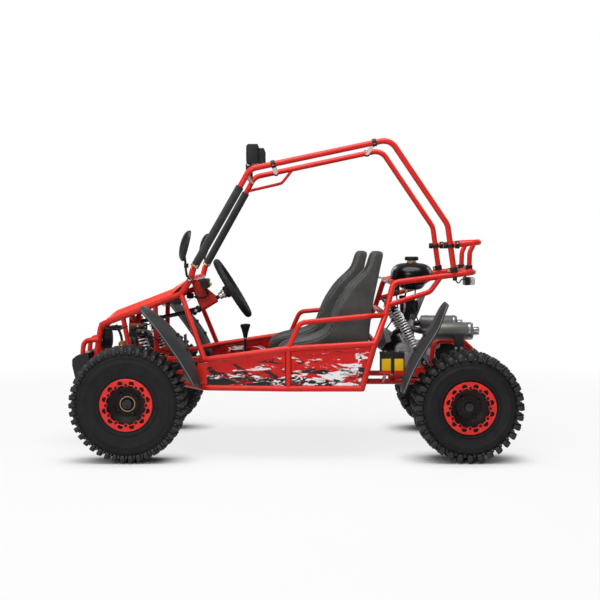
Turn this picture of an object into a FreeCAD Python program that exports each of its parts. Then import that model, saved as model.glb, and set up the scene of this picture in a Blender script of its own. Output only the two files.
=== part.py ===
import FreeCAD, Part
import math
import os

# Off-road two-seat tube-frame buggy.
# Frame: +X forward, +Y to the vehicle's left, +Z up, origin on the ground under the middle.
# Every length is in millimetres.

Vector = FreeCAD.Vector

# Stance and wheels
wheelbase = 1400.0
front_overhang = 293.0
tyre_outer_half = 549.0
front_tyre_radius = 241.0
front_tyre_width = 178.0
rear_tyre_radius = 228.6
rear_tyre_width = 241.0
bead_radius = 101.5
bead_inset = 14.0
lug_height = 13.0
rear_lug_height = 17.0
lugs_per_band = 22
barrel_wall = 4.0
wheel_disc_thickness = 8.0
ring_outer_radius = 108.0
ring_inner_radius = 75.0
ring_thickness = 9.0
ring_openings = 12
ring_opening_radius = 7.5
hub_recess = 68.0
hub_face_radius = 34.0
hub_cap_radius = 22.0
hub_cap_length = 16.0
stud_circle_radius = 44.0
stud_radius = 5.5
stud_length = 9.0
studs = 4

# Tubes
rail_radius = 12.5
hood_rail_radius = 13.5
brace_radius = 11.0
thin_tube_radius = 7.0
rail_bend = 60.0
tight_bend = 38.0
foam_radius = 17.5

# Half widths of the frame, measured to tube centres
nose_half = 75.0
neck_half = 235.0
cabin_front_half = 400.0
cabin_half = 440.0
cowl_half = 320.0
roof_half = 280.0
rear_half = 280.0
cradle_half = 170.0

# Heights of the frame, measured to tube centres
floor_z = 297.0
neck_waist_z = 400.0
waist_front_z = 413.0
waist_middle_z = 463.0
waist_rear_z = 484.0
guard_z = 570.0
pillar_knee_z = 597.0
rear_rail_front_z = 732.0
rear_rail_back_z = 777.0
hood_front_z = 540.0
cowl_z = 685.0
dash_z = 748.0
pillar_joint_z = 792.0
pillar_top_z = 1166.0
roof_front_z = 1215.0
roof_rear_z = 1341.0
cage_elbow_z = 980.0
rack_front_z = 893.0
rack_back_z = 905.0

# Stations of the front frame, measured back from the front axle
hood_front_back = -176.0
hoop_foot_back = -216.0
strut_head_back = -70.0
strut_foot_back = -34.0
post_back = 85.0
neck_back = 189.0
cowl_back = 205.0
dash_back = 244.0
pillar_joint_back = 256.0
cabin_front_back = 308.0
pillar_top_back = 467.0
roof_front_back = 494.0
cabin_middle_back = 660.0
guard_front_back = 707.0

# Stations of the rear frame, measured forward from the rear axle
pillar_foot_ahead = 435.0
pillar_waist_ahead = 382.0
pillar_knee_ahead = 332.0
pillar_head_ahead = 294.0
brace_elbow_ahead = 137.0
brace_head_ahead = 90.0
roof_rear_ahead = 310.0
cage_elbow_ahead = 64.0
cage_foot_ahead = 33.0
rail_end_ahead = -51.0
rack_front_ahead = 38.0
rack_end_ahead = -74.0
cradle_end_ahead = 130.0

# Steering
kingpin_inset = 50.0
kingpin_radius = 8.0
spindle_radius = 10.0
steering_arm = 60.0
steering_wheel_radius = 145.0
steering_rim_radius = 14.0
wheel_dish = 28.0
spoke_radius = 6.0
steering_wheel_back = 392.0
steering_wheel_z = 692.0
column_offset = 210.0
column_rake = math.radians(31.5)
column_length = 157.0
column_radius = 9.0
joint_gap = 4.0
pitman_back = -31.0
pitman_z = 405.0
pitman_plate = 8.0
steering_box_z = 545.0
steering_box_size = 56.0
box_face_share = 0.45
tie_rod_radius = 6.0
tie_eye_radius = 11.0
tie_eye_height = 14.0
tie_pin_radius = 4.0
eye_gap = 1.0
pitman_spacer = 6.5
knuckle_plate = 10.0

# Suspension
arm_ball_drop = 62.0
arm_tube_radius = 9.0
arm_eye_radius = 14.0
arm_eye_height = 22.0
arm_stem = 85.0
post_clearance = 5.0
arm_spread = 105.0
arm_spread_back = 150.0
shock_radius = 22.0
shock_rod_radius = 7.0
shock_eye_radius = 13.0
shock_eye_width = 24.0
front_shock_head_back = 14.0
front_shock_head_z = 540.0
swing_pivot_ahead = 285.0
swing_pivot_z = 345.0
swing_half = 225.0
swing_bar_width = 24.0
swing_bar_height = 38.0
axle_radius = 15.0
rear_shock_foot_z = 382.0
rear_shock_foot_ahead = 154.0

# Body work
panel_thickness = 3.0
panel_depth = 8.0
recess_depth = 4.0
recess_margin = 16.0
seat_width = 360.0
seat_offset = 205.0
seat_slide = 45.0
seat_wall = 28.0
seat_base_length = 400.0
seat_height = 530.0
seat_back_gap = 20.0
runner_spacing = 220.0
runner_width = 24.0
runner_height = 28.0
mudguard_width = 180.0
mudguard_wall = 4.0
front_guard_ahead = 153.0
front_guard_crest = 460.0
front_guard_first = math.radians(118)
front_guard_last = math.radians(171)
front_guard_reach = 178.0
front_guard_rise = 50.0
front_guard_flare = 0.0
rear_guard_behind = 314.0
rear_guard_below = 26.0
rear_guard_crest = 600.0
rear_guard_first = math.radians(8)
rear_guard_last = math.radians(48)
rear_guard_reach = 198.0
rear_guard_rise = 30.0
rear_guard_flare = 16.0
stay_radius = 6.0
hood_crest = 20.0
hood_chamfer = 34.0
hood_lip_back = -150.0
hood_slope_back = -104.0
hood_kink_ahead = 46.0
nose_depth = 72.0
nose_height = 150.0
nose_top_z = 421.0
nose_guard_half = 150.0
nose_wall = 4.0
lamp_z = 472.0
lamp_radius = 50.0
lamp_depth = 46.0
lamp_fins = 5
lamp_pin_radius = 5.0
light_half = 150.0
light_depth = 52.0
light_height = 86.0
light_base_z = 1248.0
light_foot_width = 24.0
sink_depth = 27.0
mirror_y = 500.0
mirror_rise = 142.0
mirror_stem_radius = 5.0
mirror_half_height = 67.0
mirror_half_width = 53.0
mirror_depth = 18.0
mirror_turn = math.radians(12)
mirror_tilt = math.radians(14)
tail_lamp_drop = 14.0
tail_lamp_height = 38.0
tail_lamp_half = 45.0
tail_lamp_depth = 40.0
rack_stay_half = 125.0
handle_length = 165.0
handle_rise = 38.0
lever_back = 461.0
lever_height = 165.0
lever_radius = 6.0
lever_knob = 62.0
lever_knob_radius = 23.0
pedal_shaft_ahead = 60.0
pedal_drop = 30.0
pedal_reach = 45.0
pedal_height = 110.0
pedal_pad_depth = 8.0
pedal_pad_half = 32.0

# Engine bay
engine_back_ahead = 92.0
engine_half = 110.0
crankcase_length = 180.0
crankcase_height = 150.0
cover_radius = 62.0
cover_depth = 28.0
cylinder_rake = math.radians(35)
cylinder_length = 125.0
cylinder_fins = 6
fin_radius = 56.0
fin_thickness = 4.0
carburettor_ahead = 200.0
carburettor_radius = 22.0
carburettor_height = 75.0
filter_ahead = 240.0
filter_z = 619.0
filter_radius = 36.0
filter_length = 80.0
muffler_front_ahead = 130.0
muffler_y = 258.0
muffler_z = 524.0
muffler_radius = 38.0
muffler_length = 176.0
muffler_tip = 30.0
pipe_radius = 14.0
carrier_end_ahead = -20.0
carrier_drop = 40.0
strap_behind = 55.0
strap_width = 40.0
strap_foot_z = 442.0
tank_ahead = 190.0
tank_seam_z = 752.0
tank_half_length = 95.0
tank_half_width = 130.0
tank_half_height = 62.0
tank_cap_radius = 31.0
tank_cap_height = 18.0
tank_neck_radius = 21.0
tank_neck_height = 10.0
battery_back_ahead = 250.0
battery_y = 300.0
tray_z = 350.0
battery_length = 100.0
battery_depth = 75.0
battery_height = 88.0
chain_y = 150.0
chain_width = 12.0
chain_height = 11.0
chain_gap = 1.5
output_ahead = 175.0
output_z = 375.0
small_sprocket_radius = 24.0
big_sprocket_radius = 72.0
sprocket_teeth = 36
sprocket_root_radius = 4.5
brake_disc_radius = 85.0
brake_disc_thickness = 5.0

# Shares
roof_bar_shares = (0.167, 0.888)
arm_stem_share = 0.16
shoulder_drop_share = 0.07
wall_radius_share = 0.62
crown_width_share = 0.70
lug_width_shares = (0.08, 0.97)
lug_length_share = 0.5
bend_room_share = 0.45
hood_crest_shares = (0.15, 1.0)
mirror_layer_shares = ((1.0, 1.0), (0.75, 1.5))
mirror_sink_share = 0.3
strap_reach_share = 0.9
strap_top_share = 0.35
guard_rise_shares = (0.35, 0.8, 1.0, 0.85, 0.45)
guard_flare_shares = (0.0, 0.0, -0.3, -0.4, 1.0)

# Clearances
running_fit = 0.08
seat_gap = 0.3
overrun = 5.0

# Derived places
front_axle_x = (wheelbase + rear_tyre_radius - front_overhang) / 2
rear_axle_x = front_axle_x - wheelbase
nose_x = front_axle_x + front_overhang
front_axle_z = front_tyre_radius
rear_axle_z = rear_tyre_radius
front_wheel_y = tyre_outer_half - front_tyre_width / 2
rear_wheel_y = tyre_outer_half - rear_tyre_width / 2
kingpin_y = front_wheel_y - kingpin_inset
column_axis = Vector(math.cos(column_rake), 0, -math.sin(column_rake))


def behind_front(distance):
    """Station a distance behind the front axle."""
    return front_axle_x - distance


def ahead_rear(distance):
    """Station a distance ahead of the rear axle."""
    return rear_axle_x + distance


def mirrored(shape):
    """The same piece on the other side of the centre plane."""
    return shape.mirror(Vector(0, 0, 0), Vector(0, 1, 0))


def both_sides(shape):
    """The shape and its mirror image."""
    return [shape, mirrored(shape)]


def flip(point):
    """The same point on the other side of the centre plane."""
    return Vector(point.x, -point.y, point.z)


def joined(shapes):
    """One solid made of touching shapes."""
    whole = shapes[0]
    for shape in shapes[1:]:
        whole = whole.fuse(shape)
    return whole.removeSplitter()


def grouped(shapes):
    """Solids that do not touch, kept in one node."""
    solids = [solid for shape in shapes for solid in shape.Solids]
    return Part.makeCompound(solids)


def bend_of(corner, before, after, radius, bend):
    """Quarter of a ring that rounds a corner of a tube, with its two ends."""
    to_before = (before - corner).normalize()
    to_after = (after - corner).normalize()
    half_angle = to_before.getAngle(to_after) / 2
    room = bend_room_share * min((before - corner).Length, (after - corner).Length)
    reach = min(bend / math.tan(half_angle), room)
    arc_radius = reach * math.tan(half_angle)
    entry = corner + to_before * reach
    leave = corner + to_after * reach
    centre = corner + (to_before + to_after).normalize() * (arc_radius / math.sin(half_angle))
    axis = (entry - centre).cross(leave - centre)
    turn = math.degrees((entry - centre).getAngle(leave - centre))
    disc = Part.Face(Part.Wire([Part.makeCircle(radius, entry, to_before)]))
    return disc.revolve(centre, axis, turn), entry, leave


def tube(points, radius, bend=rail_bend):
    """Bent tube along a path: straight runs and ring sections that meet face to face."""
    pieces = []
    start = points[0]
    for before, corner, after in zip(points, points[1:], points[2:]):
        elbow, entry, leave = bend_of(corner, before, after, radius, bend)
        pieces += [rod(start, entry, radius), elbow]
        start = leave
    pieces.append(rod(start, points[-1], radius))
    return joined(pieces)


def rod(start, end, radius):
    """Round bar between two points."""
    return Part.makeCylinder(radius, (end - start).Length, start, end - start)


def between(start, end, share):
    """Point that divides a run by a share of its length."""
    return start + (end - start) * share


def on_line(start, end, x):
    """Point of a straight run at a station."""
    return between(start, end, (x - start.x) / (end.x - start.x))


def on_line_z(start, end, z):
    """Point of a straight run at a height."""
    return between(start, end, (z - start.z) / (end.z - start.z))


def block(low, high):
    """Box between two corners."""
    size = high - low
    return Part.makeBox(size.x, size.y, size.z, low)


def plate(points, travel):
    """Flat outline pushed along a vector."""
    return Part.Face(Part.makePolygon(points + [points[0]])).extrude(travel)


def spin(shape, turns, axis_point, axis):
    """Copies of a shape, evenly spaced round an axis."""
    copies = []
    for index in range(turns):
        copy = shape.copy()
        copy.rotate(axis_point, axis, 360.0 * index / turns)
        copies.append(copy)
    return copies


# Wheels

def flat_ring(profile, sectors):
    """Ring round the Y axis with flat walls; profile is a closed loop of (radius, offset)."""
    reach = 1 / math.cos(math.pi / sectors)
    faces = []
    for sector in range(sectors):
        first = 2 * math.pi * (sector - 0.5) / sectors
        second = 2 * math.pi * (sector + 0.5) / sectors
        for (r0, y0), (r1, y1) in zip(profile, profile[1:] + profile[:1]):
            corners = [
                Vector(r0 * reach * math.cos(first), y0, r0 * reach * math.sin(first)),
                Vector(r0 * reach * math.cos(second), y0, r0 * reach * math.sin(second)),
                Vector(r1 * reach * math.cos(second), y1, r1 * reach * math.sin(second)),
                Vector(r1 * reach * math.cos(first), y1, r1 * reach * math.sin(first)),
            ]
            faces.append(Part.Face(Part.makePolygon(corners + corners[:1])))
    solid = Part.Solid(Part.makeShell(faces))
    if solid.Volume < 0:
        solid.reverse()
    return solid


def lug(outline, length, angle):
    """Tread block: an outline of (radius, offset) as long as the lug, turned round the axle."""
    points = [Vector(radius, offset, -length / 2) for radius, offset in outline]
    shape = plate(points, Vector(0, 0, length))
    shape.rotate(Vector(0, 0, 0), Vector(0, 1, 0), math.degrees(angle))
    return shape


def tyre(radius, width, tread_depth):
    """Knobbly tyre centred on the origin, axle along Y."""
    half = width / 2
    crown = radius - tread_depth
    shoulder = crown - shoulder_drop_share * radius
    wall = wall_radius_share * radius
    foot = half - bead_inset - seat_gap
    lip = ring_outer_radius + 2 * seat_gap
    side = [(bead_radius, foot), (lip, foot), (wall, half), (crown, crown_width_share * half)]
    profile = side + [(r, -y) for r, y in reversed(side)]
    carcass = flat_ring(profile, lugs_per_band)
    pitch = 2 * math.pi / lugs_per_band
    root = crown - tread_depth
    inner, outer = lug_width_shares
    outline = [
        (root, inner * half), (radius, inner * half),
        (radius - shoulder_drop_share * tread_depth, outer * half), (shoulder - tread_depth, outer * half),
    ]
    blocks = []
    length = lug_length_share * pitch * radius
    for index in range(lugs_per_band):
        blocks.append(lug(outline, length, index * pitch))
        opposite = [(r, -y) for r, y in outline]
        blocks.append(lug(opposite, length, (index + 0.5) * pitch))
    return carcass.multiFuse(blocks)


def ring_solid(outer, inner, y_low, y_high):
    """Round ring with its axis along Y."""
    axis = Vector(0, 1, 0)
    body = Part.makeCylinder(outer, y_high - y_low, Vector(0, y_low, 0), axis)
    bore = Part.makeCylinder(inner, y_high - y_low + 2 * overrun, Vector(0, y_low - overrun, 0), axis)
    return body.cut(bore)


def rim(width, bore_radius):
    """Steel rim with its clamp ring, centred on the origin, outer face towards +Y."""
    half = width / 2 - bead_inset
    barrel_outer = bead_radius - seat_gap
    barrel_inner = barrel_outer - barrel_wall
    ring_outer_y = width / 2 - bead_inset + ring_thickness
    disc_y = ring_outer_y - hub_recess
    barrel = ring_solid(barrel_outer, barrel_inner, -half, half)
    disc = ring_solid(barrel_inner + barrel_wall / 2, bore_radius, disc_y - wheel_disc_thickness, disc_y)
    clamp = ring_solid(ring_outer_radius, ring_inner_radius, half, ring_outer_y)
    window = Part.makeCylinder(
        ring_opening_radius, ring_thickness + 2 * overrun,
        Vector(0.5 * (ring_outer_radius + ring_inner_radius), half - overrun, 0), Vector(0, 1, 0))
    clamp = clamp.cut(spin(window, ring_openings, Vector(0, 0, 0), Vector(0, 1, 0)))
    return joined([barrel, disc, clamp])


def placed(shape, x, y, z):
    """Copy of a shape moved to a place."""
    copy = shape.copy()
    copy.translate(Vector(x, y, z))
    return copy


def front_wheel_parts():
    """Tyre and rim of the left front wheel."""
    shape = tyre(front_tyre_radius, front_tyre_width, lug_height)
    left_tyre = placed(shape, front_axle_x, front_wheel_y, front_axle_z)
    shape = rim(front_tyre_width, hub_face_radius)
    left_rim = placed(shape, front_axle_x, front_wheel_y, front_axle_z)
    return left_tyre, left_rim


def rear_wheel_parts():
    """Tyre and rim of the left rear wheel."""
    shape = tyre(rear_tyre_radius, rear_tyre_width, rear_lug_height)
    left_tyre = placed(shape, rear_axle_x, rear_wheel_y, rear_axle_z)
    shape = rim(rear_tyre_width, hub_face_radius)
    left_rim = placed(shape, rear_axle_x, rear_wheel_y, rear_axle_z)
    return left_tyre, left_rim


def front_disc_y():
    """Outer face of the front wheel's disc."""
    return front_wheel_y + front_tyre_width / 2 - bead_inset + ring_thickness - hub_recess


def rear_disc_y():
    """Outer face of the rear wheel's disc."""
    return rear_wheel_y + rear_tyre_width / 2 - bead_inset + ring_thickness - hub_recess


def hub_shape(disc_y, inner_y, x, z):
    """Hub that fills the rim's bore, with its flange, studs and cap."""
    axis = Vector(0, 1, 0)
    flange_y = disc_y - wheel_disc_thickness
    flange = Part.makeCylinder(
        stud_circle_radius + 2 * stud_radius, wheel_disc_thickness,
        Vector(x, flange_y - wheel_disc_thickness, z), axis)
    barrel = Part.makeCylinder(
        hub_face_radius, disc_y + seat_gap - inner_y, Vector(x, inner_y, z), axis)
    cap = Part.makeCylinder(hub_cap_radius, hub_cap_length, Vector(x, disc_y, z), axis)
    root_y = disc_y - wheel_disc_thickness / 2
    stud = Part.makeCylinder(stud_radius, stud_length + wheel_disc_thickness / 2,
                             Vector(x + stud_circle_radius, root_y, z), axis)
    return [flange, barrel, cap] + spin(stud, studs, Vector(x, disc_y, z), axis)


# Key points of the left half of the frame
floor_nose = Vector(behind_front(hoop_foot_back), nose_half, floor_z)
floor_neck = Vector(behind_front(neck_back), neck_half, floor_z)
floor_front = Vector(behind_front(cabin_front_back), cabin_front_half, floor_z)
floor_middle = Vector(behind_front(cabin_middle_back), cabin_half, floor_z)
floor_rear = Vector(ahead_rear(pillar_foot_ahead), cabin_half, floor_z)
waist_neck = Vector(behind_front(neck_back), neck_half, neck_waist_z)
waist_front = Vector(behind_front(cabin_front_back), cabin_front_half, waist_front_z)
waist_middle = Vector(behind_front(cabin_middle_back), cabin_half, waist_middle_z)
waist_rear = Vector(ahead_rear(pillar_waist_ahead), cabin_half, waist_rear_z)
hood_front = Vector(behind_front(hood_front_back), nose_half, hood_front_z)
waist_nose = between(floor_nose, hood_front, (neck_waist_z - floor_z) / (hood_front_z - floor_z))
cowl = Vector(behind_front(cowl_back), cowl_half, cowl_z)
dash_end = Vector(behind_front(dash_back), cowl_half, dash_z)
pillar_joint = Vector(behind_front(pillar_joint_back), cowl_half, pillar_joint_z)
pillar_top = Vector(behind_front(pillar_top_back), roof_half, pillar_top_z)
roof_front = Vector(behind_front(roof_front_back), roof_half, roof_front_z)
roof_rear = Vector(ahead_rear(roof_rear_ahead), roof_half, roof_rear_z)
cage_elbow = Vector(ahead_rear(cage_elbow_ahead), rear_half, cage_elbow_z)
pillar_knee = Vector(ahead_rear(pillar_knee_ahead), between(
    waist_rear, Vector(ahead_rear(pillar_head_ahead), rear_half, rear_rail_front_z), 0.6).y, pillar_knee_z)
pillar_head = Vector(ahead_rear(pillar_head_ahead), rear_half, rear_rail_front_z)
rail_end = Vector(ahead_rear(rail_end_ahead), rear_half, rear_rail_back_z)


cage_foot = on_line(pillar_head, rail_end, ahead_rear(cage_foot_ahead))
strut_head = on_line(hood_front, cowl, behind_front(strut_head_back))
strut_foot = on_line(waist_nose, waist_neck, behind_front(strut_foot_back))
post_head = on_line(hood_front, cowl, behind_front(post_back))
post_foot = on_line(waist_nose, waist_neck, behind_front(post_back))
post_base = on_line(floor_nose, floor_neck, behind_front(post_back))
cradle_end = Vector(ahead_rear(cradle_end_ahead), cradle_half, floor_z)


def across(point, radius=rail_radius):
    """Cross tube from a point to its mirror image."""
    return rod(point, flip(point), radius)


def lower_frame():
    """Floor ladder: outer rails, cross members and the engine cradle."""
    rail = tube([floor_nose, floor_neck, floor_front, floor_middle, floor_rear], rail_radius)
    cradle_start = Vector(floor_rear.x, cradle_half, floor_z)
    cradle = rod(cradle_start, cradle_end, rail_radius)
    parts = both_sides(rail) + both_sides(cradle)
    for point in (floor_nose, post_base, floor_neck, floor_front, floor_middle, floor_rear, cradle_end):
        parts.append(across(point))
    return joined(parts)


def side_rail():
    """Waist rail that runs from the rear pillar to the nose, with its upright."""
    rail = tube([waist_nose, waist_neck, waist_front, waist_middle, waist_rear], rail_radius)
    upright = rod(waist_middle, floor_middle, brace_radius)
    return joined([rail, upright])


def hood_rails():
    """Hoop rails from the floor's nose over the hood to the pillars, with their cross tubes."""
    rail = tube([floor_nose, hood_front, cowl, dash_end, pillar_joint], hood_rail_radius, tight_bend)
    parts = both_sides(rail) + [across(dash_end)]
    for point in (hood_front, strut_head, post_head, waist_nose):
        parts.append(across(point, brace_radius))
    return joined(parts)


def front_posts():
    """Left struts and posts between the hood rail, the waist rail and the floor rail."""
    runs = [(cowl, waist_front), (strut_head, strut_foot), (post_head, post_foot), (post_foot, post_base)]
    return [rod(start, end, brace_radius) for start, end in runs]


def rear_frame():
    """Rear pillars, rear rails round the tail and their braces."""
    left = [floor_rear, waist_rear, pillar_knee, pillar_head, rail_end]
    right = [flip(point) for point in reversed(left)]
    hoop = tube(left + right, rail_radius, tight_bend)
    foot = between(pillar_knee, pillar_head, 0.3)
    elbow = Vector(ahead_rear(brace_elbow_ahead), rear_half, foot.z + 0.4 * (rear_rail_back_z - foot.z))
    head = on_line(pillar_head, rail_end, ahead_rear(brace_head_ahead))
    brace = tube([foot, elbow, head], brace_radius, tight_bend)
    parts = [hoop] + both_sides(brace)
    parts += [across(pillar_knee), across(pillar_head), across(waist_rear, brace_radius)]
    return joined(parts)


def roll_cage():
    """Pillars, roof rails and rear posts in one bent tube a side, with the header and tail tubes."""
    path = [pillar_joint, pillar_top, roof_front, roof_rear, cage_elbow, cage_foot]
    side = tube(path, rail_radius, rail_bend)
    header = between(pillar_top, roof_front, 0.5)
    parts = both_sides(side) + [across(header, brace_radius)]
    return joined(parts)


def roof_bars():
    """Two bright cross bars between the roof rails."""
    bars = []
    for share in roof_bar_shares:
        place = between(roof_front, roof_rear, share)
        bars.append(across(place, brace_radius))
    return bars


def bumper():
    """Hoop in front of the nose."""
    reach = behind_front(-0.86 * front_overhang)
    root = between(floor_nose, hood_front, 0.72)
    top = Vector(reach, nose_half + rail_radius, root.z)
    low = Vector(reach + rail_radius, nose_half + rail_radius, floor_z + 3 * rail_radius)
    left = [Vector(root.x, top.y, root.z), top, low]
    hoop = tube(left + [flip(point) for point in reversed(left)], brace_radius, tight_bend)
    return hoop


def side_guard():
    """Raised tube outside the seat, from the waist rail to the rear pillar."""
    elbow = Vector(behind_front(guard_front_back), cabin_half - brace_radius, guard_z)
    clear_y = seat_offset + seat_width / 2 + 2.5 * brace_radius
    heel = Vector(pillar_knee.x + 2 * tight_bend, clear_y, pillar_knee_z)
    return tube([waist_middle, elbow, heel, pillar_knee], brace_radius, tight_bend)


def cut_by(shape, neighbours):
    """The shape less its neighbours, kept as its largest piece."""
    rest = shape.cut(neighbours)
    return max(rest.Solids, key=lambda solid: solid.Volume)


def floor_pan():
    """Sheet on the floor ladder with the seats' runners."""
    top = floor_z + rail_radius
    left = [floor_neck, floor_front, floor_middle, floor_rear]
    outline = [Vector(point.x, point.y, top) for point in left]
    outline += [flip(point) for point in reversed(outline)]
    pan = plate(outline, Vector(0, 0, panel_thickness))
    runners = []
    for sign in (1, -1):
        for side in (1, -1):
            y = sign * seat_offset + side * runner_spacing / 2
            front = seat_heel_x() + 0.9 * seat_base_length
            low = Vector(seat_heel_x(), y - runner_width / 2, top)
            high = Vector(front, y + runner_width / 2, top + panel_thickness + runner_height)
            runners.append(block(low, high))
    return joined([pan] + runners)


def inset_face(outline, distance):
    """Face inside a flat outline, an equal distance from every side."""
    return Part.Face(outline.makeOffset2D(-distance, 2))


def side_panel(low_front, low_back, high_back, high_front):
    """Door-height sheet in a bay of the side frame, with a pressed recess."""
    along = (low_front - low_back).normalize()
    outward = Vector(-along.y, along.x, 0)
    if outward.y < 0:
        outward = outward * -1
    bay = Part.makePolygon([low_front, low_back, high_back, high_front, low_front])
    sheet = inset_face(bay, rail_radius + seat_gap)
    sheet.translate(outward * (-panel_depth / 2))
    pocket = inset_face(bay, rail_radius + recess_margin)
    pocket.translate(outward * (panel_depth / 2 - recess_depth))
    return sheet.extrude(outward * panel_depth).cut(pocket.extrude(outward * panel_depth))


def side_panels():
    """Front and rear sheets of the left side."""
    front = side_panel(floor_front, floor_middle, waist_middle, waist_front)
    rear = side_panel(floor_middle, floor_rear, waist_rear, waist_middle)
    return front, rear


def lid_section(x, half, edge_z, crest):
    """Closed flat-topped section across the vehicle, with sloping sides."""
    left = [Vector(x, half, edge_z), Vector(x, half - hood_chamfer, edge_z + crest)]
    top = left + [flip(point) for point in reversed(left)]
    drop = Vector(0, 0, -panel_thickness)
    bottom = [point + drop for point in reversed(top)]
    return Part.makePolygon(top + bottom + top[:1])


def hood():
    """Faceted lid over the hood rails, from its sloping front to the dash tube."""
    lift = hood_rail_radius + panel_thickness + seat_gap
    low, full = hood_crest_shares
    stations = [
        (on_line(hood_front, cowl, behind_front(hood_lip_back)), lift, low),
        (on_line(hood_front, cowl, behind_front(hood_slope_back)), lift, full),
        (on_line(hood_front, cowl, cowl.x + hood_kink_ahead), lift, full),
        (dash_end + Vector(rail_radius + seat_gap, 0, 0), 0, low),
    ]
    sections = [lid_section(point.x, point.y, point.z + rise, hood_crest * share)
                for point, rise, share in stations]
    return Part.makeLoft(sections, True, True)


def nose_guard():
    """Moulded nose shell, open behind."""
    back = nose_x - nose_depth
    outline = [
        (back, nose_top_z), (nose_x - 0.25 * nose_depth, nose_top_z - 0.09 * nose_height),
        (nose_x, nose_top_z - 0.20 * nose_height), (nose_x, nose_top_z - 0.38 * nose_height),
        (nose_x - 0.20 * nose_depth, nose_top_z - 0.80 * nose_height),
        (nose_x - 0.45 * nose_depth, nose_top_z - nose_height), (back, nose_top_z - nose_height),
    ]
    outer = plate([Vector(x, -nose_guard_half, z) for x, z in outline], Vector(0, 2 * nose_guard_half, 0))
    centre_z = nose_top_z - 0.5 * nose_height
    keep = 1 - 2 * nose_wall / nose_height
    inner_points = [
        Vector(back + (x - back) * (1 - nose_wall / nose_depth), -nose_guard_half + nose_wall,
               centre_z + (z - centre_z) * keep) for x, z in outline]
    inner = plate(inner_points, Vector(0, 2 * (nose_guard_half - nose_wall), 0))
    inner.translate(Vector(-overrun, 0, 0))
    mouth = block(Vector(back - overrun, -nose_guard_half + nose_wall, nose_top_z - nose_height + nose_wall),
                  Vector(back + overrun, nose_guard_half - nose_wall, nose_top_z - nose_wall))
    return outer.cut([inner, mouth])


def headlamp():
    """Round lamp with a finned back, hung between the hoop's legs."""
    place = on_line_z(floor_nose, hood_front, lamp_z)
    front = Vector(place.x, 0, lamp_z)

    def slice_of(radius_share, back_share, front_share):
        back = front - Vector(lamp_depth * back_share, 0, 0)
        return rod(back, front - Vector(lamp_depth * front_share, 0, 0), lamp_radius * radius_share)

    parts = [slice_of(1, 0.3, 0), slice_of(0.72, 1, 0)]
    for fin in range(lamp_fins):
        depth_share = 0.42 + 0.58 * fin / lamp_fins
        parts.append(slice_of(0.95, depth_share, depth_share - 0.05))
    pin = Vector(place.x - lamp_depth * 0.15, place.y, lamp_z)
    parts.append(rod(pin, flip(pin), lamp_pin_radius))
    return joined(parts)


def header_place():
    """Middle of the bend over the windscreen gap, on the left side."""
    return between(pillar_top, roof_front, 0.5)


def light_bar():
    """Roof lamp bar with its heat sink and two feet on the header tube."""
    x = header_place().x
    low = Vector(x - 0.85 * light_depth, -light_half, light_base_z)
    high = Vector(x + 0.15 * light_depth, light_half, light_base_z + light_height)
    body = block(low, high)
    sink = block(Vector(low.x - sink_depth, -0.88 * light_half, light_base_z + 0.08 * light_height),
                 Vector(low.x, 0.88 * light_half, light_base_z + 0.65 * light_height))
    feet = []
    for side in (1, -1):
        y = side * 0.6 * light_half
        feet.append(block(Vector(x - light_foot_width / 2, y - panel_thickness, header_place().z),
                          Vector(x + light_foot_width / 2, y + panel_thickness, light_base_z)))
    return joined([body, sink] + feet)


def mirror_piece():
    """Oval mirror, leaning forward, on a bent stem."""
    root = dash_end + Vector(0, rail_radius - seat_gap, 0)
    elbow = Vector(root.x, mirror_y, root.z + 0.15 * mirror_rise)
    head = Vector(root.x + mirror_stem_radius, mirror_y, dash_z + mirror_rise)
    stem = tube([root, elbow, head], mirror_stem_radius, mirror_rise / 4)
    sideways = Vector(math.sin(mirror_turn), math.cos(mirror_turn), 0)
    level = Vector(math.cos(mirror_turn), -math.sin(mirror_turn), 0)
    facing = level * math.cos(mirror_tilt) - Vector(0, 0, math.sin(mirror_tilt))
    upward = sideways.cross(facing).normalize()
    if upward.z < 0:
        upward = upward * -1
    layers = []
    for size_share, depth_share in mirror_layer_shares:
        base = head - facing * (mirror_depth * mirror_sink_share)
        rim_line = Part.Ellipse(base + upward * (mirror_half_height * size_share),
                                base + sideways * (mirror_half_width * size_share), base)
        face = Part.Face(Part.Wire([rim_line.toShape()]))
        layers.append(face.extrude(facing * (mirror_depth * depth_share)))
    return joined([stem] + layers)


def mudguard(centre, crest, first, last, rise, flare):
    """Arched blade swept round a centre beside a wheel, with its tip bent outwards."""
    sections = []
    count = len(guard_rise_shares) - 1
    for index, (rise_share, flare_share) in enumerate(zip(guard_rise_shares, guard_flare_shares)):
        angle = first + (last - first) * index / count
        spoke = Vector(math.cos(angle), 0, math.sin(angle))
        across_y = Vector(0, 1, 0)
        reach = crest + flare * flare_share
        ends = [centre + spoke * (reach - rise * rise_share)
                + across_y * (front_wheel_y + side * mudguard_width / 2) for side in (1, -1)]
        crown = centre + spoke * reach + across_y * front_wheel_y
        depth = spoke * -mudguard_wall
        edges = [
            Part.Arc(ends[0], crown, ends[1]).toShape(),
            Part.LineSegment(ends[1], ends[1] + depth).toShape(),
            Part.Arc(ends[1] + depth, crown + depth, ends[0] + depth).toShape(),
            Part.LineSegment(ends[0] + depth, ends[0]).toShape(),
        ]
        sections.append(Part.Wire(edges))
    return Part.makeLoft(sections, True, False)


def front_mudguard():
    """Blade behind the front wheel."""
    centre = Vector(front_axle_x + front_guard_ahead, 0, front_axle_z)
    return mudguard(centre, front_guard_crest, front_guard_first, front_guard_last,
                    front_guard_rise, front_guard_flare)


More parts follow.
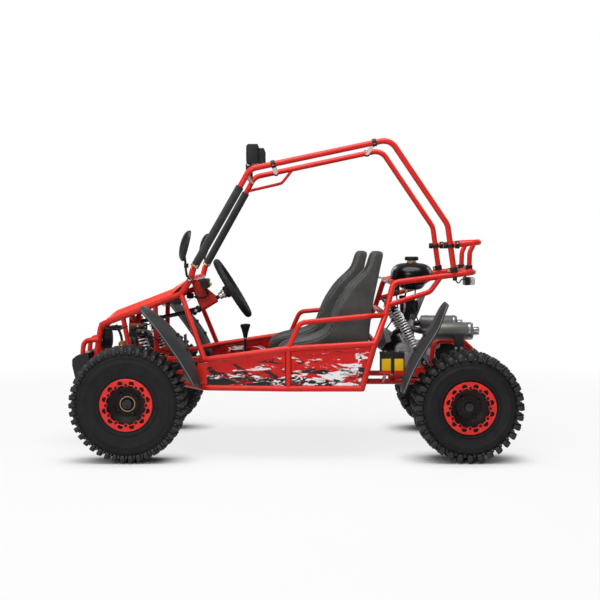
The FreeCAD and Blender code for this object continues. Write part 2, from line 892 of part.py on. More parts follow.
def rear_mudguard():
    """Blade ahead of the rear wheel."""
    centre = Vector(rear_axle_x - rear_guard_behind, 0, rear_axle_z - rear_guard_below)
    return mudguard(centre, rear_guard_crest, rear_guard_first, rear_guard_last,
                    rear_guard_rise, rear_guard_flare)


def guard_stay(root, target):
    """Rod that carries a mudguard."""
    return rod(root, target, stay_radius)


def seat_heel_x():
    """Back of the seats' base."""
    return ahead_rear(pillar_waist_ahead) + seat_back_gap


def seat_outline():
    """Side view of a seat: (distance ahead of the heel, height over the runners)."""
    length = seat_base_length
    height = seat_height
    return [
        (0, 0), (length, 0), (length, 0.10 * height), (0.95 * length, 0.24 * height),
        (0.52 * length, 0.30 * height), (0.36 * length, 0.50 * height), (0.24 * length, 0.66 * height),
        (0.07 * length, 0.83 * height), (-0.03 * length, height), (-0.17 * length, 0.99 * height),
        (-0.11 * length, 0.76 * height), (-0.02 * length, 0.55 * height), (0, 0.2 * height),
    ]


def seat(y_middle, slide):
    """Bucket seat with raised sides."""
    base = Vector(seat_heel_x() + slide, y_middle, seat_base_z())
    outer = plate([base + Vector(x, -seat_width / 2, z) for x, z in seat_outline()], Vector(0, seat_width, 0))
    length = seat_base_length
    height = seat_height
    hollow = [
        (0.18 * length, seat_wall + 0.06 * height), (length + overrun, seat_wall + 0.10 * height),
        (length + overrun, height), (0.02 * length, height + overrun), (-0.05 * length, height + overrun),
        (0.02 * length, 0.75 * height), (0.12 * length, 0.4 * height),
    ]
    width = seat_width - 2 * seat_wall
    inner = plate([base + Vector(x, -width / 2, z) for x, z in hollow], Vector(0, width, 0))
    return outer.cut(inner)


def seat_base_z():
    """Underside of the seats, on their runners."""
    return floor_z + rail_radius + panel_thickness + runner_height + seat_gap


def front_arm(ball_z, pivot_rail_start, pivot_rail_end, spread_front, spread_back):
    """Wishbone from the frame rail to the kingpin eye."""
    eye_place = Vector(front_axle_x, kingpin_y, ball_z)
    fork = Vector(front_axle_x, kingpin_y - arm_stem, ball_z + 0.12 * (pivot_rail_start.z - ball_z))
    front_pivot = on_line(pivot_rail_start, pivot_rail_end, front_axle_x + spread_front)
    back_pivot = on_line(pivot_rail_start, pivot_rail_end, front_axle_x - spread_back)
    eye = Part.makeCylinder(arm_eye_radius, arm_eye_height,
                            eye_place - Vector(0, 0, arm_eye_height / 2), Vector(0, 0, 1))
    legs = tube([front_pivot, fork, back_pivot], arm_tube_radius, 2 * arm_tube_radius)
    stem_end = between(fork, (front_pivot + back_pivot) * 0.5, arm_stem_share)
    arm = joined([eye, rod(eye_place, stem_end, 1.1 * arm_tube_radius), legs])
    bore = Part.makeCylinder(kingpin_radius + running_fit, arm_eye_height + 2 * overrun,
                             eye_place - Vector(0, 0, arm_eye_height / 2 + overrun), Vector(0, 0, 1))
    return arm.cut(bore)


def lower_arm():
    """Wishbone under the axle, hung on the floor rail."""
    return front_arm(front_axle_z - arm_ball_drop, floor_nose, floor_neck, arm_spread, arm_spread_back)


def upper_arm():
    """Wishbone over the axle, hung on the waist rail."""
    return front_arm(front_axle_z + arm_ball_drop, waist_nose, waist_neck, arm_spread, arm_spread)


def shock(head, foot):
    """Coil-over damper: body, rod, spring sleeve and end eyes."""
    span = foot - head
    parts = [
        rod(head, between(head, foot, 0.62), 0.62 * shock_radius),
        rod(head, foot, shock_rod_radius),
        rod(between(head, foot, 0.12), between(head, foot, 0.16), shock_radius),
        rod(between(head, foot, 0.84), between(head, foot, 0.88), shock_radius),
        rod(between(head, foot, 0.16), between(head, foot, 0.84), shock_radius * 0.9),
    ]
    for end in (head, foot):
        parts.append(rod(end - Vector(0, shock_eye_width / 2, 0), end + Vector(0, shock_eye_width / 2, 0),
                         shock_eye_radius))
    return joined(parts)


def front_shock():
    """Damper from the lower wishbone to the shock tower."""
    foot_on_arm = between(
        Vector(front_axle_x, kingpin_y - arm_stem, front_axle_z - arm_ball_drop),
        on_line(floor_nose, floor_neck, front_axle_x - arm_spread_back), 0.62)
    head_y = between(strut_head, post_head, 0.8).y
    head = Vector(behind_front(front_shock_head_back), head_y, front_shock_head_z)
    foot = foot_on_arm + Vector(0, 0, arm_tube_radius + shock_eye_radius)
    return shock(head, foot)


def rear_shock_head():
    """Upper eye of the rear damper, behind the pillar."""
    foot = between(pillar_knee, pillar_head, 0.3)
    return Vector(foot.x - brace_radius - shock_eye_radius, swing_half - swing_bar_width, foot.z)


def rear_shock_foot():
    """Lower eye of the rear damper, on the swing arm."""
    return Vector(ahead_rear(rear_shock_foot_ahead), swing_half - swing_bar_width, rear_shock_foot_z)


def swing_arm():
    """Rear swing arm: side bars, cross tubes and the axle's bearing housings."""
    pivot = Vector(ahead_rear(swing_pivot_ahead), swing_half, swing_pivot_z)
    elbow = Vector(ahead_rear(rear_shock_foot_ahead), swing_half, swing_pivot_z)
    axle = Vector(rear_axle_x, swing_half, rear_axle_z)
    halves = []
    half_height = swing_bar_height / 2
    inner = Vector(0, -swing_bar_width / 2, 0)
    outline = [
        pivot + Vector(swing_bar_width, 0, half_height), elbow + Vector(0, 0, half_height),
        axle + Vector(0, 0, half_height * 1.5), axle - Vector(0, 0, half_height),
        elbow + Vector(0, 0, -half_height), pivot + Vector(swing_bar_width, 0, -half_height),
    ]
    bar = plate([point + inner for point in outline], Vector(0, swing_bar_width, 0))
    housing = Part.makeCylinder(2.2 * axle_radius, 1.5 * swing_bar_width,
                                axle - Vector(0, 0.75 * swing_bar_width, 0), Vector(0, 1, 0))
    side = joined([bar, housing])
    parts = both_sides(side) + [across(pivot, brace_radius), across(elbow, brace_radius)]
    ear = block(Vector(elbow.x - shock_eye_radius, rear_shock_foot().y - shock_eye_width / 2, elbow.z),
                Vector(elbow.x + shock_eye_radius, rear_shock_foot().y + shock_eye_width / 2,
                       rear_shock_foot_z - shock_eye_radius))
    parts += both_sides(ear)
    arm = joined(parts)
    bore = Part.makeCylinder(axle_radius + running_fit, 2 * swing_half + 2 * swing_bar_width,
                             Vector(rear_axle_x, -swing_half - swing_bar_width, rear_axle_z), Vector(0, 1, 0))
    return arm.cut(bore)


def pivot_ears():
    """Ears of the cradle that hold the swing arm's pivot tube."""
    pivot = Vector(ahead_rear(swing_pivot_ahead), cradle_half, swing_pivot_z)
    ear = block(Vector(pivot.x - 2 * brace_radius, cradle_half - panel_thickness, floor_z),
                Vector(pivot.x + 2 * brace_radius, cradle_half + panel_thickness, pivot.z + 2 * brace_radius))
    return both_sides(ear)


def engine():
    """Crankcase, side covers and a finned cylinder leaning forward."""
    low = Vector(ahead_rear(engine_back_ahead), -engine_half, floor_z + rail_radius)
    high = Vector(low.x + crankcase_length, engine_half, low.z + crankcase_height)
    parts = [block(low, high)]
    cover_centre = Vector(low.x + 0.35 * crankcase_length, engine_half, low.z + 0.55 * crankcase_height)
    parts.append(Part.makeCylinder(cover_radius, cover_depth, cover_centre, Vector(0, 1, 0)))
    parts.append(Part.makeCylinder(cover_radius, cover_depth, flip(cover_centre), Vector(0, -1, 0)))
    axis = Vector(math.cos(cylinder_rake), 0, math.sin(cylinder_rake))
    root = Vector(high.x - 0.2 * crankcase_length, 0, high.z - 0.3 * crankcase_height)
    parts.append(Part.makeCylinder(0.75 * fin_radius, cylinder_length, root, axis))
    for fin in range(cylinder_fins):
        place = root + axis * (cylinder_length * (0.45 + 0.5 * fin / cylinder_fins))
        parts.append(Part.makeCylinder(fin_radius, fin_thickness, place, axis))
    return joined(parts)


def carburettor():
    """Carburettor and its round air filter, over the crankcase."""
    base = Vector(ahead_rear(carburettor_ahead), 0, floor_z + rail_radius + crankcase_height)
    body = Part.makeCylinder(carburettor_radius, carburettor_height, base, Vector(0, 0, 1))
    top = base + Vector(0, 0, 0.8 * carburettor_height)
    filter_start = Vector(ahead_rear(filter_ahead), 0, filter_z)
    canister_front = filter_start - Vector(filter_radius / 2, 0, 0)
    neck = rod(top, canister_front, 0.6 * carburettor_radius)
    canister = Part.makeCylinder(filter_radius, filter_length, filter_start, Vector(-1, 0, 0))
    return joined([body, neck, canister])


def muffler():
    """Silencer can with its tail tip, hanger strap and header pipe."""
    start = Vector(ahead_rear(muffler_front_ahead), muffler_y, muffler_z)
    axis = Vector(-1, 0, 0)
    can = Part.makeCylinder(muffler_radius, muffler_length, start, axis)
    tip = Part.makeCylinder(0.3 * muffler_radius, muffler_length + muffler_tip, start, axis)
    port = Vector(ahead_rear(engine_back_ahead) + 0.6 * crankcase_length, engine_half - pipe_radius,
                  floor_z + rail_radius + crankcase_height)
    pipe = tube([port, port + Vector(0, 0, muffler_z - port.z),
                 Vector(start.x + 3 * pipe_radius, muffler_y, muffler_z), start - Vector(pipe_radius, 0, 0)],
                pipe_radius, 2.5 * pipe_radius)
    return joined([can, tip, pipe])


def muffler_carrier():
    """Bent tube behind the engine that carries the silencers, with their hanger straps."""
    level = muffler_z - muffler_radius - brace_radius - seat_gap
    rise = Vector(cradle_end.x - 2 * rail_radius, cradle_half, level)
    corner = Vector(ahead_rear(carrier_end_ahead), cradle_half, level)
    tail = corner - Vector(carrier_drop, 0, carrier_drop)
    left = [cradle_end, rise, corner, tail]
    hoop = tube(left + [flip(point) for point in reversed(left)], brace_radius, tight_bend)
    front_x = ahead_rear(carrier_end_ahead) + strap_behind
    strap_y = muffler_y + strap_reach_share * muffler_radius
    strap = block(Vector(front_x - strap_width, strap_y, strap_foot_z),
                  Vector(front_x, strap_y + panel_thickness, muffler_z - strap_top_share * muffler_radius))
    shelf_z = level - brace_radius
    shelf = block(Vector(front_x - strap_width, cradle_half, shelf_z),
                  Vector(front_x, strap_y + panel_thickness, shelf_z + panel_thickness))
    return joined([hoop] + both_sides(joined([strap, shelf])))


def fuel_tank():
    """Round-topped tank with its flange, filler neck and cap, on two feet."""
    centre = Vector(ahead_rear(tank_ahead), 0, tank_seam_z)
    ball = Part.makeSphere(tank_half_length)
    squash = FreeCAD.Matrix()
    squash.scale(1, tank_half_width / tank_half_length, tank_half_height / tank_half_length)
    body = ball.transformGeometry(squash)
    body.translate(centre)
    flange = Part.makeCylinder(1.04 * tank_half_width, panel_thickness, centre, Vector(0, 0, 1))
    neck_top = centre + Vector(0, 0, tank_half_height + tank_neck_height)
    neck = rod(centre, neck_top, tank_neck_radius)
    cap = rod(neck_top, neck_top + Vector(0, 0, tank_cap_height), tank_cap_radius)
    foot = block(Vector(centre.x - 0.5 * tank_half_length, tank_half_width * 0.8, centre.z - brace_radius),
                 Vector(centre.x - 0.3 * tank_half_length, rear_half, centre.z))
    return joined([body, flange, neck, cap] + both_sides(foot))


def battery():
    """Battery on its tray beside the engine."""
    low = Vector(ahead_rear(battery_back_ahead), battery_y, tray_z)
    tray = block(low, low + Vector(battery_length * 1.1, battery_depth, panel_thickness))
    case = block(low + Vector(panel_thickness, panel_thickness, panel_thickness),
                 low + Vector(panel_thickness + battery_length, battery_depth - panel_thickness,
                              panel_thickness + battery_height))
    arm_start = Vector(low.x + 0.8 * battery_length, cradle_half, floor_z)
    arm = rod(arm_start, Vector(arm_start.x, battery_y + 0.5 * battery_depth, tray_z), thin_tube_radius)
    return joined([tray, case, arm])


def loop_outline(first, first_radius, second, second_radius):
    """Outline of a belt round two circles in the XZ plane."""
    link = second - first
    angle = math.atan2(link.z, link.x)
    lean = math.acos((first_radius - second_radius) / link.Length)
    points = []
    for side in (1, -1):
        spoke = Vector(math.cos(angle + side * lean), 0, math.sin(angle + side * lean))
        points.append((first + spoke * first_radius, second + spoke * second_radius))
    back = Vector(math.cos(angle), 0, math.sin(angle))
    edges = [
        Part.LineSegment(points[0][0], points[0][1]).toShape(),
        Part.Arc(points[0][1], second + back * second_radius, points[1][1]).toShape(),
        Part.LineSegment(points[1][1], points[1][0]).toShape(),
        Part.Arc(points[1][0], first - back * first_radius, points[0][0]).toShape(),
    ]
    return Part.Face(Part.Wire(edges))


def gearbox_centre():
    """Middle of the gearbox sprocket."""
    return Vector(ahead_rear(output_ahead), -chain_y, output_z)


def chain():
    """Drive chain as one loop round the gearbox and axle sprockets."""
    first = gearbox_centre()
    second = Vector(rear_axle_x, -chain_y, rear_axle_z)
    start = Vector(0, -chain_width / 2, 0)
    small = small_sprocket_radius + chain_gap
    big = big_sprocket_radius + chain_gap
    outer = loop_outline(first + start, small + chain_height, second + start, big + chain_height)
    inner = loop_outline(first + start, small, second + start, big)
    travel = Vector(0, chain_width, 0)
    return outer.extrude(travel).cut(inner.extrude(travel))


def output_sprocket():
    """Gearbox sprocket on its shaft."""
    centre = gearbox_centre()
    half = Vector(0, chain_width / 2, 0)
    disc = rod(centre - half, centre + half, small_sprocket_radius)
    shaft = rod(centre, Vector(centre.x, -engine_half, centre.z), axle_radius)
    return joined([disc, shaft])


def toothed_disc(radius, thickness, teeth, x, y, z):
    """Sprocket disc with round gaps between its teeth, axis along Y."""
    low = Vector(x, y - thickness / 2, z)
    axis = Vector(0, 1, 0)
    disc = Part.makeCylinder(radius, thickness, low, axis)
    gap = Part.makeCylinder(sprocket_root_radius, thickness + 2 * overrun,
                            low + Vector(radius, -overrun, 0), axis)
    return disc.cut(spin(gap, teeth, Vector(x, y, z), axis))


def rear_axle():
    """Live axle with its sprocket and brake disc."""
    end_y = rear_disc_y() + hub_cap_length
    end = Vector(rear_axle_x, end_y, rear_axle_z)
    shaft = rod(flip(end), end, axle_radius)
    sprocket = toothed_disc(big_sprocket_radius, brake_disc_thickness, sprocket_teeth,
                            rear_axle_x, -chain_y, rear_axle_z)
    half = Vector(0, brake_disc_thickness / 2, 0)
    middle = Vector(rear_axle_x, chain_y, rear_axle_z)
    parts = [shaft, sprocket, rod(middle - half, middle + half, brake_disc_radius)]
    boss = Vector(0, axle_radius, 0)
    for place in (middle, flip(middle)):
        parts.append(rod(place - boss, place + boss, 2 * axle_radius))
    return joined(parts)


def rear_rack():
    """Hoop rack behind the cage with its two stays."""
    front = Vector(ahead_rear(rack_front_ahead), rear_half, rack_front_z)
    end = Vector(ahead_rear(rack_end_ahead), rear_half, rack_back_z)
    hoop = tube([front, end, flip(end), flip(front)], rail_radius, tight_bend)
    stay_head = Vector(end.x, rack_stay_half, rack_back_z)
    stay_foot = Vector(rail_end.x, rack_stay_half, rear_rail_back_z)
    knee = between(stay_head, stay_foot, 0.35) + Vector(rail_radius, 0, 0)
    stay = tube([stay_head, knee, stay_foot], brace_radius, tight_bend)
    return joined([hoop] + both_sides(stay))


def tail_lamp():
    """Lamp under the tail of the rear rails."""
    top = Vector(rail_end.x, 0, rear_rail_back_z - rail_radius)
    pin = lamp_pin_radius
    arm = block(top + Vector(-pin, -pin, -tail_lamp_drop), top + Vector(pin, pin, 0))
    body = block(top + Vector(-tail_lamp_depth, -tail_lamp_half, -tail_lamp_drop - tail_lamp_height),
                 top + Vector(lamp_pin_radius, tail_lamp_half, -tail_lamp_drop))
    return joined([arm, body])


def grab_handle():
    """Thin grab tube under the right roof rail."""
    root = flip(between(pillar_joint, pillar_top, 0.95))
    reach = roof_front_back - pillar_top_back
    elbow = Vector(root.x - handle_length, root.y, root.z + handle_rise)
    head = flip(on_line(roof_front, roof_rear, elbow.x - 2 * reach))
    return tube([root, elbow, head], thin_tube_radius, tight_bend)


def pillar_foam():
    """Foam sleeve round a roof pillar."""
    start = between(pillar_joint, pillar_top, 0.03)
    end = between(pillar_joint, pillar_top, 0.93)
    sleeve = rod(start, end, foam_radius)
    core = rod(between(start, end, -0.1), between(start, end, 1.1), rail_radius + seat_gap)
    return sleeve.cut(core)


def gear_lever():
    """Gear lever with its knob, on the floor between the seats."""
    foot = Vector(behind_front(lever_back), 0, floor_z + rail_radius + panel_thickness)
    knob = foot + Vector(0, 0, lever_height)
    boot = Part.makeCone(lever_radius * 4, lever_radius, lever_height * 0.2, foot, Vector(0, 0, 1))
    return joined([rod(foot, knob, lever_radius), boot,
                   Part.makeCone(lever_radius * 1.5, lever_knob_radius, lever_knob, knob, Vector(0, 0, 1))])


def pedals():
    """Throttle and brake pedals on a shared shaft over the neck of the floor."""
    shaft_z = floor_z + rail_radius + pedal_drop
    x = behind_front(neck_back) + pedal_shaft_ahead
    half = on_line(floor_nose, floor_neck, x).y
    left = [Vector(x, half, floor_z), Vector(x, half, shaft_z)]
    parts = [tube(left + [flip(point) for point in reversed(left)], thin_tube_radius, 2 * thin_tube_radius)]
    for side in (1, -1):
        y = side * 0.6 * half
        head = Vector(x - pedal_reach, y, shaft_z + pedal_height)
        arm = rod(Vector(x, y, shaft_z), head, 0.8 * thin_tube_radius)
        pad = block(head - Vector(pedal_pad_depth, pedal_pad_half, pedal_pad_half),
                    head + Vector(0, pedal_pad_half, pedal_pad_half))
        parts += [arm, pad]
    return joined(parts)


# Steering

def wheel_centre():
    """Middle of the steering wheel's hub."""
    return Vector(behind_front(steering_wheel_back), column_offset, steering_wheel_z)


def column_end():
    """Joint under the upper column."""
    return wheel_centre() + column_axis * column_length


def steering_wheel():
    """Wheel, hub and upper column down to the joint."""
    centre = wheel_centre()
    ring = Part.makeTorus(steering_wheel_radius - steering_rim_radius, steering_rim_radius,
                          centre - column_axis * wheel_dish, column_axis)
    hub = Part.makeCylinder(3 * column_radius, wheel_dish * 0.5, centre, column_axis)
    shaft = Part.makeCylinder(column_radius, column_length - joint_gap, centre, column_axis)
    parts = [ring, hub, shaft]
    upright = Vector(math.sin(column_rake), 0, math.cos(column_rake))
    for angle in (90, 210, 330):
        turn = FreeCAD.Rotation(column_axis, angle - 90)
        reach = steering_wheel_radius - steering_rim_radius
        spoke_end = centre - column_axis * wheel_dish + turn.multVec(upright) * reach
        parts.append(rod(centre + column_axis * spoke_radius, spoke_end, spoke_radius))
    return joined(parts)


def box_centre():
    """Middle of the steering box."""
    return Vector(behind_front(pitman_back), 0, steering_box_z)


def steering_shaft():
    """Lower shaft from the joint to the steering box."""
    start = column_end()
    end = box_centre()
    heading = (end - start).normalize()
    stop = end - heading * (steering_box_size * box_face_share)
    top = start + heading * joint_gap
    coupling = rod(top, top + heading * (3 * column_radius), 1.6 * column_radius)
    return joined([coupling, rod(top, stop, column_radius)])


def steering_box():
    """Gear box of the steering, held by two cross arms."""
    half = steering_box_size / 2
    centre = box_centre()
    case = block(centre - Vector(half, half, half), centre + Vector(half, half, half))
    rail = on_line(hood_front, cowl, centre.x)
    arm = rod(Vector(centre.x, rail.y, rail.z), Vector(centre.x, 0, centre.z), brace_radius)
    box = joined([case] + both_sides(arm))
    bore = rod(centre - Vector(0, 0, half + overrun), centre, kingpin_radius + running_fit)
    heading = (centre - column_end()).normalize()
    clear = rod(column_end(), centre - heading * (steering_box_size * box_face_share - joint_gap * 0.25),
                column_radius + joint_gap * 0.25)
    return box.cut([bore, clear])


def pitman_arm():
    """Vertical steering spindle with its arm and pin."""
    centre = box_centre()
    top = Vector(centre.x, centre.y, centre.z - 0.2 * steering_box_size)
    low = Vector(centre.x, centre.y, pitman_z - pitman_plate / 2)
    spindle = rod(low, top, kingpin_radius)
    pin = Vector(centre.x - steering_arm, 0, pitman_z)
    arm = block(Vector(pin.x, -tie_eye_radius, pitman_z - pitman_plate / 2),
                Vector(centre.x, tie_eye_radius, pitman_z + pitman_plate / 2))
    half = Vector(0, 0, pitman_plate / 2)
    ends = [rod(place - half, place + half, tie_eye_radius)
            for place in (pin, Vector(centre.x, 0, pitman_z))]
    reach = Vector(0, 0, pitman_plate / 2 + pitman_spacer + tie_eye_height + eye_gap)
    stud = rod(pin - reach, pin + reach, tie_pin_radius)
    step = Vector(0, 0, pitman_plate / 2 + pitman_spacer - 3 * eye_gap)
    sleeve = rod(pin - step, pin + step, 1.4 * tie_pin_radius)
    return joined([spindle, arm, stud, sleeve] + ends)


def tie_rod(side):
    """Track rod from the pitman pin to the steering arm of a knuckle."""
    offset = Vector(0, 0, side * (pitman_plate / 2 + tie_eye_height / 2 + pitman_spacer))
    inner = Vector(behind_front(pitman_back) - steering_arm, 0, pitman_z) + offset
    outer = Vector(front_axle_x - steering_arm, side * kingpin_y, knuckle_eye_z())
    parts = [rod(inner, outer, tie_rod_radius)]
    for place in (inner, outer):
        half = Vector(0, 0, tie_eye_height / 2)
        parts.append(rod(place - half, place + half, tie_eye_radius))
    shape = joined(parts)
    bores = []
    for place, gap in ((inner, running_fit), (outer, eye_gap)):
        bores.append(Part.makeCylinder(tie_pin_radius + gap, 3 * tie_eye_height,
                                       place - Vector(0, 0, 1.5 * tie_eye_height), Vector(0, 0, 1)))
    return shape.cut(bores)


def knuckle_eye_z():
    """Height of the tie rod's eye over the steering arm."""
    return front_axle_z + knuckle_plate / 2 + eye_gap + tie_eye_height / 2


def knuckle():
    """Left knuckle: kingpin post, spindle and steering arm."""
    post_half = arm_ball_drop - arm_eye_height / 2 - post_clearance
    base = Vector(front_axle_x, kingpin_y, front_axle_z)
    up = Vector(0, 0, 1)
    pin_half = arm_ball_drop + arm_eye_height / 2
    post = rod(base - up * post_half, base + up * post_half, 1.8 * kingpin_radius)
    pin = rod(base - up * pin_half, base + up * pin_half, kingpin_radius)
    spindle = Part.makeCylinder(spindle_radius, spindle_end_y() - kingpin_y, base, Vector(0, 1, 0))
    low = base - Vector(steering_arm, tie_eye_radius, knuckle_plate / 2)
    arm = block(low, low + Vector(steering_arm, 2 * tie_eye_radius, knuckle_plate))
    eye_place = base - Vector(steering_arm, 0, 0)
    eye = Part.makeCylinder(tie_eye_radius, knuckle_plate, eye_place - up * (knuckle_plate / 2), up)
    stud = Part.makeCylinder(tie_pin_radius, knuckle_plate / 2 + 2 * eye_gap + tie_eye_height, eye_place, up)
    return joined([post, pin, spindle, arm, eye, stud])


def spindle_end_y():
    """Outer end of the front spindle."""
    return front_disc_y() + 0.25 * hub_cap_length


def front_hub():
    """Hub of a front wheel with a blind bore for the spindle."""
    y0 = kingpin_y + 1.8 * kingpin_radius + eye_gap
    hub = joined(hub_shape(front_disc_y(), y0, front_axle_x, front_axle_z))
    bore = Part.makeCylinder(spindle_radius + running_fit, spindle_end_y() + eye_gap - y0 + overrun,
                             Vector(front_axle_x, y0 - overrun, front_axle_z), Vector(0, 1, 0))
    return hub.cut(bore)


def rear_hub():
    """Hub of a rear wheel on the live axle."""
    y0 = rear_disc_y() - 4 * wheel_disc_thickness
    hub = joined(hub_shape(rear_disc_y(), y0, rear_axle_x, rear_axle_z))
    middle = Vector(rear_axle_x, 0, rear_axle_z)
    bore = rod(middle, middle + Vector(0, rear_disc_y() + 2 * hub_cap_length, 0), axle_radius)
    return hub.cut(bore)


def steering_support():
    """Folded bracket that carries the upper column."""
    axis = column_axis
    start = wheel_centre() + axis * (0.35 * column_length)
    end = wheel_centre() + axis * (0.8 * column_length)
    outer = rod(start, end, 2 * column_radius)
    bore = rod(start - axis * overrun, end + axis * overrun, column_radius + running_fit)
    fold = [
        Vector(start.x, 0, start.z + column_radius), Vector(dash_end.x, 0, dash_z + rail_radius / 2),
        Vector(dash_end.x + rail_radius / 2, 0, dash_z - rail_radius),
        Vector(end.x, 0, end.z - column_radius),
    ]
    plates = []
    for side in (1, -1):
        y = column_offset + side * (2 * column_radius)
        points = [Vector(p.x, y - panel_thickness / 2, p.z) for p in fold]
        plates.append(plate(points, Vector(0, panel_thickness, 0)))
    return joined([outer] + plates).cut(bore)


def save(name, shape):
    """Writes one piece as a STEP file."""
    shape.exportStep("parts/" + name + ".step")


def main():
    """Builds every piece and writes it out."""
    os.makedirs("parts", exist_ok=True)
    pieces = {}
    lower = joined([lower_frame()] + pivot_ears())
    lower = joined([lower, muffler_carrier()])
    rear = cut_by(rear_frame(), [lower])
    hoops = hood_rails()
    rail = cut_by(joined([side_rail(), side_guard()]), [lower, rear, hoops])
    rails = grouped(both_sides(rail))
    posts = [cut_by(post, [rail]) for post in front_posts()]
    front = [hoops, steering_support(), bumper(), steering_box()]
    front = cut_by(joined(front + posts + [mirrored(post) for post in posts]), [lower])
    cage = cut_by(joined([roll_cage(), grab_handle()]), [front, rear])
    pieces["lower_frame"] = lower
    pieces["side_rails"] = rails
    pieces["front_frame"] = front
    pieces["rear_frame"] = rear
    pieces["roll_cage"] = cage
    pieces["roof_bars"] = grouped([cut_by(bar, [cage]) for bar in roof_bars()])
    pieces["nose_guard"] = cut_by(nose_guard(), [front, lower, rails])
    pieces["floor_pan"] = cut_by(floor_pan(), [lower, rails, front, rear])
    bays = [cut_by(bay, [lower, rails, front, rear, pieces["floor_pan"]]) for bay in side_panels()]
    pieces["side_panels"] = grouped(both_sides(bays[0]) + both_sides(bays[1]))
    pieces["hood"] = cut_by(hood(), [front])
    pieces["headlamp"] = cut_by(headlamp(), [front, rails, lower])
    pieces["light_bar"] = cut_by(light_bar(), [cage])
    pieces["mirrors"] = grouped(both_sides(cut_by(mirror_piece(), [front, cage])))
    pieces["pillar_foam"] = grouped([cut_by(foam, [cage]) for foam in both_sides(pillar_foam())])
    fore = front_mudguard()
    stay_y = front_wheel_y - mudguard_width / 4
    fore_root = between(cowl, waist_front, 0.5)
    fore_stay = guard_stay(fore_root, Vector(front_axle_x - front_guard_reach, stay_y, fore_root.z))
    fore = joined([fore, cut_by(fore_stay, [front, fore])])
    aft = rear_mudguard()
    aft_stay = guard_stay(waist_rear, Vector(rear_axle_x + rear_guard_reach, stay_y, waist_rear_z))
    aft = joined([aft, cut_by(aft_stay, [rear, rails, aft])])
    pieces["front_mudguards"] = grouped(both_sides(fore))
    pieces["rear_mudguards"] = grouped(both_sides(aft))
    pieces["seats"] = grouped([seat(seat_offset, 0), seat(-seat_offset, seat_slide)])
    arms = [cut_by(arm, [lower, rails, front]) for arm in (lower_arm(), upper_arm())]
    pieces["front_arms"] = grouped(both_sides(arms[0]) + both_sides(arms[1]))
    pieces["front_shocks"] = grouped(both_sides(cut_by(front_shock(), arms + [front])))
    pieces["swing_arm"] = cut_by(swing_arm(), [lower])
    rear_shock = shock(rear_shock_head(), rear_shock_foot())
    pieces["rear_shocks"] = grouped(both_sides(cut_by(rear_shock, [rear, pieces["swing_arm"]])))
    pieces["engine"] = cut_by(joined([engine(), output_sprocket()]), [lower, pieces["swing_arm"]])
    pieces["carburettor"] = cut_by(carburettor(), [pieces["engine"]])
    pieces["mufflers"] = grouped(both_sides(cut_by(muffler(), [pieces["engine"], lower])))
    pieces["fuel_tank"] = cut_by(fuel_tank(), [rear])
    pieces["battery"] = cut_by(battery(), [lower, pieces["swing_arm"]])
    pieces["chain"] = chain()
    pieces["rear_rack"] = cut_by(rear_rack(), [cage, rear])
    pieces["tail_lamp"] = cut_by(tail_lamp(), [rear])
    pieces["gear_lever"] = gear_lever()
    pieces["pedals"] = cut_by(pedals(), [lower, pieces["floor_pan"]])
    pieces["steering_wheel"] = steering_wheel()
    pieces["steering_shaft"] = steering_shaft()
    pieces["pitman_arm"] = pitman_arm()
    pieces["tie_rod_left"] = tie_rod(1)
    pieces["tie_rod_right"] = tie_rod(-1)
    pieces["knuckle_left"] = knuckle()
    pieces["knuckle_right"] = mirrored(knuckle())
    front_tyre, front_rim = front_wheel_parts()
    front_rim = joined([front_rim, front_hub()])
    pieces["front_tyre_left"] = front_tyre
    pieces["front_tyre_right"] = mirrored(front_tyre)
    pieces["front_rim_left"] = front_rim
    pieces["front_rim_right"] = mirrored(front_rim)
    rear_tyre, rear_rim = rear_wheel_parts()
    rear_rim = joined([rear_rim, rear_hub()])
    pieces["rear_tyres"] = grouped(both_sides(rear_tyre))
    pieces["rear_rims"] = grouped(both_sides(rear_rim))
    pieces["rear_axle"] = rear_axle()
    for name, shape in pieces.items():
        save(name, shape)


if __name__ == "__main__":
    main()
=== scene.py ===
"""Two-seat off-road dune buggy, dressed for a studio picture.

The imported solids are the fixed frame: painted tubes, plates and castings keep their own meshes
and get finishes, and the parts with finer forms are built here, in the place of their solids.
Lengths are in metres. The buggy faces +X, its left side is +Y, and it stands on z = 0.
"""
import logging
import math
from collections.abc import Iterable, Sequence
from dataclasses import dataclass, field
from enum import Enum

import bmesh
import bpy
from mathutils import Matrix, Vector
from mathutils.kdtree import KDTree


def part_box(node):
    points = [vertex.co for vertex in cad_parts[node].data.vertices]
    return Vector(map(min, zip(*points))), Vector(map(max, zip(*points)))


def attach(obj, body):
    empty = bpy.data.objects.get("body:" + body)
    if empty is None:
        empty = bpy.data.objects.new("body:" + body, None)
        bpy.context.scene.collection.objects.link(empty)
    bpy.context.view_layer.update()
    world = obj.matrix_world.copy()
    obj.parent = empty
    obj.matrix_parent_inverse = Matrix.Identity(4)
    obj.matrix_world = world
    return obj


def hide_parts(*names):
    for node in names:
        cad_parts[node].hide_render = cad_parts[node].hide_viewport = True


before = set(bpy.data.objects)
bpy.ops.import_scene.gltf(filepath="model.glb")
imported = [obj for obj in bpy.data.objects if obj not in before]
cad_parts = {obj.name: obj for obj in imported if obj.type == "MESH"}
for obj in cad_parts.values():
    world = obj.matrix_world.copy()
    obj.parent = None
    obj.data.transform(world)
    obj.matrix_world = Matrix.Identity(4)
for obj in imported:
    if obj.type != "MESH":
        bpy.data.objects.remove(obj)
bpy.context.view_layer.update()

LOG = logging.getLogger("buggy")
X_AXIS, Y_AXIS, Z_AXIS = Vector((1, 0, 0)), Vector((0, 1, 0)), Vector((0, 0, 1))
SMOOTH_ANGLE = math.radians(34)

Colour = tuple[float, float, float]
Point2 = tuple[float, float]
Point3 = tuple[float, float, float]


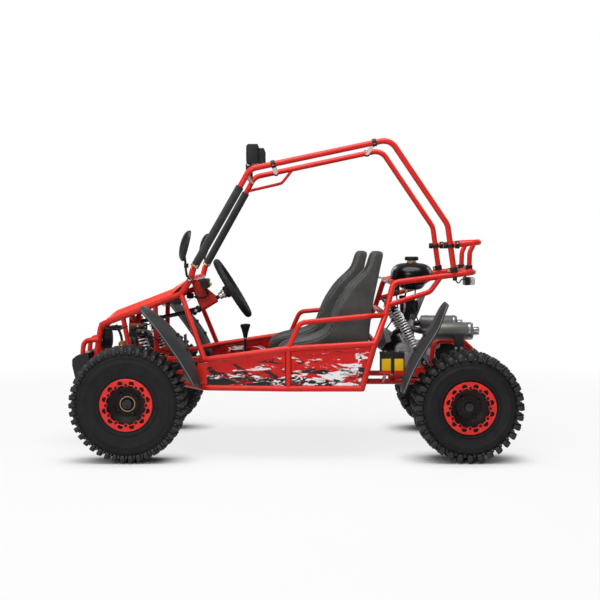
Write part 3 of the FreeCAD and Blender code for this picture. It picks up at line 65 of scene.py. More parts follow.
def spot(x: float, y: float, z: float) -> Vector:
    """Dataclass field that holds a point, in metres.

    Args:
        x: Place along the buggy, forward.
        y: Place across it, to its left.
        z: Height over the ground.

    Returns:
        The field, whose value is a new vector each time.
    """
    return field(default_factory=lambda: Vector((x, y, z)))


def sided(point: Vector, side: int) -> Vector:
    """The point on one side of the buggy, from its place on the left side.

    Args:
        point: The place on the left side.
        side: 1 for the left, -1 for the right.

    Returns:
        The point on that side.
    """
    return Vector((point.x, point.y * side, point.z))


# Finishes


def paint_colour(red: int, green: int, blue: int) -> Colour:
    """Linear colour of the 0 to 255 numbers that a colour picker shows.

    Args:
        red: Red share, 0 to 255.
        green: Green share, 0 to 255.
        blue: Blue share, 0 to 255.

    Returns:
        The three linear shares that a shader takes.
    """
    def linear(share: int) -> float:
        """Linear share of one channel."""
        value = share / 255
        return value / 12.92 if value <= 0.04045 else ((value + 0.055) / 1.055) ** 2.4
    return linear(red), linear(green), linear(blue)


class Board:
    """Node tree being wired, with short calls for nodes and links."""

    def __init__(self, tree: bpy.types.NodeTree) -> None:
        """Takes over a tree and empties it.

        Args:
            tree: The shader or geometry tree to fill.
        """
        self.tree = tree
        tree.nodes.clear()

    def node(self, kind: str, values: dict | None = None, **settings: object) -> bpy.types.Node:
        """Adds a node.

        Args:
            kind: The node's type name.
            values: Socket values by name or number; a socket given here is linked instead.
            settings: Properties of the node itself.

        Returns:
            The new node.
        """
        made = self.tree.nodes.new(kind)
        for key, value in settings.items():
            setattr(made, key, value)
        for key, value in (values or {}).items():
            if isinstance(value, bpy.types.NodeSocket):
                self.tree.links.new(value, made.inputs[key])
            else:
                made.inputs[key].default_value = value
        return made

    def link(self, start: bpy.types.NodeSocket, end: bpy.types.NodeSocket) -> None:
        """Joins two sockets.

        Args:
            start: Socket that gives the value.
            end: Socket that takes it.
        """
        self.tree.links.new(start, end)

    def maths(self, operation: str, *values: object) -> bpy.types.NodeSocket:
        """Result of a sum on numbers or sockets.

        Args:
            operation: The sum's name, such as MULTIPLY.
            values: Numbers or sockets, in order.

        Returns:
            The result's socket.
        """
        made = self.node("ShaderNodeMath", dict(enumerate(values)), operation=operation)
        return made.outputs[0]

    def mixed(self, share: object, first: Colour | object,
              second: Colour | object) -> bpy.types.NodeSocket:
        """Colour between two colours.

        Args:
            share: Number or socket, 0 for the first colour and 1 for the second.
            first: Colour or socket.
            second: Colour or socket.

        Returns:
            The mixed colour's socket.
        """
        made = self.node("ShaderNodeMix", data_type="RGBA")
        for index, value in ((0, share), (6, first), (7, second)):
            if isinstance(value, bpy.types.NodeSocket):
                self.link(value, made.inputs[index])
            else:
                made.inputs[index].default_value = value if index == 0 else (*value, 1)
        return made.outputs[2]


class Grain(Enum):
    """Fine relief that a finish carries."""

    SMOOTH = "smooth"
    PEEL = "peel"
    CAST = "cast"
    VINYL = "vinyl"
    RUBBER = "rubber"
    FOAM = "foam"
    BRUSHED = "brushed"
    TREAD_PLATE = "tread_plate"


@dataclass(frozen=True)
class Finish:
    """One surface finish: colour, gloss and relief.

    Attributes:
        name: The finish's name.
        colour: Main linear colour.
        other: Colour that the main one wanders towards in patches.
        metallic: 0 for paint and plastic, 1 for bare metal.
        roughness: Mean roughness.
        wander: How far the roughness wanders from its mean.
        coat: Clear coat weight.
        grain: Kind of fine relief.
        grain_size: Size of that relief in metres.
        relief: Strength of that relief.
        patch_size: Size of the colour patches in metres.
        glow: Strength of light that the surface gives.
        clear: Share of light that passes through.
        sheen: Soft edge sheen of cloth and foam.
        shine: Level of the plain surface reflection.
    """

    name: str
    colour: Colour
    other: Colour | None = None
    metallic: float = 0.0
    roughness: float = 0.5
    wander: float = 0.06
    coat: float = 0.0
    grain: Grain = Grain.SMOOTH
    grain_size: float = 0.002
    relief: float = 0.15
    patch_size: float = 0.12
    glow: float = 0.0
    clear: float = 0.0
    sheen: float = 0.0
    shine: float = 0.2

    def height(self, board: Board, place: bpy.types.NodeSocket) -> bpy.types.NodeSocket | None:
        """Height of the fine relief.

        Args:
            board: The shader tree.
            place: Object coordinates.

        Returns:
            The height's socket, or nothing for a smooth finish.
        """
        scale = 1 / self.grain_size
        if self.grain is Grain.SMOOTH:
            return None
        if self.grain in (Grain.VINYL, Grain.CAST):
            cells = board.node("ShaderNodeTexVoronoi", {"Vector": place, "Scale": scale},
                               feature="SMOOTH_F1")
            fine = board.node("ShaderNodeTexNoise",
                              {"Vector": place, "Scale": scale * 2.3, "Detail": 3.0})
            return board.maths("ADD", cells.outputs["Distance"], fine.outputs[0])
        if self.grain is Grain.BRUSHED:
            long = board.node("ShaderNodeMapping", {"Vector": place, "Scale": (1.0, 1.0, 0.06)})
            brushed = board.node("ShaderNodeTexNoise",
                                 {"Vector": long.outputs[0], "Scale": scale, "Detail": 2.0})
            return brushed.outputs[0]
        if self.grain is Grain.TREAD_PLATE:
            turned = board.node("ShaderNodeMapping",
                                {"Vector": place, "Rotation": (0, 0, math.radians(45))})
            bars = [board.node("ShaderNodeTexWave",
                               {"Vector": turned.outputs[0], "Scale": scale / 6.3},
                               bands_direction=way, wave_profile="SIN") for way in ("X", "Y")]
            both = board.maths("MULTIPLY", bars[0].outputs[1], bars[1].outputs[1])
            return board.maths("SMOOTH_MAX", both, 0.35, 0.1)
        noise = board.node("ShaderNodeTexNoise", {"Vector": place, "Scale": scale, "Detail": 4.0})
        return noise.outputs[0]

    def base(self, board: Board, place: bpy.types.NodeSocket) -> bpy.types.NodeSocket:
        """Colour over the surface.

        Args:
            board: The shader tree.
            place: Object coordinates.

        Returns:
            The colour's socket.
        """
        other = self.other or tuple(share * 0.82 for share in self.colour)
        patches = board.node("ShaderNodeTexNoise",
                             {"Vector": place, "Scale": 1 / self.patch_size, "Detail": 5.0,
                                                    "Roughness": 0.6})
        ramp = board.node("ShaderNodeValToRGB", {"Fac": patches.outputs[0]})
        ramp.color_ramp.elements[0].position = 0.36
        ramp.color_ramp.elements[1].position = 0.68
        return board.mixed(ramp.outputs["Color"], self.colour, other)

    def wire(self, board: Board) -> bpy.types.Node:
        """Wires the finish and returns its main shader.

        Args:
            board: The shader tree.

        Returns:
            The principled shader, linked to the output.
        """
        place = board.node("ShaderNodeTexCoord").outputs["Object"]
        shader = board.node("ShaderNodeBsdfPrincipled", {
            "Metallic": self.metallic, "Coat Weight": self.coat, "Coat Roughness": 0.06,
            "Sheen Weight": self.sheen, "Transmission Weight": self.clear,
            "Specular IOR Level": self.shine})
        board.link(self.base(board, place), shader.inputs["Base Color"])
        haze = board.node("ShaderNodeTexNoise",
                          {"Vector": place, "Scale": 1 / (self.patch_size * 0.4), "Detail": 6.0})
        rough = board.node("ShaderNodeMapRange", {
            "Value": haze.outputs[0], "From Min": 0.3, "From Max": 0.7,
            "To Min": max(0.02, self.roughness - self.wander),
            "To Max": min(1.0, self.roughness + self.wander)})
        board.link(rough.outputs[0], shader.inputs["Roughness"])
        height = self.height(board, place)
        if height is not None:
            bump = board.node("ShaderNodeBump",
                              {"Strength": self.relief, "Distance": self.grain_size * 0.5,
                                                 "Height": height})
            board.link(bump.outputs[0], shader.inputs["Normal"])
        if self.glow:
            shader.inputs["Emission Color"].default_value = (*self.colour, 1)
            shader.inputs["Emission Strength"].default_value = self.glow
        output = board.node("ShaderNodeOutputMaterial")
        board.link(shader.outputs[0], output.inputs["Surface"])
        return shader

    def material(self) -> bpy.types.Material:
        """The finish as a material, made once."""
        made = bpy.data.materials.get(self.name)
        if made is None:
            made = bpy.data.materials.new(self.name)
            made.use_nodes = True
            self.wire(Board(made.node_tree))
            made.diffuse_color = (*self.colour, 1)
        return made


@dataclass(frozen=True)
class SplashFinish(Finish):
    """Red panel paint with plain torn splashes of black and white along its lower edge.

    Attributes:
        low: Height at which the splashes are thickest.
        reach: How far up the splashes go.
    """

    low: float = 0.33
    reach: float = 0.11

    def base(self, board: Board, place: bpy.types.NodeSocket) -> bpy.types.NodeSocket:
        """Colour over the surface, with the splashes.

        Args:
            board: The shader tree.
            place: Object coordinates.

        Returns:
            The colour's socket.
        """
        red = super().base(board, place)
        parts = board.node("ShaderNodeSeparateXYZ", {0: place})
        height = board.node("ShaderNodeMapRange",
                            {"Value": parts.outputs["Z"], "From Min": self.low,
                                                   "From Max": self.low + self.reach})
        leaning = board.node("ShaderNodeMapping",
                             {"Vector": place, "Rotation": (0, math.radians(28), 0),
                                                   "Scale": (1.0, 1.0, 3.4)})
        torn = [board.node("ShaderNodeTexNoise",
                           {"Vector": leaning.outputs[0], "Scale": scale, "Detail": 7.0,
                                                  "Roughness": 0.66, "Distortion": 0.8})
                                                  for scale in (9.0, 14.0)]
        rear = board.node("ShaderNodeMapRange",
                          {"Value": parts.outputs["X"], "From Min": 0.06, "From Max": -0.04})
        colour = red
        for noise, paint, level, more in ((torn[0], WHITE_PAINT, 0.50, 0.06),
                                          (torn[1], BLACK_PAINT, 0.46, -0.03)):
            risen = board.maths("ADD", noise.outputs[0],
                                board.maths("MULTIPLY", rear.outputs[0], more))
            strength = board.maths("SUBTRACT", risen,
                                   board.maths("MULTIPLY", height.outputs[0], 0.16))
            edge = board.node("ShaderNodeMapRange",
                              {"Value": strength, "From Min": level, "From Max": level + 0.012})
            colour = board.mixed(edge.outputs[0], colour, paint)
        return colour


RED_PAINT = paint_colour(200, 18, 12)
WHITE_PAINT = paint_colour(232, 230, 230)
BLACK_PAINT = paint_colour(22, 22, 24)

FRAME_RED = Finish("frame_red", paint_colour(206, 38, 28), paint_colour(194, 30, 22),
                   roughness=0.36, coat=0.08, shine=0.22,
                   grain=Grain.PEEL, grain_size=0.004, relief=0.05)
# Hood: the bonnet's own orange-red, set lighter than the frame's red to stand for the top light
# that falls on it, so partly painted top light.
HOOD_RED_PAINTED_TOPLIGHT = Finish("hood_red_painted_toplight", paint_colour(226, 62, 40), paint_colour(218, 50, 32), roughness=0.42,
                  coat=0.1, shine=0.4, grain=Grain.PEEL, grain_size=0.005, relief=0.04)
PANEL_RED = SplashFinish("panel_red", RED_PAINT, paint_colour(196, 13, 10), roughness=0.30,
                         coat=0.2, grain=Grain.PEEL, grain_size=0.004, relief=0.03)
RING_RED = Finish("ring_red", paint_colour(226, 50, 44), paint_colour(214, 38, 34), roughness=0.34,
                  coat=0.2, grain=Grain.PEEL, grain_size=0.003, relief=0.04)
SATIN_BLACK = Finish("satin_black", paint_colour(24, 24, 25), paint_colour(32, 32, 33),
                     roughness=0.42, grain=Grain.PEEL, grain_size=0.003, relief=0.08)
GLOSS_BLACK = Finish("gloss_black", paint_colour(6, 6, 7), paint_colour(9, 9, 10), roughness=0.24,
                     coat=0.06, grain=Grain.PEEL, grain_size=0.006, relief=0.03)
DISH_BROWN = Finish("dish_dark", paint_colour(34, 22, 19), paint_colour(24, 16, 15), roughness=0.45,
                    grain=Grain.PEEL, grain_size=0.003, relief=0.08)
GUARD_GREY = Finish("guard_grey", paint_colour(50, 51, 52), paint_colour(42, 43, 44),
                    roughness=0.48, grain=Grain.VINYL, grain_size=0.0016, relief=0.16)
NOSE_GREY = Finish("nose_grey", paint_colour(40, 41, 43), paint_colour(33, 34, 36), roughness=0.45,
                   grain=Grain.VINYL, grain_size=0.002, relief=0.16)
TYRE_BLACK = Finish("tyre_rubber", paint_colour(30, 30, 31), paint_colour(22, 22, 23),
                    roughness=0.66,
                    grain=Grain.RUBBER, grain_size=0.0016, relief=0.25, patch_size=0.05)
KNOB_BLACK = Finish("knob_rubber", paint_colour(28, 28, 29), paint_colour(40, 40, 41),
                    roughness=0.55, shine=0.4,
                    grain=Grain.RUBBER, grain_size=0.0014, relief=0.3, patch_size=0.02)
GRIP_BLACK = Finish("grip_rubber", paint_colour(30, 30, 31), paint_colour(22, 22, 23),
                    roughness=0.6,
                    grain=Grain.VINYL, grain_size=0.0015, relief=0.35, patch_size=0.03)
FOAM_GREY = Finish("pillar_foam", paint_colour(50, 50, 50), paint_colour(36, 36, 37), roughness=0.9,
                   grain=Grain.FOAM, grain_size=0.0022, relief=0.55, patch_size=0.03, sheen=0.2)
SEAT_VINYL = Finish("seat_vinyl", paint_colour(58, 58, 60), paint_colour(46, 46, 48), roughness=0.5,
                    grain=Grain.VINYL, grain_size=0.0022, relief=0.32, patch_size=0.08)
SEAT_SIDE = Finish("seat_side_vinyl", paint_colour(80, 80, 79), paint_colour(66, 66, 65),
                   roughness=0.5, grain=Grain.VINYL, grain_size=0.002, relief=0.3, patch_size=0.08)
STITCH_GREY = Finish("seat_thread", paint_colour(120, 120, 122), roughness=0.8, grain=Grain.BRUSHED,
                     grain_size=0.0006, relief=0.4)
STEEL = Finish("bright_steel", paint_colour(196, 198, 202), paint_colour(160, 162, 168),
               metallic=1.0, roughness=0.28, grain=Grain.BRUSHED, grain_size=0.0008, relief=0.08)
SPRING_WHITE = Finish("spring_silver", paint_colour(232, 233, 234), paint_colour(214, 216, 218),
                      metallic=0.2,
                      roughness=0.3, coat=0.4, grain=Grain.PEEL, grain_size=0.002, relief=0.05)
CAST_METAL = Finish("cast_alloy", paint_colour(186, 187, 188), paint_colour(150, 152, 154),
                    metallic=0.55, shine=0.5,
                    roughness=0.5, grain=Grain.CAST, grain_size=0.0014, relief=0.3, patch_size=0.03)
SILENCER_GREY = Finish("silencer_grey", paint_colour(116, 116, 111), paint_colour(98, 98, 94),
                       roughness=0.42,
                       metallic=0.4, grain=Grain.PEEL, grain_size=0.003, relief=0.06, shine=0.4)
DARK_STEEL = Finish("dark_steel", paint_colour(66, 66, 68), paint_colour(48, 48, 50), metallic=0.8,
                    roughness=0.42, grain=Grain.CAST, grain_size=0.0016, relief=0.2,
                    patch_size=0.03)
ZINC_GOLD = Finish("yellow_zinc", paint_colour(206, 174, 110), paint_colour(196, 160, 140),
                   metallic=0.9,
                   roughness=0.34, grain=Grain.PEEL, grain_size=0.002, relief=0.08, patch_size=0.01)
BRIGHT_ZINC = Finish("bright_zinc", paint_colour(206, 200, 196), paint_colour(188, 178, 172),
                     metallic=0.9, roughness=0.34, grain=Grain.PEEL, grain_size=0.002, relief=0.08,
                     patch_size=0.01)
CHAIN_STEEL = Finish("chain_steel", paint_colour(96, 92, 86), paint_colour(60, 57, 54),
                     metallic=0.9,
                     roughness=0.4, grain=Grain.CAST, grain_size=0.001, relief=0.2, patch_size=0.01)
YELLOW_LABEL = Finish("battery_yellow", paint_colour(240, 196, 20), paint_colour(228, 180, 16),
                      roughness=0.4, grain=Grain.PEEL, grain_size=0.003, relief=0.03)
FLOOR_BLACK = Finish("floor_plate", paint_colour(34, 34, 35), paint_colour(46, 46, 47),
                     roughness=0.46,
                     metallic=0.3, grain=Grain.TREAD_PLATE, grain_size=0.03, relief=0.5)
LAMP_WHITE = Finish("lamp_lens", paint_colour(236, 238, 240), paint_colour(220, 222, 224),
                    roughness=0.12,
                    coat=0.8, clear=0.35, grain=Grain.BRUSHED, grain_size=0.003, relief=0.2)
LAMP_RED = Finish("lamp_red", paint_colour(150, 10, 12), paint_colour(120, 6, 8), roughness=0.12,
                  coat=0.8, grain=Grain.BRUSHED, grain_size=0.003, relief=0.2)
LAMP_CHIP = Finish("lamp_chip", paint_colour(238, 226, 150), paint_colour(226, 210, 130),
                   roughness=0.3, grain=Grain.PEEL, grain_size=0.001, relief=0.1)
MIRROR_GLASS = Finish("mirror_glass", paint_colour(226, 230, 234), paint_colour(216, 220, 224),
                      metallic=1.0,
                      roughness=0.04, wander=0.02, grain=Grain.PEEL, grain_size=0.03, relief=0.01)
HOSE_BLACK = Finish("hose_rubber", paint_colour(24, 24, 25), paint_colour(34, 34, 35),
                    roughness=0.5, grain=Grain.RUBBER, grain_size=0.001, relief=0.2)
SWITCH_TEAL = Finish("switch_teal", paint_colour(40, 120, 126), paint_colour(30, 100, 108),
                     roughness=0.4, grain=Grain.PEEL, grain_size=0.002, relief=0.06)
# Pale grey of the pipes along the mudguards' edges: a painted edge highlight.
PAINTED_EDGE_HIGHLIGHT = Finish("painted_edge_highlight", paint_colour(120, 121, 122), paint_colour(98, 99, 100),
                   roughness=0.5, grain=Grain.VINYL, grain_size=0.0012, relief=0.1)
BROWN_STEM = Finish("brown_plastic", paint_colour(92, 52, 36), paint_colour(70, 40, 28),
                    roughness=0.5, grain=Grain.PEEL, grain_size=0.002, relief=0.08)
AMBER = Finish("brass_horn", paint_colour(214, 164, 84), paint_colour(190, 138, 66), metallic=0.9,
               roughness=0.3, grain=Grain.PEEL, grain_size=0.002, relief=0.06)


# Forms


def frame_at(origin: Vector, axis: Vector, up: Vector | None = None) -> Matrix:
    """Place whose local Z runs along an axis.

    Args:
        origin: Where the local origin goes.
        axis: Direction of the local Z.
        up: Rough direction of the local X.

    Returns:
        The placing matrix.
    """
    z = axis.normalized()
    x = up or (X_AXIS if abs(z.x) < 0.9 else Y_AXIS)
    y = z.cross(x).normalized()
    x = y.cross(z).normalized()
    turned = Matrix((x, y, z)).transposed().to_4x4()
    return Matrix.Translation(origin) @ turned


def ring_of(radius: float, height: float, count: int) -> list[Vector]:
    """Points of a level circle round the Z axis.

    Args:
        radius: Its radius.
        height: Its height.
        count: How many points.

    Returns:
        The points.
    """
    return [Vector((radius * math.cos(t), radius * math.sin(t), height))
            for t in (2 * math.pi * i / count for i in range(count))]


def skin(rings: Sequence[Sequence[Vector]], caps: bool = True, closed: bool = True,
         looped: bool = False) -> bmesh.types.BMesh:
    """Surface over rings of points.

    Args:
        rings: Rings with equal counts of points.
        caps: Whether the first and last rings are filled.
        closed: Whether each ring closes on itself.
        looped: Whether the last ring joins the first.

    Returns:
        The surface.
    """
    form = bmesh.new()
    rows = [[form.verts.new(point) for point in ring] for ring in rings]
    count = len(rows[0])
    pairs = list(zip(rows, rows[1:])) + ([(rows[-1], rows[0])] if looped else [])
    for low, high in pairs:
        for i in range(count if closed else count - 1):
            j = (i + 1) % count
            corners = [low[i], low[j], high[j], high[i]]
            form.faces.new(corners)
    if caps and not looped:
        form.faces.new(list(reversed(rows[0])))
        form.faces.new(rows[-1])
    bmesh.ops.remove_doubles(form, verts=form.verts, dist=1e-6)
    bmesh.ops.recalc_face_normals(form, faces=form.faces)
    return form


def turned(profile: Sequence[Point2], count: int = 48, closed: bool = False) -> bmesh.types.BMesh:
    """Form turned round the Z axis.

    Args:
        profile: Radius and height of each point, in order.
        count: Points round the circle.
        closed: Whether the profile closes on itself, as for a hollow ring.

    Returns:
        The turned form.
    """
    rings = [ring_of(max(radius, 1e-7), height, count) for radius, height in profile]
    return skin(rings, caps=not closed, looped=closed)


def piped(path: Sequence[Vector], radius: float | Sequence[float], sides: int = 12,
          caps: bool = True) -> bmesh.types.BMesh:
    """Round bar along points.

    Args:
        path: Points of the centre line.
        radius: Radius, or one for each point.
        sides: Points round the bar.
        caps: Whether the ends are filled.

    Returns:
        The bar.
    """
    radii = [radius] * len(path) if isinstance(radius, (int, float)) else list(radius)
    side = (path[1] - path[0]).orthogonal().normalized()
    rings = []
    for i, point in enumerate(path):
        before = path[max(i - 1, 0)]
        after = path[min(i + 1, len(path) - 1)]
        run = (after - before).normalized()
        side = (side - run * side.dot(run)).normalized()
        other = run.cross(side)
        rings.append([point + radii[i] * (side * math.cos(t) + other * math.sin(t))
                      for t in (2 * math.pi * k / sides for k in range(sides))])
    return skin(rings, caps)


def rounded(points: Sequence[Vector], radius: float, steps: int = 5) -> list[Vector]:
    """Path with its corners rounded.

    Args:
        points: Corners of the path.
        radius: How far from a corner the rounding starts.
        steps: Points in each rounded corner.

    Returns:
        The rounded path.
    """
    path = [points[0]]
    for before, corner, after in zip(points, points[1:], points[2:]):
        start = corner + (before - corner).normalized() * min(radius,
                                                              (before - corner).length * 0.48)
        end = corner + (after - corner).normalized() * min(radius, (after - corner).length * 0.48)
        for i in range(steps + 1):
            t = i / steps
            path.append(start * (1 - t) ** 2 + corner * 2 * t * (1 - t) + end * t * t)
    return path + [points[-1]]


def block(size: Sequence[float], bevel: float = 0.0015, segments: int = 2,
          taper: float = 1.0) -> bmesh.types.BMesh:
    """Block round the origin with rounded edges.

    Args:
        size: Its three lengths.
        bevel: Width of the rounded edges.
        segments: Facets across each rounded edge.
        taper: Size of its top as a share of its foot.

    Returns:
        The block.
    """
    form = bmesh.new()
    bmesh.ops.create_cube(form, size=1)
    for vert in form.verts:
        share = taper if vert.co.z > 0 else 1.0
        vert.co = Vector((vert.co.x * size[0] * share, vert.co.y * size[1] * share,
                          vert.co.z * size[2]))
    if bevel:
        bmesh.ops.bevel(form, geom=list(form.edges), offset=bevel, segments=segments, profile=0.6,
                        affect="EDGES")
    return form


def plate(outline: Sequence[Point2], depth: float, bevel: float = 0.0008,
          holes: Iterable[Sequence[Point2]] = ()) -> bmesh.types.BMesh:
    """Flat plate in XY with rounded edges, from z = 0 up.

    Args:
        outline: Corners of its edge.
        depth: Its thickness.
        bevel: Width of the rounded edges.
        holes: Outlines of the holes through it.

    Returns:
        The plate.
    """
    curve = bpy.data.curves.new("plate", "CURVE")
    curve.dimensions = "2D"
    curve.fill_mode = "BOTH"
    curve.extrude = depth / 2 - bevel
    curve.bevel_depth = bevel
    curve.bevel_resolution = 1
    curve.offset = -bevel
    for loop in (outline, *holes):
        spline = curve.splines.new("POLY")
        spline.points.add(len(loop) - 1)
        for point, (x, y) in zip(spline.points, loop):
            point.co = (x, y, 0, 1)
        spline.use_cyclic_u = True
    holder = bpy.data.objects.new("plate", curve)
    bpy.context.scene.collection.objects.link(holder)
    depsgraph = bpy.context.evaluated_depsgraph_get()
    mesh = bpy.data.meshes.new_from_object(holder.evaluated_get(depsgraph), depsgraph=depsgraph)
    form = bmesh.new()
    form.from_mesh(mesh)
    bpy.data.objects.remove(holder)
    bpy.data.curves.remove(curve)
    bpy.data.meshes.remove(mesh)
    bmesh.ops.remove_doubles(form, verts=form.verts, dist=1e-6)
    bmesh.ops.translate(form, verts=form.verts, vec=(0, 0, depth / 2))
    bmesh.ops.recalc_face_normals(form, faces=form.faces)
    return form


def oval(width: float, height: float, count: int = 48, power: float = 2.0) -> list[Point2]:
    """Closed oval, squarer as its power rises.

    Args:
        width: Full width.
        height: Full height.
        count: Points round it.
        power: 2 for an ellipse, more for squarer corners.

    Returns:
        The oval's points.
    """
    points = []
    for i in range(count):
        t = 2 * math.pi * i / count
        c, s = math.cos(t), math.sin(t)
        points.append((width / 2 * math.copysign(abs(c) ** (2 / power), c),
                       height / 2 * math.copysign(abs(s) ** (2 / power), s)))
    return points


def circle(middle: Point2, radius: float, count: int) -> list[Point2]:
    """Points of a circle in a plane.

    Args:
        middle: Its middle.
        radius: Its radius.
        count: How many points.

    Returns:
        The points.
    """
    turns = [2 * math.pi * i / count for i in range(count)]
    return [(middle[0] + radius * math.cos(turn), middle[1] + radius * math.sin(turn))
            for turn in turns]


def nut(across: float, height: float) -> bmesh.types.BMesh:
    """Six-sided nut or bolt head with a chamfered top, from z = 0 up.

    Args:
        across: Width across its flats.
        height: Its height.

    Returns:
        The form.
    """
    corner = across / math.sqrt(3)
    rings = [ring_of(corner, 0, 6), ring_of(corner, height * 0.8, 6),
             ring_of(corner * 0.86, height, 6)]
    return skin(rings)


def washer_bolt(across: float, height: float) -> bmesh.types.BMesh:
    """Bolt head on a round washer, from z = 0 up.

    Args:
        across: Width of the head across its flats.
        height: Its height.

    Returns:
        The form.
    """
    form = turned([(0, 0), (across * 0.85, 0), (across * 0.85, height * 0.25), (0, height * 0.25)],
                  20)
    head = nut(across, height)
    return merged([form, head])


def merged(forms: Iterable[bmesh.types.BMesh]) -> bmesh.types.BMesh:
    """One form from several, which are used up.

    Args:
        forms: The forms.

    Returns:
        All of them in one.
    """
    whole = bmesh.new()
    for form in forms:
        mesh = bpy.data.meshes.new("part")
        form.to_mesh(mesh)
        form.free()
        whole.from_mesh(mesh)
        bpy.data.meshes.remove(mesh)
    return whole


def placed(form: bmesh.types.BMesh, place: Matrix) -> bmesh.types.BMesh:
    """The form, moved to a place.

    Args:
        form: The form, which is changed.
        place: Where it goes.

    Returns:
        The same form.
    """
    form.transform(place)
    if place.determinant() < 0:
        bmesh.ops.reverse_faces(form, faces=form.faces)
    return form


# Patterns made by geometry nodes


class Pattern:
    """Geometry node trees that repeat a form, coil a wire or hang links on a path."""

    @staticmethod
    def socketed(name: str, inputs: Sequence[tuple[str, str]]) -> tuple[bpy.types.NodeTree, Board]:
        """New geometry tree with named inputs.

        Args:
            name: The tree's name.
            inputs: Name and socket type of each input after the geometry.

        Returns:
            The tree and its board.
        """
        tree = bpy.data.node_groups.new(name, "GeometryNodeTree")
        tree.interface.new_socket("Geometry", in_out="INPUT", socket_type="NodeSocketGeometry")
        for label, kind in inputs:
            tree.interface.new_socket(label, in_out="INPUT", socket_type=kind)
        tree.interface.new_socket("Geometry", in_out="OUTPUT", socket_type="NodeSocketGeometry")
        return tree, Board(tree)

    @staticmethod
    def close(board: Board, start: bpy.types.NodeSocket, material: bpy.types.NodeSocket) -> None:
        """Ends a tree in plain geometry with its material.

        Args:
            board: The tree's board.
            start: The geometry so far.
            material: The material input's socket.
        """
        real = board.node("GeometryNodeRealizeInstances", {"Geometry": start})
        dressed = board.node("GeometryNodeSetMaterial",
                             {"Geometry": real.outputs[0], "Material": material})
        out = board.node("NodeGroupOutput")
        board.link(dressed.outputs[0], out.inputs[0])

    @classmethod
    def repeat_tree(cls) -> bpy.types.NodeTree:
        """Tree that repeats a form with a turn about Z and a shift for each copy.

        Returns:
            The tree, made once.
        """
        made = bpy.data.node_groups.get("repeat_form")
        if made:
            return made
        tree, board = cls.socketed("repeat_form", [
            ("Count", "NodeSocketInt"), ("Turn", "NodeSocketFloat"), ("Shift", "NodeSocketVector"),
            ("Material", "NodeSocketMaterial")])
        given = board.node("NodeGroupInput")
        single = board.node("GeometryNodeGeometryToInstance", {0: given.outputs["Geometry"]})
        copies = board.node("GeometryNodeDuplicateElements", {
            "Geometry": single.outputs[0], "Amount": given.outputs["Count"]}, domain="INSTANCE")
        index = copies.outputs["Duplicate Index"]
        shift = board.node("ShaderNodeVectorMath", {0: given.outputs["Shift"]}, operation="SCALE")
        board.link(index, shift.inputs["Scale"])
        moved = board.node("GeometryNodeTranslateInstances", {
            "Instances": copies.outputs["Geometry"], "Translation": shift.outputs[0],
            "Local Space": False})
        turn = board.maths("MULTIPLY", index, given.outputs["Turn"])
        axis = board.node("ShaderNodeCombineXYZ", {"Z": turn})
        spun = board.node("GeometryNodeRotateInstances", {
            "Instances": moved.outputs[0], "Rotation": axis.outputs[0], "Local Space": False})
        cls.close(board, spun.outputs[0], given.outputs["Material"])
        return tree

    @classmethod
    def coil_tree(cls) -> bpy.types.NodeTree:
        """Tree that coils a round wire up the Z axis.

        Returns:
            The tree, made once.
        """
        made = bpy.data.node_groups.get("coil_wire")
        if made:
            return made
        tree, board = cls.socketed("coil_wire", [
            ("Turns", "NodeSocketFloat"), ("Radius", "NodeSocketFloat"),
            ("Height", "NodeSocketFloat"),
            ("Wire", "NodeSocketFloat"), ("Material", "NodeSocketMaterial")])
        given = board.node("NodeGroupInput")
        spiral = board.node("GeometryNodeCurveSpiral", {
            "Resolution": 20, "Rotations": given.outputs["Turns"],
            "Start Radius": given.outputs["Radius"],
            "End Radius": given.outputs["Radius"], "Height": given.outputs["Height"]})
        section = board.node("GeometryNodeCurvePrimitiveCircle",
                             {"Resolution": 10, "Radius": given.outputs["Wire"]})
        wire = board.node("GeometryNodeCurveToMesh", {
            "Curve": spiral.outputs[0], "Profile Curve": section.outputs[0], "Fill Caps": True})
        cls.close(board, wire.outputs[0], given.outputs["Material"])
        return tree

    @classmethod
    def links_tree(cls) -> bpy.types.NodeTree:
        """Tree that sets links along a closed path that lies in a plane square to Y.

        Returns:
            The tree, made once.
        """
        made = bpy.data.node_groups.get("chain_links")
        if made:
            return made
        tree, board = cls.socketed("chain_links", [
            ("Count", "NodeSocketInt"), ("Link", "NodeSocketObject"),
            ("Material", "NodeSocketMaterial")])
        given = board.node("NodeGroupInput")
        line = board.node("GeometryNodeMeshToCurve", {0: given.outputs["Geometry"]})
        points = board.node("GeometryNodeResampleCurve",
                            {"Curve": line.outputs[0], "Count": given.outputs["Count"]})
        tangent = board.node("GeometryNodeInputTangent")
        lined = board.node("FunctionNodeAlignRotationToVector", {"Vector": tangent.outputs[0]},
                           axis="X", pivot_axis="Y")
        link = board.node("GeometryNodeObjectInfo", {"Object": given.outputs["Link"]})
        hung = board.node("GeometryNodeInstanceOnPoints", {
            "Points": points.outputs[0], "Instance": link.outputs["Geometry"],
            "Rotation": lined.outputs[0]})
        cls.close(board, hung.outputs[0], given.outputs["Material"])
        return tree

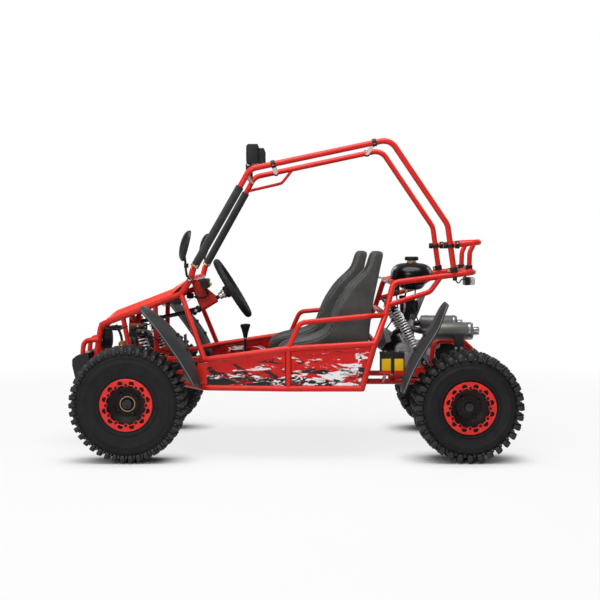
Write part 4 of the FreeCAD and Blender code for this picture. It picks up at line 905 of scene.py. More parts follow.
    @staticmethod
    def run(tree: bpy.types.NodeTree, form: bmesh.types.BMesh | None,
            values: dict[str, object]) -> bmesh.types.BMesh:
        """Runs a tree on a form and returns the plain result.

        Args:
            tree: The geometry tree.
            form: What it starts from, used up, or nothing.
            values: Value of each named input.

        Returns:
            The result as a form.
        """
        mesh = bpy.data.meshes.new("pattern")
        if form is not None:
            form.to_mesh(mesh)
            form.free()
        holder = bpy.data.objects.new("pattern", mesh)
        modifier = holder.modifiers.new("pattern", "NODES")
        modifier.node_group = tree
        for item in tree.interface.items_tree:
            if item.in_out == "INPUT" and item.name in values:
                modifier[item.identifier] = values[item.name]
        bpy.context.scene.collection.objects.link(holder)
        depsgraph = bpy.context.evaluated_depsgraph_get()
        plain = bpy.data.meshes.new_from_object(holder.evaluated_get(depsgraph),
                                                depsgraph=depsgraph)
        result = bmesh.new()
        result.from_mesh(plain)
        bpy.data.objects.remove(holder)
        bpy.data.meshes.remove(mesh)
        bpy.data.meshes.remove(plain)
        return result

    @classmethod
    def repeated(cls, form: bmesh.types.BMesh, count: int, turn: float = 0.0,
                 shift: Vector = Vector()) -> bmesh.types.BMesh:
        """Copies of a form, each turned about Z and shifted from the one before.

        Args:
            form: The form, used up.
            count: How many there are.
            turn: Turn from one to the next, in radians.
            shift: Shift from one to the next, before the turn.

        Returns:
            All copies as one form.
        """
        return cls.run(cls.repeat_tree(), form,
                       {"Count": count, "Turn": turn, "Shift": tuple(shift)})

    @classmethod
    def coil(cls, turns: float, radius: float, height: float, wire: float) -> bmesh.types.BMesh:
        """Coiled wire up the Z axis from the origin.

        Args:
            turns: How many turns it has.
            radius: Radius of its centre line.
            height: Its height.
            wire: Radius of the wire.

        Returns:
            The coil.
        """
        return cls.run(cls.coil_tree(), None,
                       {"Turns": turns, "Radius": radius, "Height": height, "Wire": wire})


class Piece:
    """One visible piece being put together from forms with finishes."""

    def __init__(self, name: str) -> None:
        """Starts an empty piece.

        Args:
            name: Its name, in plain words.
        """
        self.name = name
        self.form = bmesh.new()
        self.finishes: list[Finish] = []

    def add(self, form: bmesh.types.BMesh, finish: Finish, place: Matrix | None = None) -> "Piece":
        """Adds a form.

        Args:
            form: The form, used up.
            finish: Its finish.
            place: Where it goes, or nothing if it is in place.

        Returns:
            The piece itself.
        """
        if finish not in self.finishes:
            self.finishes.append(finish)
        if place is not None:
            placed(form, place)
        number = self.finishes.index(finish)
        for face in form.faces:
            face.material_index = number
        mesh = bpy.data.meshes.new("part")
        form.to_mesh(mesh)
        form.free()
        self.form.from_mesh(mesh)
        bpy.data.meshes.remove(mesh)
        return self

    def done(self, body: str, replaces: Sequence[str] = (),
             slot: str | None = None) -> bpy.types.Object:
        """Ends the piece and sets it on its body.

        Args:
            body: The body that it moves with.
            replaces: The solids that it stands for.
            slot: Meant for the record's material slot of its main finish; not used.

        Returns:
            The piece's object.
        """
        mesh = bpy.data.meshes.new(self.name)
        self.form.to_mesh(mesh)
        self.form.free()
        for finish in self.finishes:
            mesh.materials.append(finish.material())
        for face in mesh.polygons:
            face.use_smooth = True
        mesh.set_sharp_from_angle(angle=SMOOTH_ANGLE)
        made = bpy.data.objects.new(self.name, mesh)
        bpy.context.scene.collection.objects.link(made)
        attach(made, body)
        if replaces:
            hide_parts(*replaces)
        LOG.info("%s rides on %s with %d faces", self.name, body, len(mesh.polygons))
        return made


# Frame and plain solids


@dataclass
class PlainSolids:
    """Solids that keep their own shape and only get a finish.

    Attributes:
        finishes: Finish of each solid, by its name.
    """

    finishes: dict[str, Finish] = field(default_factory=lambda: {
        "lower_frame": FRAME_RED, "front_frame": FRAME_RED, "side_rails": FRAME_RED,
        "rear_frame": FRAME_RED,
        "roll_cage": FRAME_RED, "rear_rack": FRAME_RED, "front_arms": FRAME_RED,
        "swing_arm": FRAME_RED,
        "hood": HOOD_RED_PAINTED_TOPLIGHT, "side_panels": PANEL_RED, "roof_bars": BRIGHT_ZINC,
        "floor_pan": FLOOR_BLACK,
        "nose_guard": NOSE_GREY, "pillar_foam": FOAM_GREY, "pedals": DARK_STEEL,
        "knuckle_left": DARK_STEEL, "knuckle_right": DARK_STEEL, "tie_rod_left": BRIGHT_ZINC,
        "tie_rod_right": BRIGHT_ZINC, "pitman_arm": DARK_STEEL, "steering_shaft": SATIN_BLACK,
        "rear_axle": DARK_STEEL})

    def dress(self) -> None:
        """Gives each of these solids its finish."""
        for name, finish in self.finishes.items():
            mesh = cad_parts[name].data
            mesh.materials.clear()
            mesh.materials.append(finish.material())
            LOG.info("%s keeps its solid in %s", name, finish.name)


# Wheels


@dataclass
class Wheel:
    """Wheel with a knobbly tyre on a dished rim under a bolted outer ring.

    Attributes:
        name: Where the wheel is, such as front_left.
        body: Body that it turns with.
        centre: Middle of the tyre.
        side: 1 for the left side, -1 for the right.
        radius: Radius over the knobs.
        width: Width of the tyre.
        knob_height: Height of the knobs.
        knobs: Knobs in each row.
        knob_size: Length along the tread and width across it.
        rows: Places of the knob rows across the tread, as shares of half the width.
        stagger: Shift of each row round the tread, as a share of a step.
        driven: Whether a hexagonal nut stands in its middle, as on the rear axle.
        bead: Radius where the tyre meets the rim.
        face: Distance of the ring's outer face from the middle of the tyre.
        ring_outer: Outer radius of the bolted ring.
        ring_depth: Thickness of the ring.
        tabs: Scalloped tabs and bolts of the ring.
        tab_radius: Radius between the tabs.
        tab_reach: How far each tab reaches inwards.
        studs: Studs of the disc.
        ticks: Fine ribs round the side wall.
    """

    name: str
    body: str
    centre: Vector
    side: int
    radius: float
    width: float
    knob_height: float = 0.014
    knobs: int = 42
    knob_size: Point2 = (0.0155, 0.0165)
    rows: Sequence[float] = (0.0, 0.26, 0.5, 0.74)
    stagger: Sequence[float] = (0.0, 0.22, 0.04, 0.26)
    driven: bool = False
    bead: float = 0.1015
    face: float = 0.0845
    ring_outer: float = 0.108
    ring_depth: float = 0.009
    tabs: int = 12
    tab_radius: float = 0.0815
    tab_reach: float = 0.0065
    studs: int = 4
    ticks: int = 120

    @property
    def place(self) -> Matrix:
        """Place whose local Z points out of the buggy.

        Returns:
            The matrix that brings the wheel's forms there.
        """
        return frame_at(self.centre, Y_AXIS * self.side, X_AXIS)

    @property
    def crown(self) -> float:
        """Radius of the tread under the knobs.

        Returns:
            The radius.
        """
        return self.radius - self.knob_height

    def side_profile(self) -> list[Point2]:
        """Half section of the outer side, from the bead to the middle of the tread.

        Returns:
            Radius and height of its points.
        """
        half = self.width / 2
        deep = self.crown - self.bead
        shares = ((0.0, 0.842), (0.035, 0.868), (0.07, 0.9), (0.13, 0.93), (0.15, 0.952),
                  (0.19, 0.956), (0.21, 0.94), (0.32, 0.965), (0.44, 0.982), (0.53, 0.99),
                  (0.55, 1.0), (0.585, 1.0), (0.605, 0.985), (0.68, 0.972), (0.71, 0.968),
                  (0.72, 0.978), (0.74, 0.974), (0.75, 0.952), (0.79, 0.93), (0.86, 0.87),
                  (0.92, 0.78), (0.97, 0.62), (0.99, 0.4), (1.0, 0.0))
        return [(self.bead + deep * along, half * out) for along, out in shares]

    def tyre_height(self, out: float) -> float:
        """Radius of the tread at a place across it.

        Args:
            out: Distance from the middle of the tread.

        Returns:
            The radius there.
        """
        profile = sorted(self.side_profile(), key=lambda point: point[1])
        tread = [point for point in profile
                 if point[0] > self.bead + (self.crown - self.bead) * 0.6]
        for (r0, h0), (r1, h1) in zip(tread, tread[1:]):
            if h0 <= out <= h1:
                return r0 + (r1 - r0) * (out - h0) / (h1 - h0)
        return tread[-1][0]

    def carcass(self) -> bmesh.types.BMesh:
        """Closed body of the tyre, hollow inside.

        Returns:
            The form.
        """
        outer = self.side_profile()
        inner = [(self.bead + 0.004, outer[0][1] - 0.012), (self.bead + 0.03, self.width * 0.43),
                 (self.crown - 0.03, self.width * 0.42), (self.crown - 0.014, self.width * 0.3)]
        half = [*reversed(inner), *outer]
        mirrored_half = [(radius, -height) for radius, height in reversed(half[:-1])]
        return turned(half + mirrored_half, 96, closed=True)

    def knob_row(self, share: float, turn: float) -> bmesh.types.BMesh:
        """One row of knobs round the tread.

        Args:
            share: Place across the tread as a share of half its width, signed.
            turn: Angle of the first knob.

        Returns:
            The row.
        """
        out = share * self.width / 2
        foot = self.tyre_height(abs(out)) - 0.004
        lean = math.copysign(max(0.0, abs(share) - 0.3) * 0.9, share)
        top = self.radius - (self.crown - self.tyre_height(abs(out))) * 0.45
        height = math.sqrt(max(top ** 2 - (self.knob_size[0] / 2) ** 2, 0.0)) - foot - 0.0012
        knob = block((self.knob_size[0], self.knob_size[1], height), 0.0014, 1, 0.62)
        split = block((self.knob_size[0] * 0.16, self.knob_size[1] * 0.7, 0.004), 0, 1)
        placed(split, Matrix.Translation((0, 0, height / 2 - 0.0010)))
        knob = merged([knob, split])
        up = Vector((math.cos(turn), math.sin(turn), math.sin(lean) * 0.5)).normalized()
        place = frame_at(Vector((math.cos(turn) * foot, math.sin(turn) * foot, out)), up,
                         Vector((-math.sin(turn), math.cos(turn), 0)))
        placed(knob, place @ Matrix.Translation((0, 0, height / 2)))
        return Pattern.repeated(knob, self.knobs, 2 * math.pi / self.knobs)

    def shoulder_row(self, side: int, turn: float) -> bmesh.types.BMesh:
        """Row of shoulder lugs that wrap from the tread down the side wall.

        Args:
            side: 1 for the outer side, -1 for the inner.
            turn: Angle of the first lug.

        Returns:
            The row.
        """
        half, deep = self.width / 2, self.crown - self.bead
        wide, narrow = self.knob_size[0] * 0.56, self.knob_size[0] * 0.36
        top = math.sqrt(self.radius ** 2 - wide ** 2) - 0.005
        section = [(self.bead + deep * 0.83, half * 0.93, narrow),
                   (self.bead + deep * 0.87, half * 0.985, wide * 0.9),
                   (top - 0.013, half * 0.998, wide), (top - 0.002, half * 0.955, wide * 0.72),
                   (top, half * 0.84, wide * 0.68), (self.crown - 0.016, half * 0.78, wide),
                   (self.bead + deep * 0.83, half * 0.84, narrow)]
        rings = [[Vector((radius, share * width, height * side)) for radius, height,
                  width in section]
                 for share in (-1, 1)]
        lug = skin(rings)
        bmesh.ops.bevel(lug, geom=[edge for edge in lug.edges if edge.calc_face_angle(0) > 0.6],
                        offset=0.0012, segments=1, profile=0.6, affect="EDGES")
        bmesh.ops.recalc_face_normals(lug, faces=lug.faces)
        bmesh.ops.rotate(lug, verts=lug.verts, matrix=Matrix.Rotation(turn, 3, "Z"))
        return Pattern.repeated(lug, self.knobs, 2 * math.pi / self.knobs)

    def side_studs(self, side: int, turn: float) -> bmesh.types.BMesh:
        """Row of short studs on the shoulder, between the lugs.

        Args:
            side: 1 for the outer side, -1 for the inner.
            turn: Angle of the first stud.

        Returns:
            The row.
        """
        out = self.width / 2 * 0.90 * side
        stud = block((self.knob_size[0] * 0.7, self.knob_size[1] * 0.55, 0.016), 0.0012, 1, 0.7)
        spoke = Vector((math.cos(turn), math.sin(turn), 0))
        place = frame_at(spoke * (self.crown - 0.013) + Vector((0, 0, out)),
                         spoke + Vector((0, 0, 0.8 * side)),
                         Vector((-math.sin(turn), math.cos(turn), 0)))
        return Pattern.repeated(placed(stud, place), self.knobs, 2 * math.pi / self.knobs)

    def tyre(self, replaces: Sequence[str]) -> None:
        """Builds the tyre with its knobs and side-wall rings.

        Args:
            replaces: The solids that it stands for.
        """
        piece = Piece(f"tyre_{self.name}")
        piece.add(self.carcass(), TYRE_BLACK, self.place)
        step = 2 * math.pi / self.knobs
        for number, share in enumerate(self.rows):
            for sign in ((1,) if share == 0 else (1, -1)):
                piece.add(self.knob_row(share * sign, step * self.stagger[number]), KNOB_BLACK,
                          self.place)
        for sign in (1, -1):
            piece.add(self.shoulder_row(sign, step * self.stagger[0]), KNOB_BLACK, self.place)
            piece.add(self.side_studs(sign, step * (self.stagger[0] + 0.5)), KNOB_BLACK, self.place)
        tick = block((0.006, 0.0016, 0.0016), 0.0004, 1)
        placed(tick, Matrix.Translation((self.bead + 0.026, 0, self.width / 2 * 0.955)))
        piece.add(Pattern.repeated(tick, self.ticks, 2 * math.pi / self.ticks), TYRE_BLACK,
                  self.place)
        piece.done(self.body, replaces)

    def ring_plate(self) -> bmesh.types.BMesh:
        """Outer ring with scalloped tabs, half-moon windows and a rounded edge.

        Returns:
            The form.
        """
        tabs, count = self.tabs, 240
        inner = []
        for i in range(count):
            t = 2 * math.pi * i / count
            near = abs((t * tabs / (2 * math.pi) + 0.5) % 1 - 0.5) * 2 * math.pi / tabs
            share = 1 / (1 + math.exp((near - 0.105) * 80))
            radius = self.tab_radius - self.tab_reach * share
            inner.append((radius * math.cos(t), radius * math.sin(t)))
        windows = []
        for k in range(tabs):
            middle = 2 * math.pi * (k + 0.5) / tabs
            arc = [(0.0875 + 0.0130 * math.sin(math.pi * i / 10) ** 0.8,
                    0.0112 * math.cos(math.pi * i / 10))
                   for i in range(11)]
            arc += [(0.0853, -0.008), (0.0853, 0.008)]
            windows.append([(u * math.cos(middle) - v * math.sin(middle),
                             u * math.sin(middle) + v * math.cos(middle))
                            for u, v in arc])
        outer = circle((0.0, 0.0), self.ring_outer, 120)
        return plate(outer, self.ring_depth, 0.0016, [inner, *windows])

    def barrel(self, back: float, inner: float) -> bmesh.types.BMesh:
        """Barrel that carries the tyre.

        Args:
            back: Height of its outer end, behind the ring.
            inner: Height of its inner end.

        Returns:
            The form.
        """
        profile = [(0.104, back), (0.1055, back - 0.006), (0.099, back - 0.012),
                   (0.092, back - 0.03), (0.092, inner + 0.03), (0.1, inner + 0.012),
                   (0.106, inner), (0.1015, inner - 0.002), (0.094, inner + 0.008),
                   (0.087, inner + 0.03), (0.087, back - 0.04), (0.078, back - 0.012),
                   (0.079, back)]
        return turned(profile, 72, closed=True)

    def disc(self, floor: float) -> bmesh.types.BMesh:
        """Dished disc inside the barrel.

        Args:
            floor: Height of its outer edge.

        Returns:
            The form.
        """
        profile = [(0.0, floor - 0.006), (0.03, floor - 0.006), (0.05, floor - 0.008),
                   (0.064, floor), (0.0875, floor + 0.004), (0.0875, floor - 0.003),
                   (0.064, floor - 0.007), (0.05, floor - 0.014), (0.0, floor - 0.014)]
        return turned(profile, 72)

    def stud_ring(self, base: float) -> bmesh.types.BMesh:
        """Studs with their nuts, round the middle of the disc.

        Args:
            base: Height of their feet.

        Returns:
            The form.
        """
        foot = Matrix.Translation((0.044, 0, base))
        pin = [(0, 0), (0.0036, 0), (0.0036, 0.014), (0.0028, 0.015), (0, 0.015)]
        stud = merged([placed(nut(0.012, 0.008), foot), placed(turned(pin, 12), foot)])
        studs = Pattern.repeated(stud, self.studs, 2 * math.pi / self.studs)
        return placed(studs, Matrix.Rotation(math.radians(33), 4, "Z"))

    def cap(self, piece: Piece, base: float) -> None:
        """Adds the axle nut of a driven wheel, or the cap of another.

        Args:
            piece: The piece that takes it.
            base: Height of its foot.
        """
        if self.driven:
            washer = [(0, base), (0.031, base), (0.031, base + 0.004), (0.024, base + 0.006),
                      (0, base + 0.006)]
            piece.add(turned(washer, 40), SATIN_BLACK, self.place)
            piece.add(placed(nut(0.038, 0.018), Matrix.Translation((0, 0, base + 0.004))),
                      DARK_STEEL, self.place)
            return
        ring = [(0.029, base), (0.0315, base), (0.0315, base + 0.003), (0.029, base + 0.003)]
        cover = [(0, base), (0.022, base), (0.022, base + 0.016), (0.0195, base + 0.019),
                 (0.010, base + 0.0195), (0.009, base + 0.018), (0, base + 0.018)]
        piece.add(turned(ring, 48, closed=True), ZINC_GOLD, self.place)
        piece.add(turned(cover, 40), DARK_STEEL, self.place)

    def rim(self, replaces: Sequence[str]) -> None:
        """Builds the rim: ring, bolts, barrel, dished disc, studs and cap.

        Args:
            replaces: The solids that it stands for.
        """
        piece = Piece(f"rim_{self.name}")
        back = self.face - self.ring_depth
        shift = Matrix.Translation((0, 0, back))
        piece.add(self.ring_plate(), RING_RED, self.place @ shift)
        bolt = washer_bolt(0.0076, 0.004)
        placed(bolt, Matrix.Translation((0.0818, 0, self.face - 0.0002)))
        piece.add(Pattern.repeated(bolt, self.tabs, 2 * math.pi / self.tabs), SATIN_BLACK,
                  self.place)
        inner = -self.face + 0.004
        piece.add(self.barrel(back, inner), DISH_BROWN, self.place)
        floor = back - 0.034
        base = floor - 0.007
        piece.add(self.disc(floor), DISH_BROWN, self.place)
        piece.add(self.stud_ring(base), DARK_STEEL, self.place)
        self.cap(piece, base)
        hub = [(0, floor - 0.012), (0.034, floor - 0.012), (0.034, floor - 0.02),
               (0.026, floor - 0.024), (0.026, inner + 0.012), (0, inner + 0.012)]
        piece.add(turned(hub, 40), CAST_METAL, self.place)
        valve = piped([Vector((0.083, 0, floor + 0.002)), Vector((0.079, 0, floor + 0.03))],
                      0.0028, 10)
        piece.add(valve, HOSE_BLACK, self.place @ Matrix.Rotation(math.radians(75), 4, "Z"))
        piece.done(self.body, replaces)


class Wheels:
    """All four wheels, taken from the places of their solids."""

    FRONT_SIZE = (0.241, 0.178)
    REAR_SIZE = (0.2286, 0.241)

    @classmethod
    def middle(cls, node: str, low_side: bool | None = None) -> Vector:
        """Middle of a tyre node, or of its solid on one side.

        Args:
            node: The tyre node.
            low_side: True for the right-hand solid of a pair, False for the left-hand one.

        Returns:
            The middle point.
        """
        low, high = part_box(node)
        middle = (low + high) / 2
        if low_side is not None:
            half = cls.REAR_SIZE[1] / 2
            middle.y = low.y + half if low_side else high.y - half
        return middle

    def build(self) -> None:
        """Builds the wheels and reports them."""
        for name, side in (("left", 1), ("right", -1)):
            wheel = Wheel(f"front_{name}", f"front_wheel_{name}", self.middle(f"front_tyre_{name}"),
                          side, *self.FRONT_SIZE)
            wheel.tyre([f"front_tyre_{name}"])
            wheel.rim([f"front_rim_{name}"])
        for name, side in (("left", 1), ("right", -1)):
            wheel = Wheel(f"rear_{name}", "rear_axle", self.middle("rear_tyres", side < 0), side,
                          *self.REAR_SIZE, knob_height=0.019, knobs=32, knob_size=(0.0195, 0.021),
                          rows=(0.0, 0.25, 0.49, 0.73), driven=True, face=0.1155)
            wheel.tyre(["rear_tyres"])
            wheel.rim(["rear_rims"])


# Suspension and drive


@dataclass
class Shock:
    """Coil-over damper between two eyes.

    Attributes:
        name: Which shock it is.
        head: Middle of the upper eye.
        foot: Middle of the lower eye.
        turns: Turns of the spring.
        coil: Radius of the spring's centre line.
        wire: Radius of the spring's wire.
        eye_width: Width of its eyes.
        seat_low: Place of the spring's lower seat, as a share of the shock's length.
        seat_high: Place of its upper seat.
    """

    name: str
    head: Vector
    foot: Vector
    turns: float = 11.0
    coil: float = 0.0184
    wire: float = 0.0038
    eye_width: float = 0.022
    seat_low: float = 0.085
    seat_high: float = 0.845

    def build(self, piece: Piece) -> None:
        """Adds the shock's forms to a piece.

        Args:
            piece: The piece that takes them.
        """
        span = (self.foot - self.head).length
        low, high = span * self.seat_low, span * self.seat_high
        place = frame_at(self.head, self.foot - self.head, Y_AXIS)
        body = [(0, 0.012), (0.0105, 0.012), (0.0125, 0.016), (0.0125, span * 0.07),
                (0.0215, span * 0.07 + 0.002), (0.0215, low), (0.0135, low + 0.002),
                (0.0135, span * 0.6), (0.011, span * 0.62), (0, span * 0.62)]
        piece.add(turned(body, 28), SATIN_BLACK, place)
        rings = [(0.0135, 0), (0.0158, 0.001), (0.0158, 0.006), (0.0135, 0.007)]
        piece.add(placed(Pattern.repeated(turned(rings, 24, closed=True), 3, 0,
                                          Vector((0, 0, 0.009))),
                         Matrix.Translation((0, 0, low + 0.004))), SATIN_BLACK, place)
        piece.add(turned([(0, span * 0.6), (0.0055, span * 0.6), (0.0055, span - 0.012),
                          (0, span - 0.012)], 20), STEEL, place)
        seat = [(0, high), (0.020, high), (0.0215, span * 0.85), (0.0215, span * 0.87),
                (0.016, span * 0.885),
                (0.009, span * 0.9), (0.009, span - 0.012), (0, span - 0.012)]
        piece.add(turned(seat, 28), SATIN_BLACK, place)
        coil = Pattern.coil(self.turns, self.coil, high - low - self.wire * 2, self.wire)
        piece.add(placed(coil, Matrix.Translation((0, 0, low + self.wire))), SPRING_WHITE, place)
        for end in (self.head, self.foot):
            half = self.eye_width / 2
            eye = [(0.0125, -half), (0.0125, half), (0.006, half), (0.006, -half)]
            across = frame_at(end, Y_AXIS)
            piece.add(turned(eye, 24, closed=True), SATIN_BLACK, across)
            piece.add(placed(nut(0.012, 0.004), Matrix.Translation((0, 0, half))), BRIGHT_ZINC,
                      across)
            piece.add(placed(nut(0.012, 0.004),
                             Matrix.Rotation(math.pi, 4, "X") @ Matrix.Translation((0, 0, half))),
                      BRIGHT_ZINC, across)
            piece.add(turned([(0, -half), (0.0058, -half), (0.0058, half), (0, half)], 16),
                      BRIGHT_ZINC, across)


@dataclass
class Suspension:
    """The four shocks.

    Attributes:
        front_head: Upper eye of the left front shock.
        front_foot: Its lower eye.
        rear_head: Upper eye of the left rear shock.
        rear_foot: Its lower eye.
    """

    front_head: Vector = spot(0.6538, 0.2229, 0.540)
    front_foot: Vector = spot(0.5748, 0.2597, 0.2742)
    rear_head: Vector = spot(-0.4356, 0.201, 0.6375)
    rear_foot: Vector = spot(-0.5782, 0.201, 0.382)

    def build(self) -> None:
        """Builds the front and the rear pair."""
        for name, head, foot, turns in (("front_shocks", self.front_head, self.front_foot, 14.0),
                                        ("rear_shocks", self.rear_head, self.rear_foot, 18.0)):
            for side in (1, -1):
                piece = Piece(f"{name}_{'left' if side > 0 else 'right'}")
                ends = [sided(point, side) for point in (head, foot)]
                Shock(name, *ends, turns=turns).build(piece)
                piece.done("chassis", [name])


@dataclass
class Drive:
    """Chain, sprockets and brake disc.

    Attributes:
        output: Middle of the gearbox sprocket.
        axle: Middle of the axle sprocket.
        small: Radius of the chain on the gearbox sprocket.
        big: Radius of the chain on the axle sprocket.
        pitch: Length of a link.
        disc_radius: Middle radius of the brake disc's wavy edge.
    """

    output: Vector = spot(-0.5572, -0.150, 0.375)
    axle: Vector = spot(-0.7322, -0.150, 0.2286)
    small: float = 0.030
    big: float = 0.08085
    pitch: float = 0.0127
    disc_radius: float = 0.0865

    def path(self) -> tuple[list[Vector], float]:
        """Closed line of the chain and its length.

        Returns:
            The points of the line, and its length.
        """
        link = self.axle - self.output
        angle, lean = math.atan2(link.z, link.x), math.acos((self.small - self.big) / link.length)
        points = []
        for centre, radius, start, end in (
                (self.axle, self.big, angle - lean, angle + lean),
                (self.output, self.small, angle + lean, angle + 2 * math.pi - lean)):
            steps = 40
            for i in range(steps + 1):
                t = start + (end - start) * i / steps
                points.append(centre + Vector((math.cos(t), 0, math.sin(t))) * radius)
        length = sum((b - a).length for a, b in zip(points, points[1:] + points[:1]))
        return points, length

    def link(self) -> bmesh.types.BMesh:
        """One link: two side plates and a roller, with its length along X.

        Returns:
            The link.
        """
        outline = []
        for end, start in ((-0.5, math.pi / 2), (0.5, -math.pi / 2)):
            for k in range(7):
                t = start + math.pi * k / 6
                outline.append(((end + 0.36 * math.cos(t)) * self.pitch, 0.0042 * math.sin(t)))
        parts = []
        for y in (-0.0048, 0.0034):
            side = plate(outline, 0.0014, 0.0002)
            parts.append(placed(side, Matrix.Translation((0, y + 0.0014, 0))
                                @ Matrix.Rotation(math.radians(90), 4, "X")))
        parts.append(placed(turned([(0, -0.0058), (0.0024, -0.0058), (0.0024, 0.0058), (0, 0.0058)],
                                   8),
                            Matrix.Translation((self.pitch / 2, 0, 0))
                            @ Matrix.Rotation(math.radians(90), 4, "X")))
        return merged(parts)

    def chain(self) -> None:
        """Builds the chain link by link."""
        points, length = self.path()
        holder_mesh = bpy.data.meshes.new("link")
        form = self.link()
        form.to_mesh(holder_mesh)
        form.free()
        holder = bpy.data.objects.new("link", holder_mesh)
        line = bmesh.new()
        verts = [line.verts.new(point) for point in points]
        for first, second in zip(verts, verts[1:] + verts[:1]):
            line.edges.new((first, second))
        links = Pattern.run(Pattern.links_tree(), line,
                            {"Count": round(length / self.pitch), "Link": holder})
        bpy.data.objects.remove(holder)
        bpy.data.meshes.remove(holder_mesh)
        Piece("drive_chain").add(links, CHAIN_STEEL).done("chassis", ["chain"])

    def sprocket(self) -> None:
        """Builds the toothed ring on the axle."""
        teeth = round(2 * math.pi * self.big / self.pitch)
        outline = []
        for i in range(teeth * 6):
            t = 2 * math.pi * i / (teeth * 6)
            radius = (self.big - 0.0062, self.big - 0.0045, self.big + 0.001, self.big + 0.003,
                      self.big + 0.001, self.big - 0.0045)[i % 6]
            outline.append((radius * math.cos(t), radius * math.sin(t)))
        holes = [circle(middle, 0.010, 16) for middle in circle((0.0, 0.0), 0.052, 6)]
        piece = Piece("axle_sprocket")
        across = frame_at(self.axle + Vector((0, -0.003, 0)), Y_AXIS)
        piece.add(plate(outline, 0.006, 0.0006, holes), STEEL, across)
        bolt = placed(washer_bolt(0.009, 0.004), Matrix.Translation((0.033, 0, 0.006)))
        piece.add(Pattern.repeated(bolt, 6, math.pi / 3), BRIGHT_ZINC, across)
        piece.done("rear_axle")

    def disc(self) -> None:
        """Builds the drilled brake disc with its wavy edge."""
        disc = Piece("brake_disc")
        outline = []
        for k in range(144):
            t = 2 * math.pi * k / 144
            radius = self.disc_radius + 0.0016 * math.cos(12 * t)
            outline.append((radius * math.cos(t), radius * math.sin(t)))
        rows = [circle((0.0, 0.0), radius, 24) for radius in (0.07, 0.078)]
        holes = [circle(rows[j % 2][j], 0.003, 8) for j in range(24)]
        across = frame_at(Vector((self.axle.x, -self.axle.y - 0.003, self.axle.z)), Y_AXIS)
        disc.add(plate(outline, 0.006, 0.0005, holes), STEEL, across)
        disc.done("rear_axle")

    def build(self) -> None:
        """Builds the chain, the sprocket and the brake disc."""
        self.chain()
        self.sprocket()
        self.disc()


# Engine bay


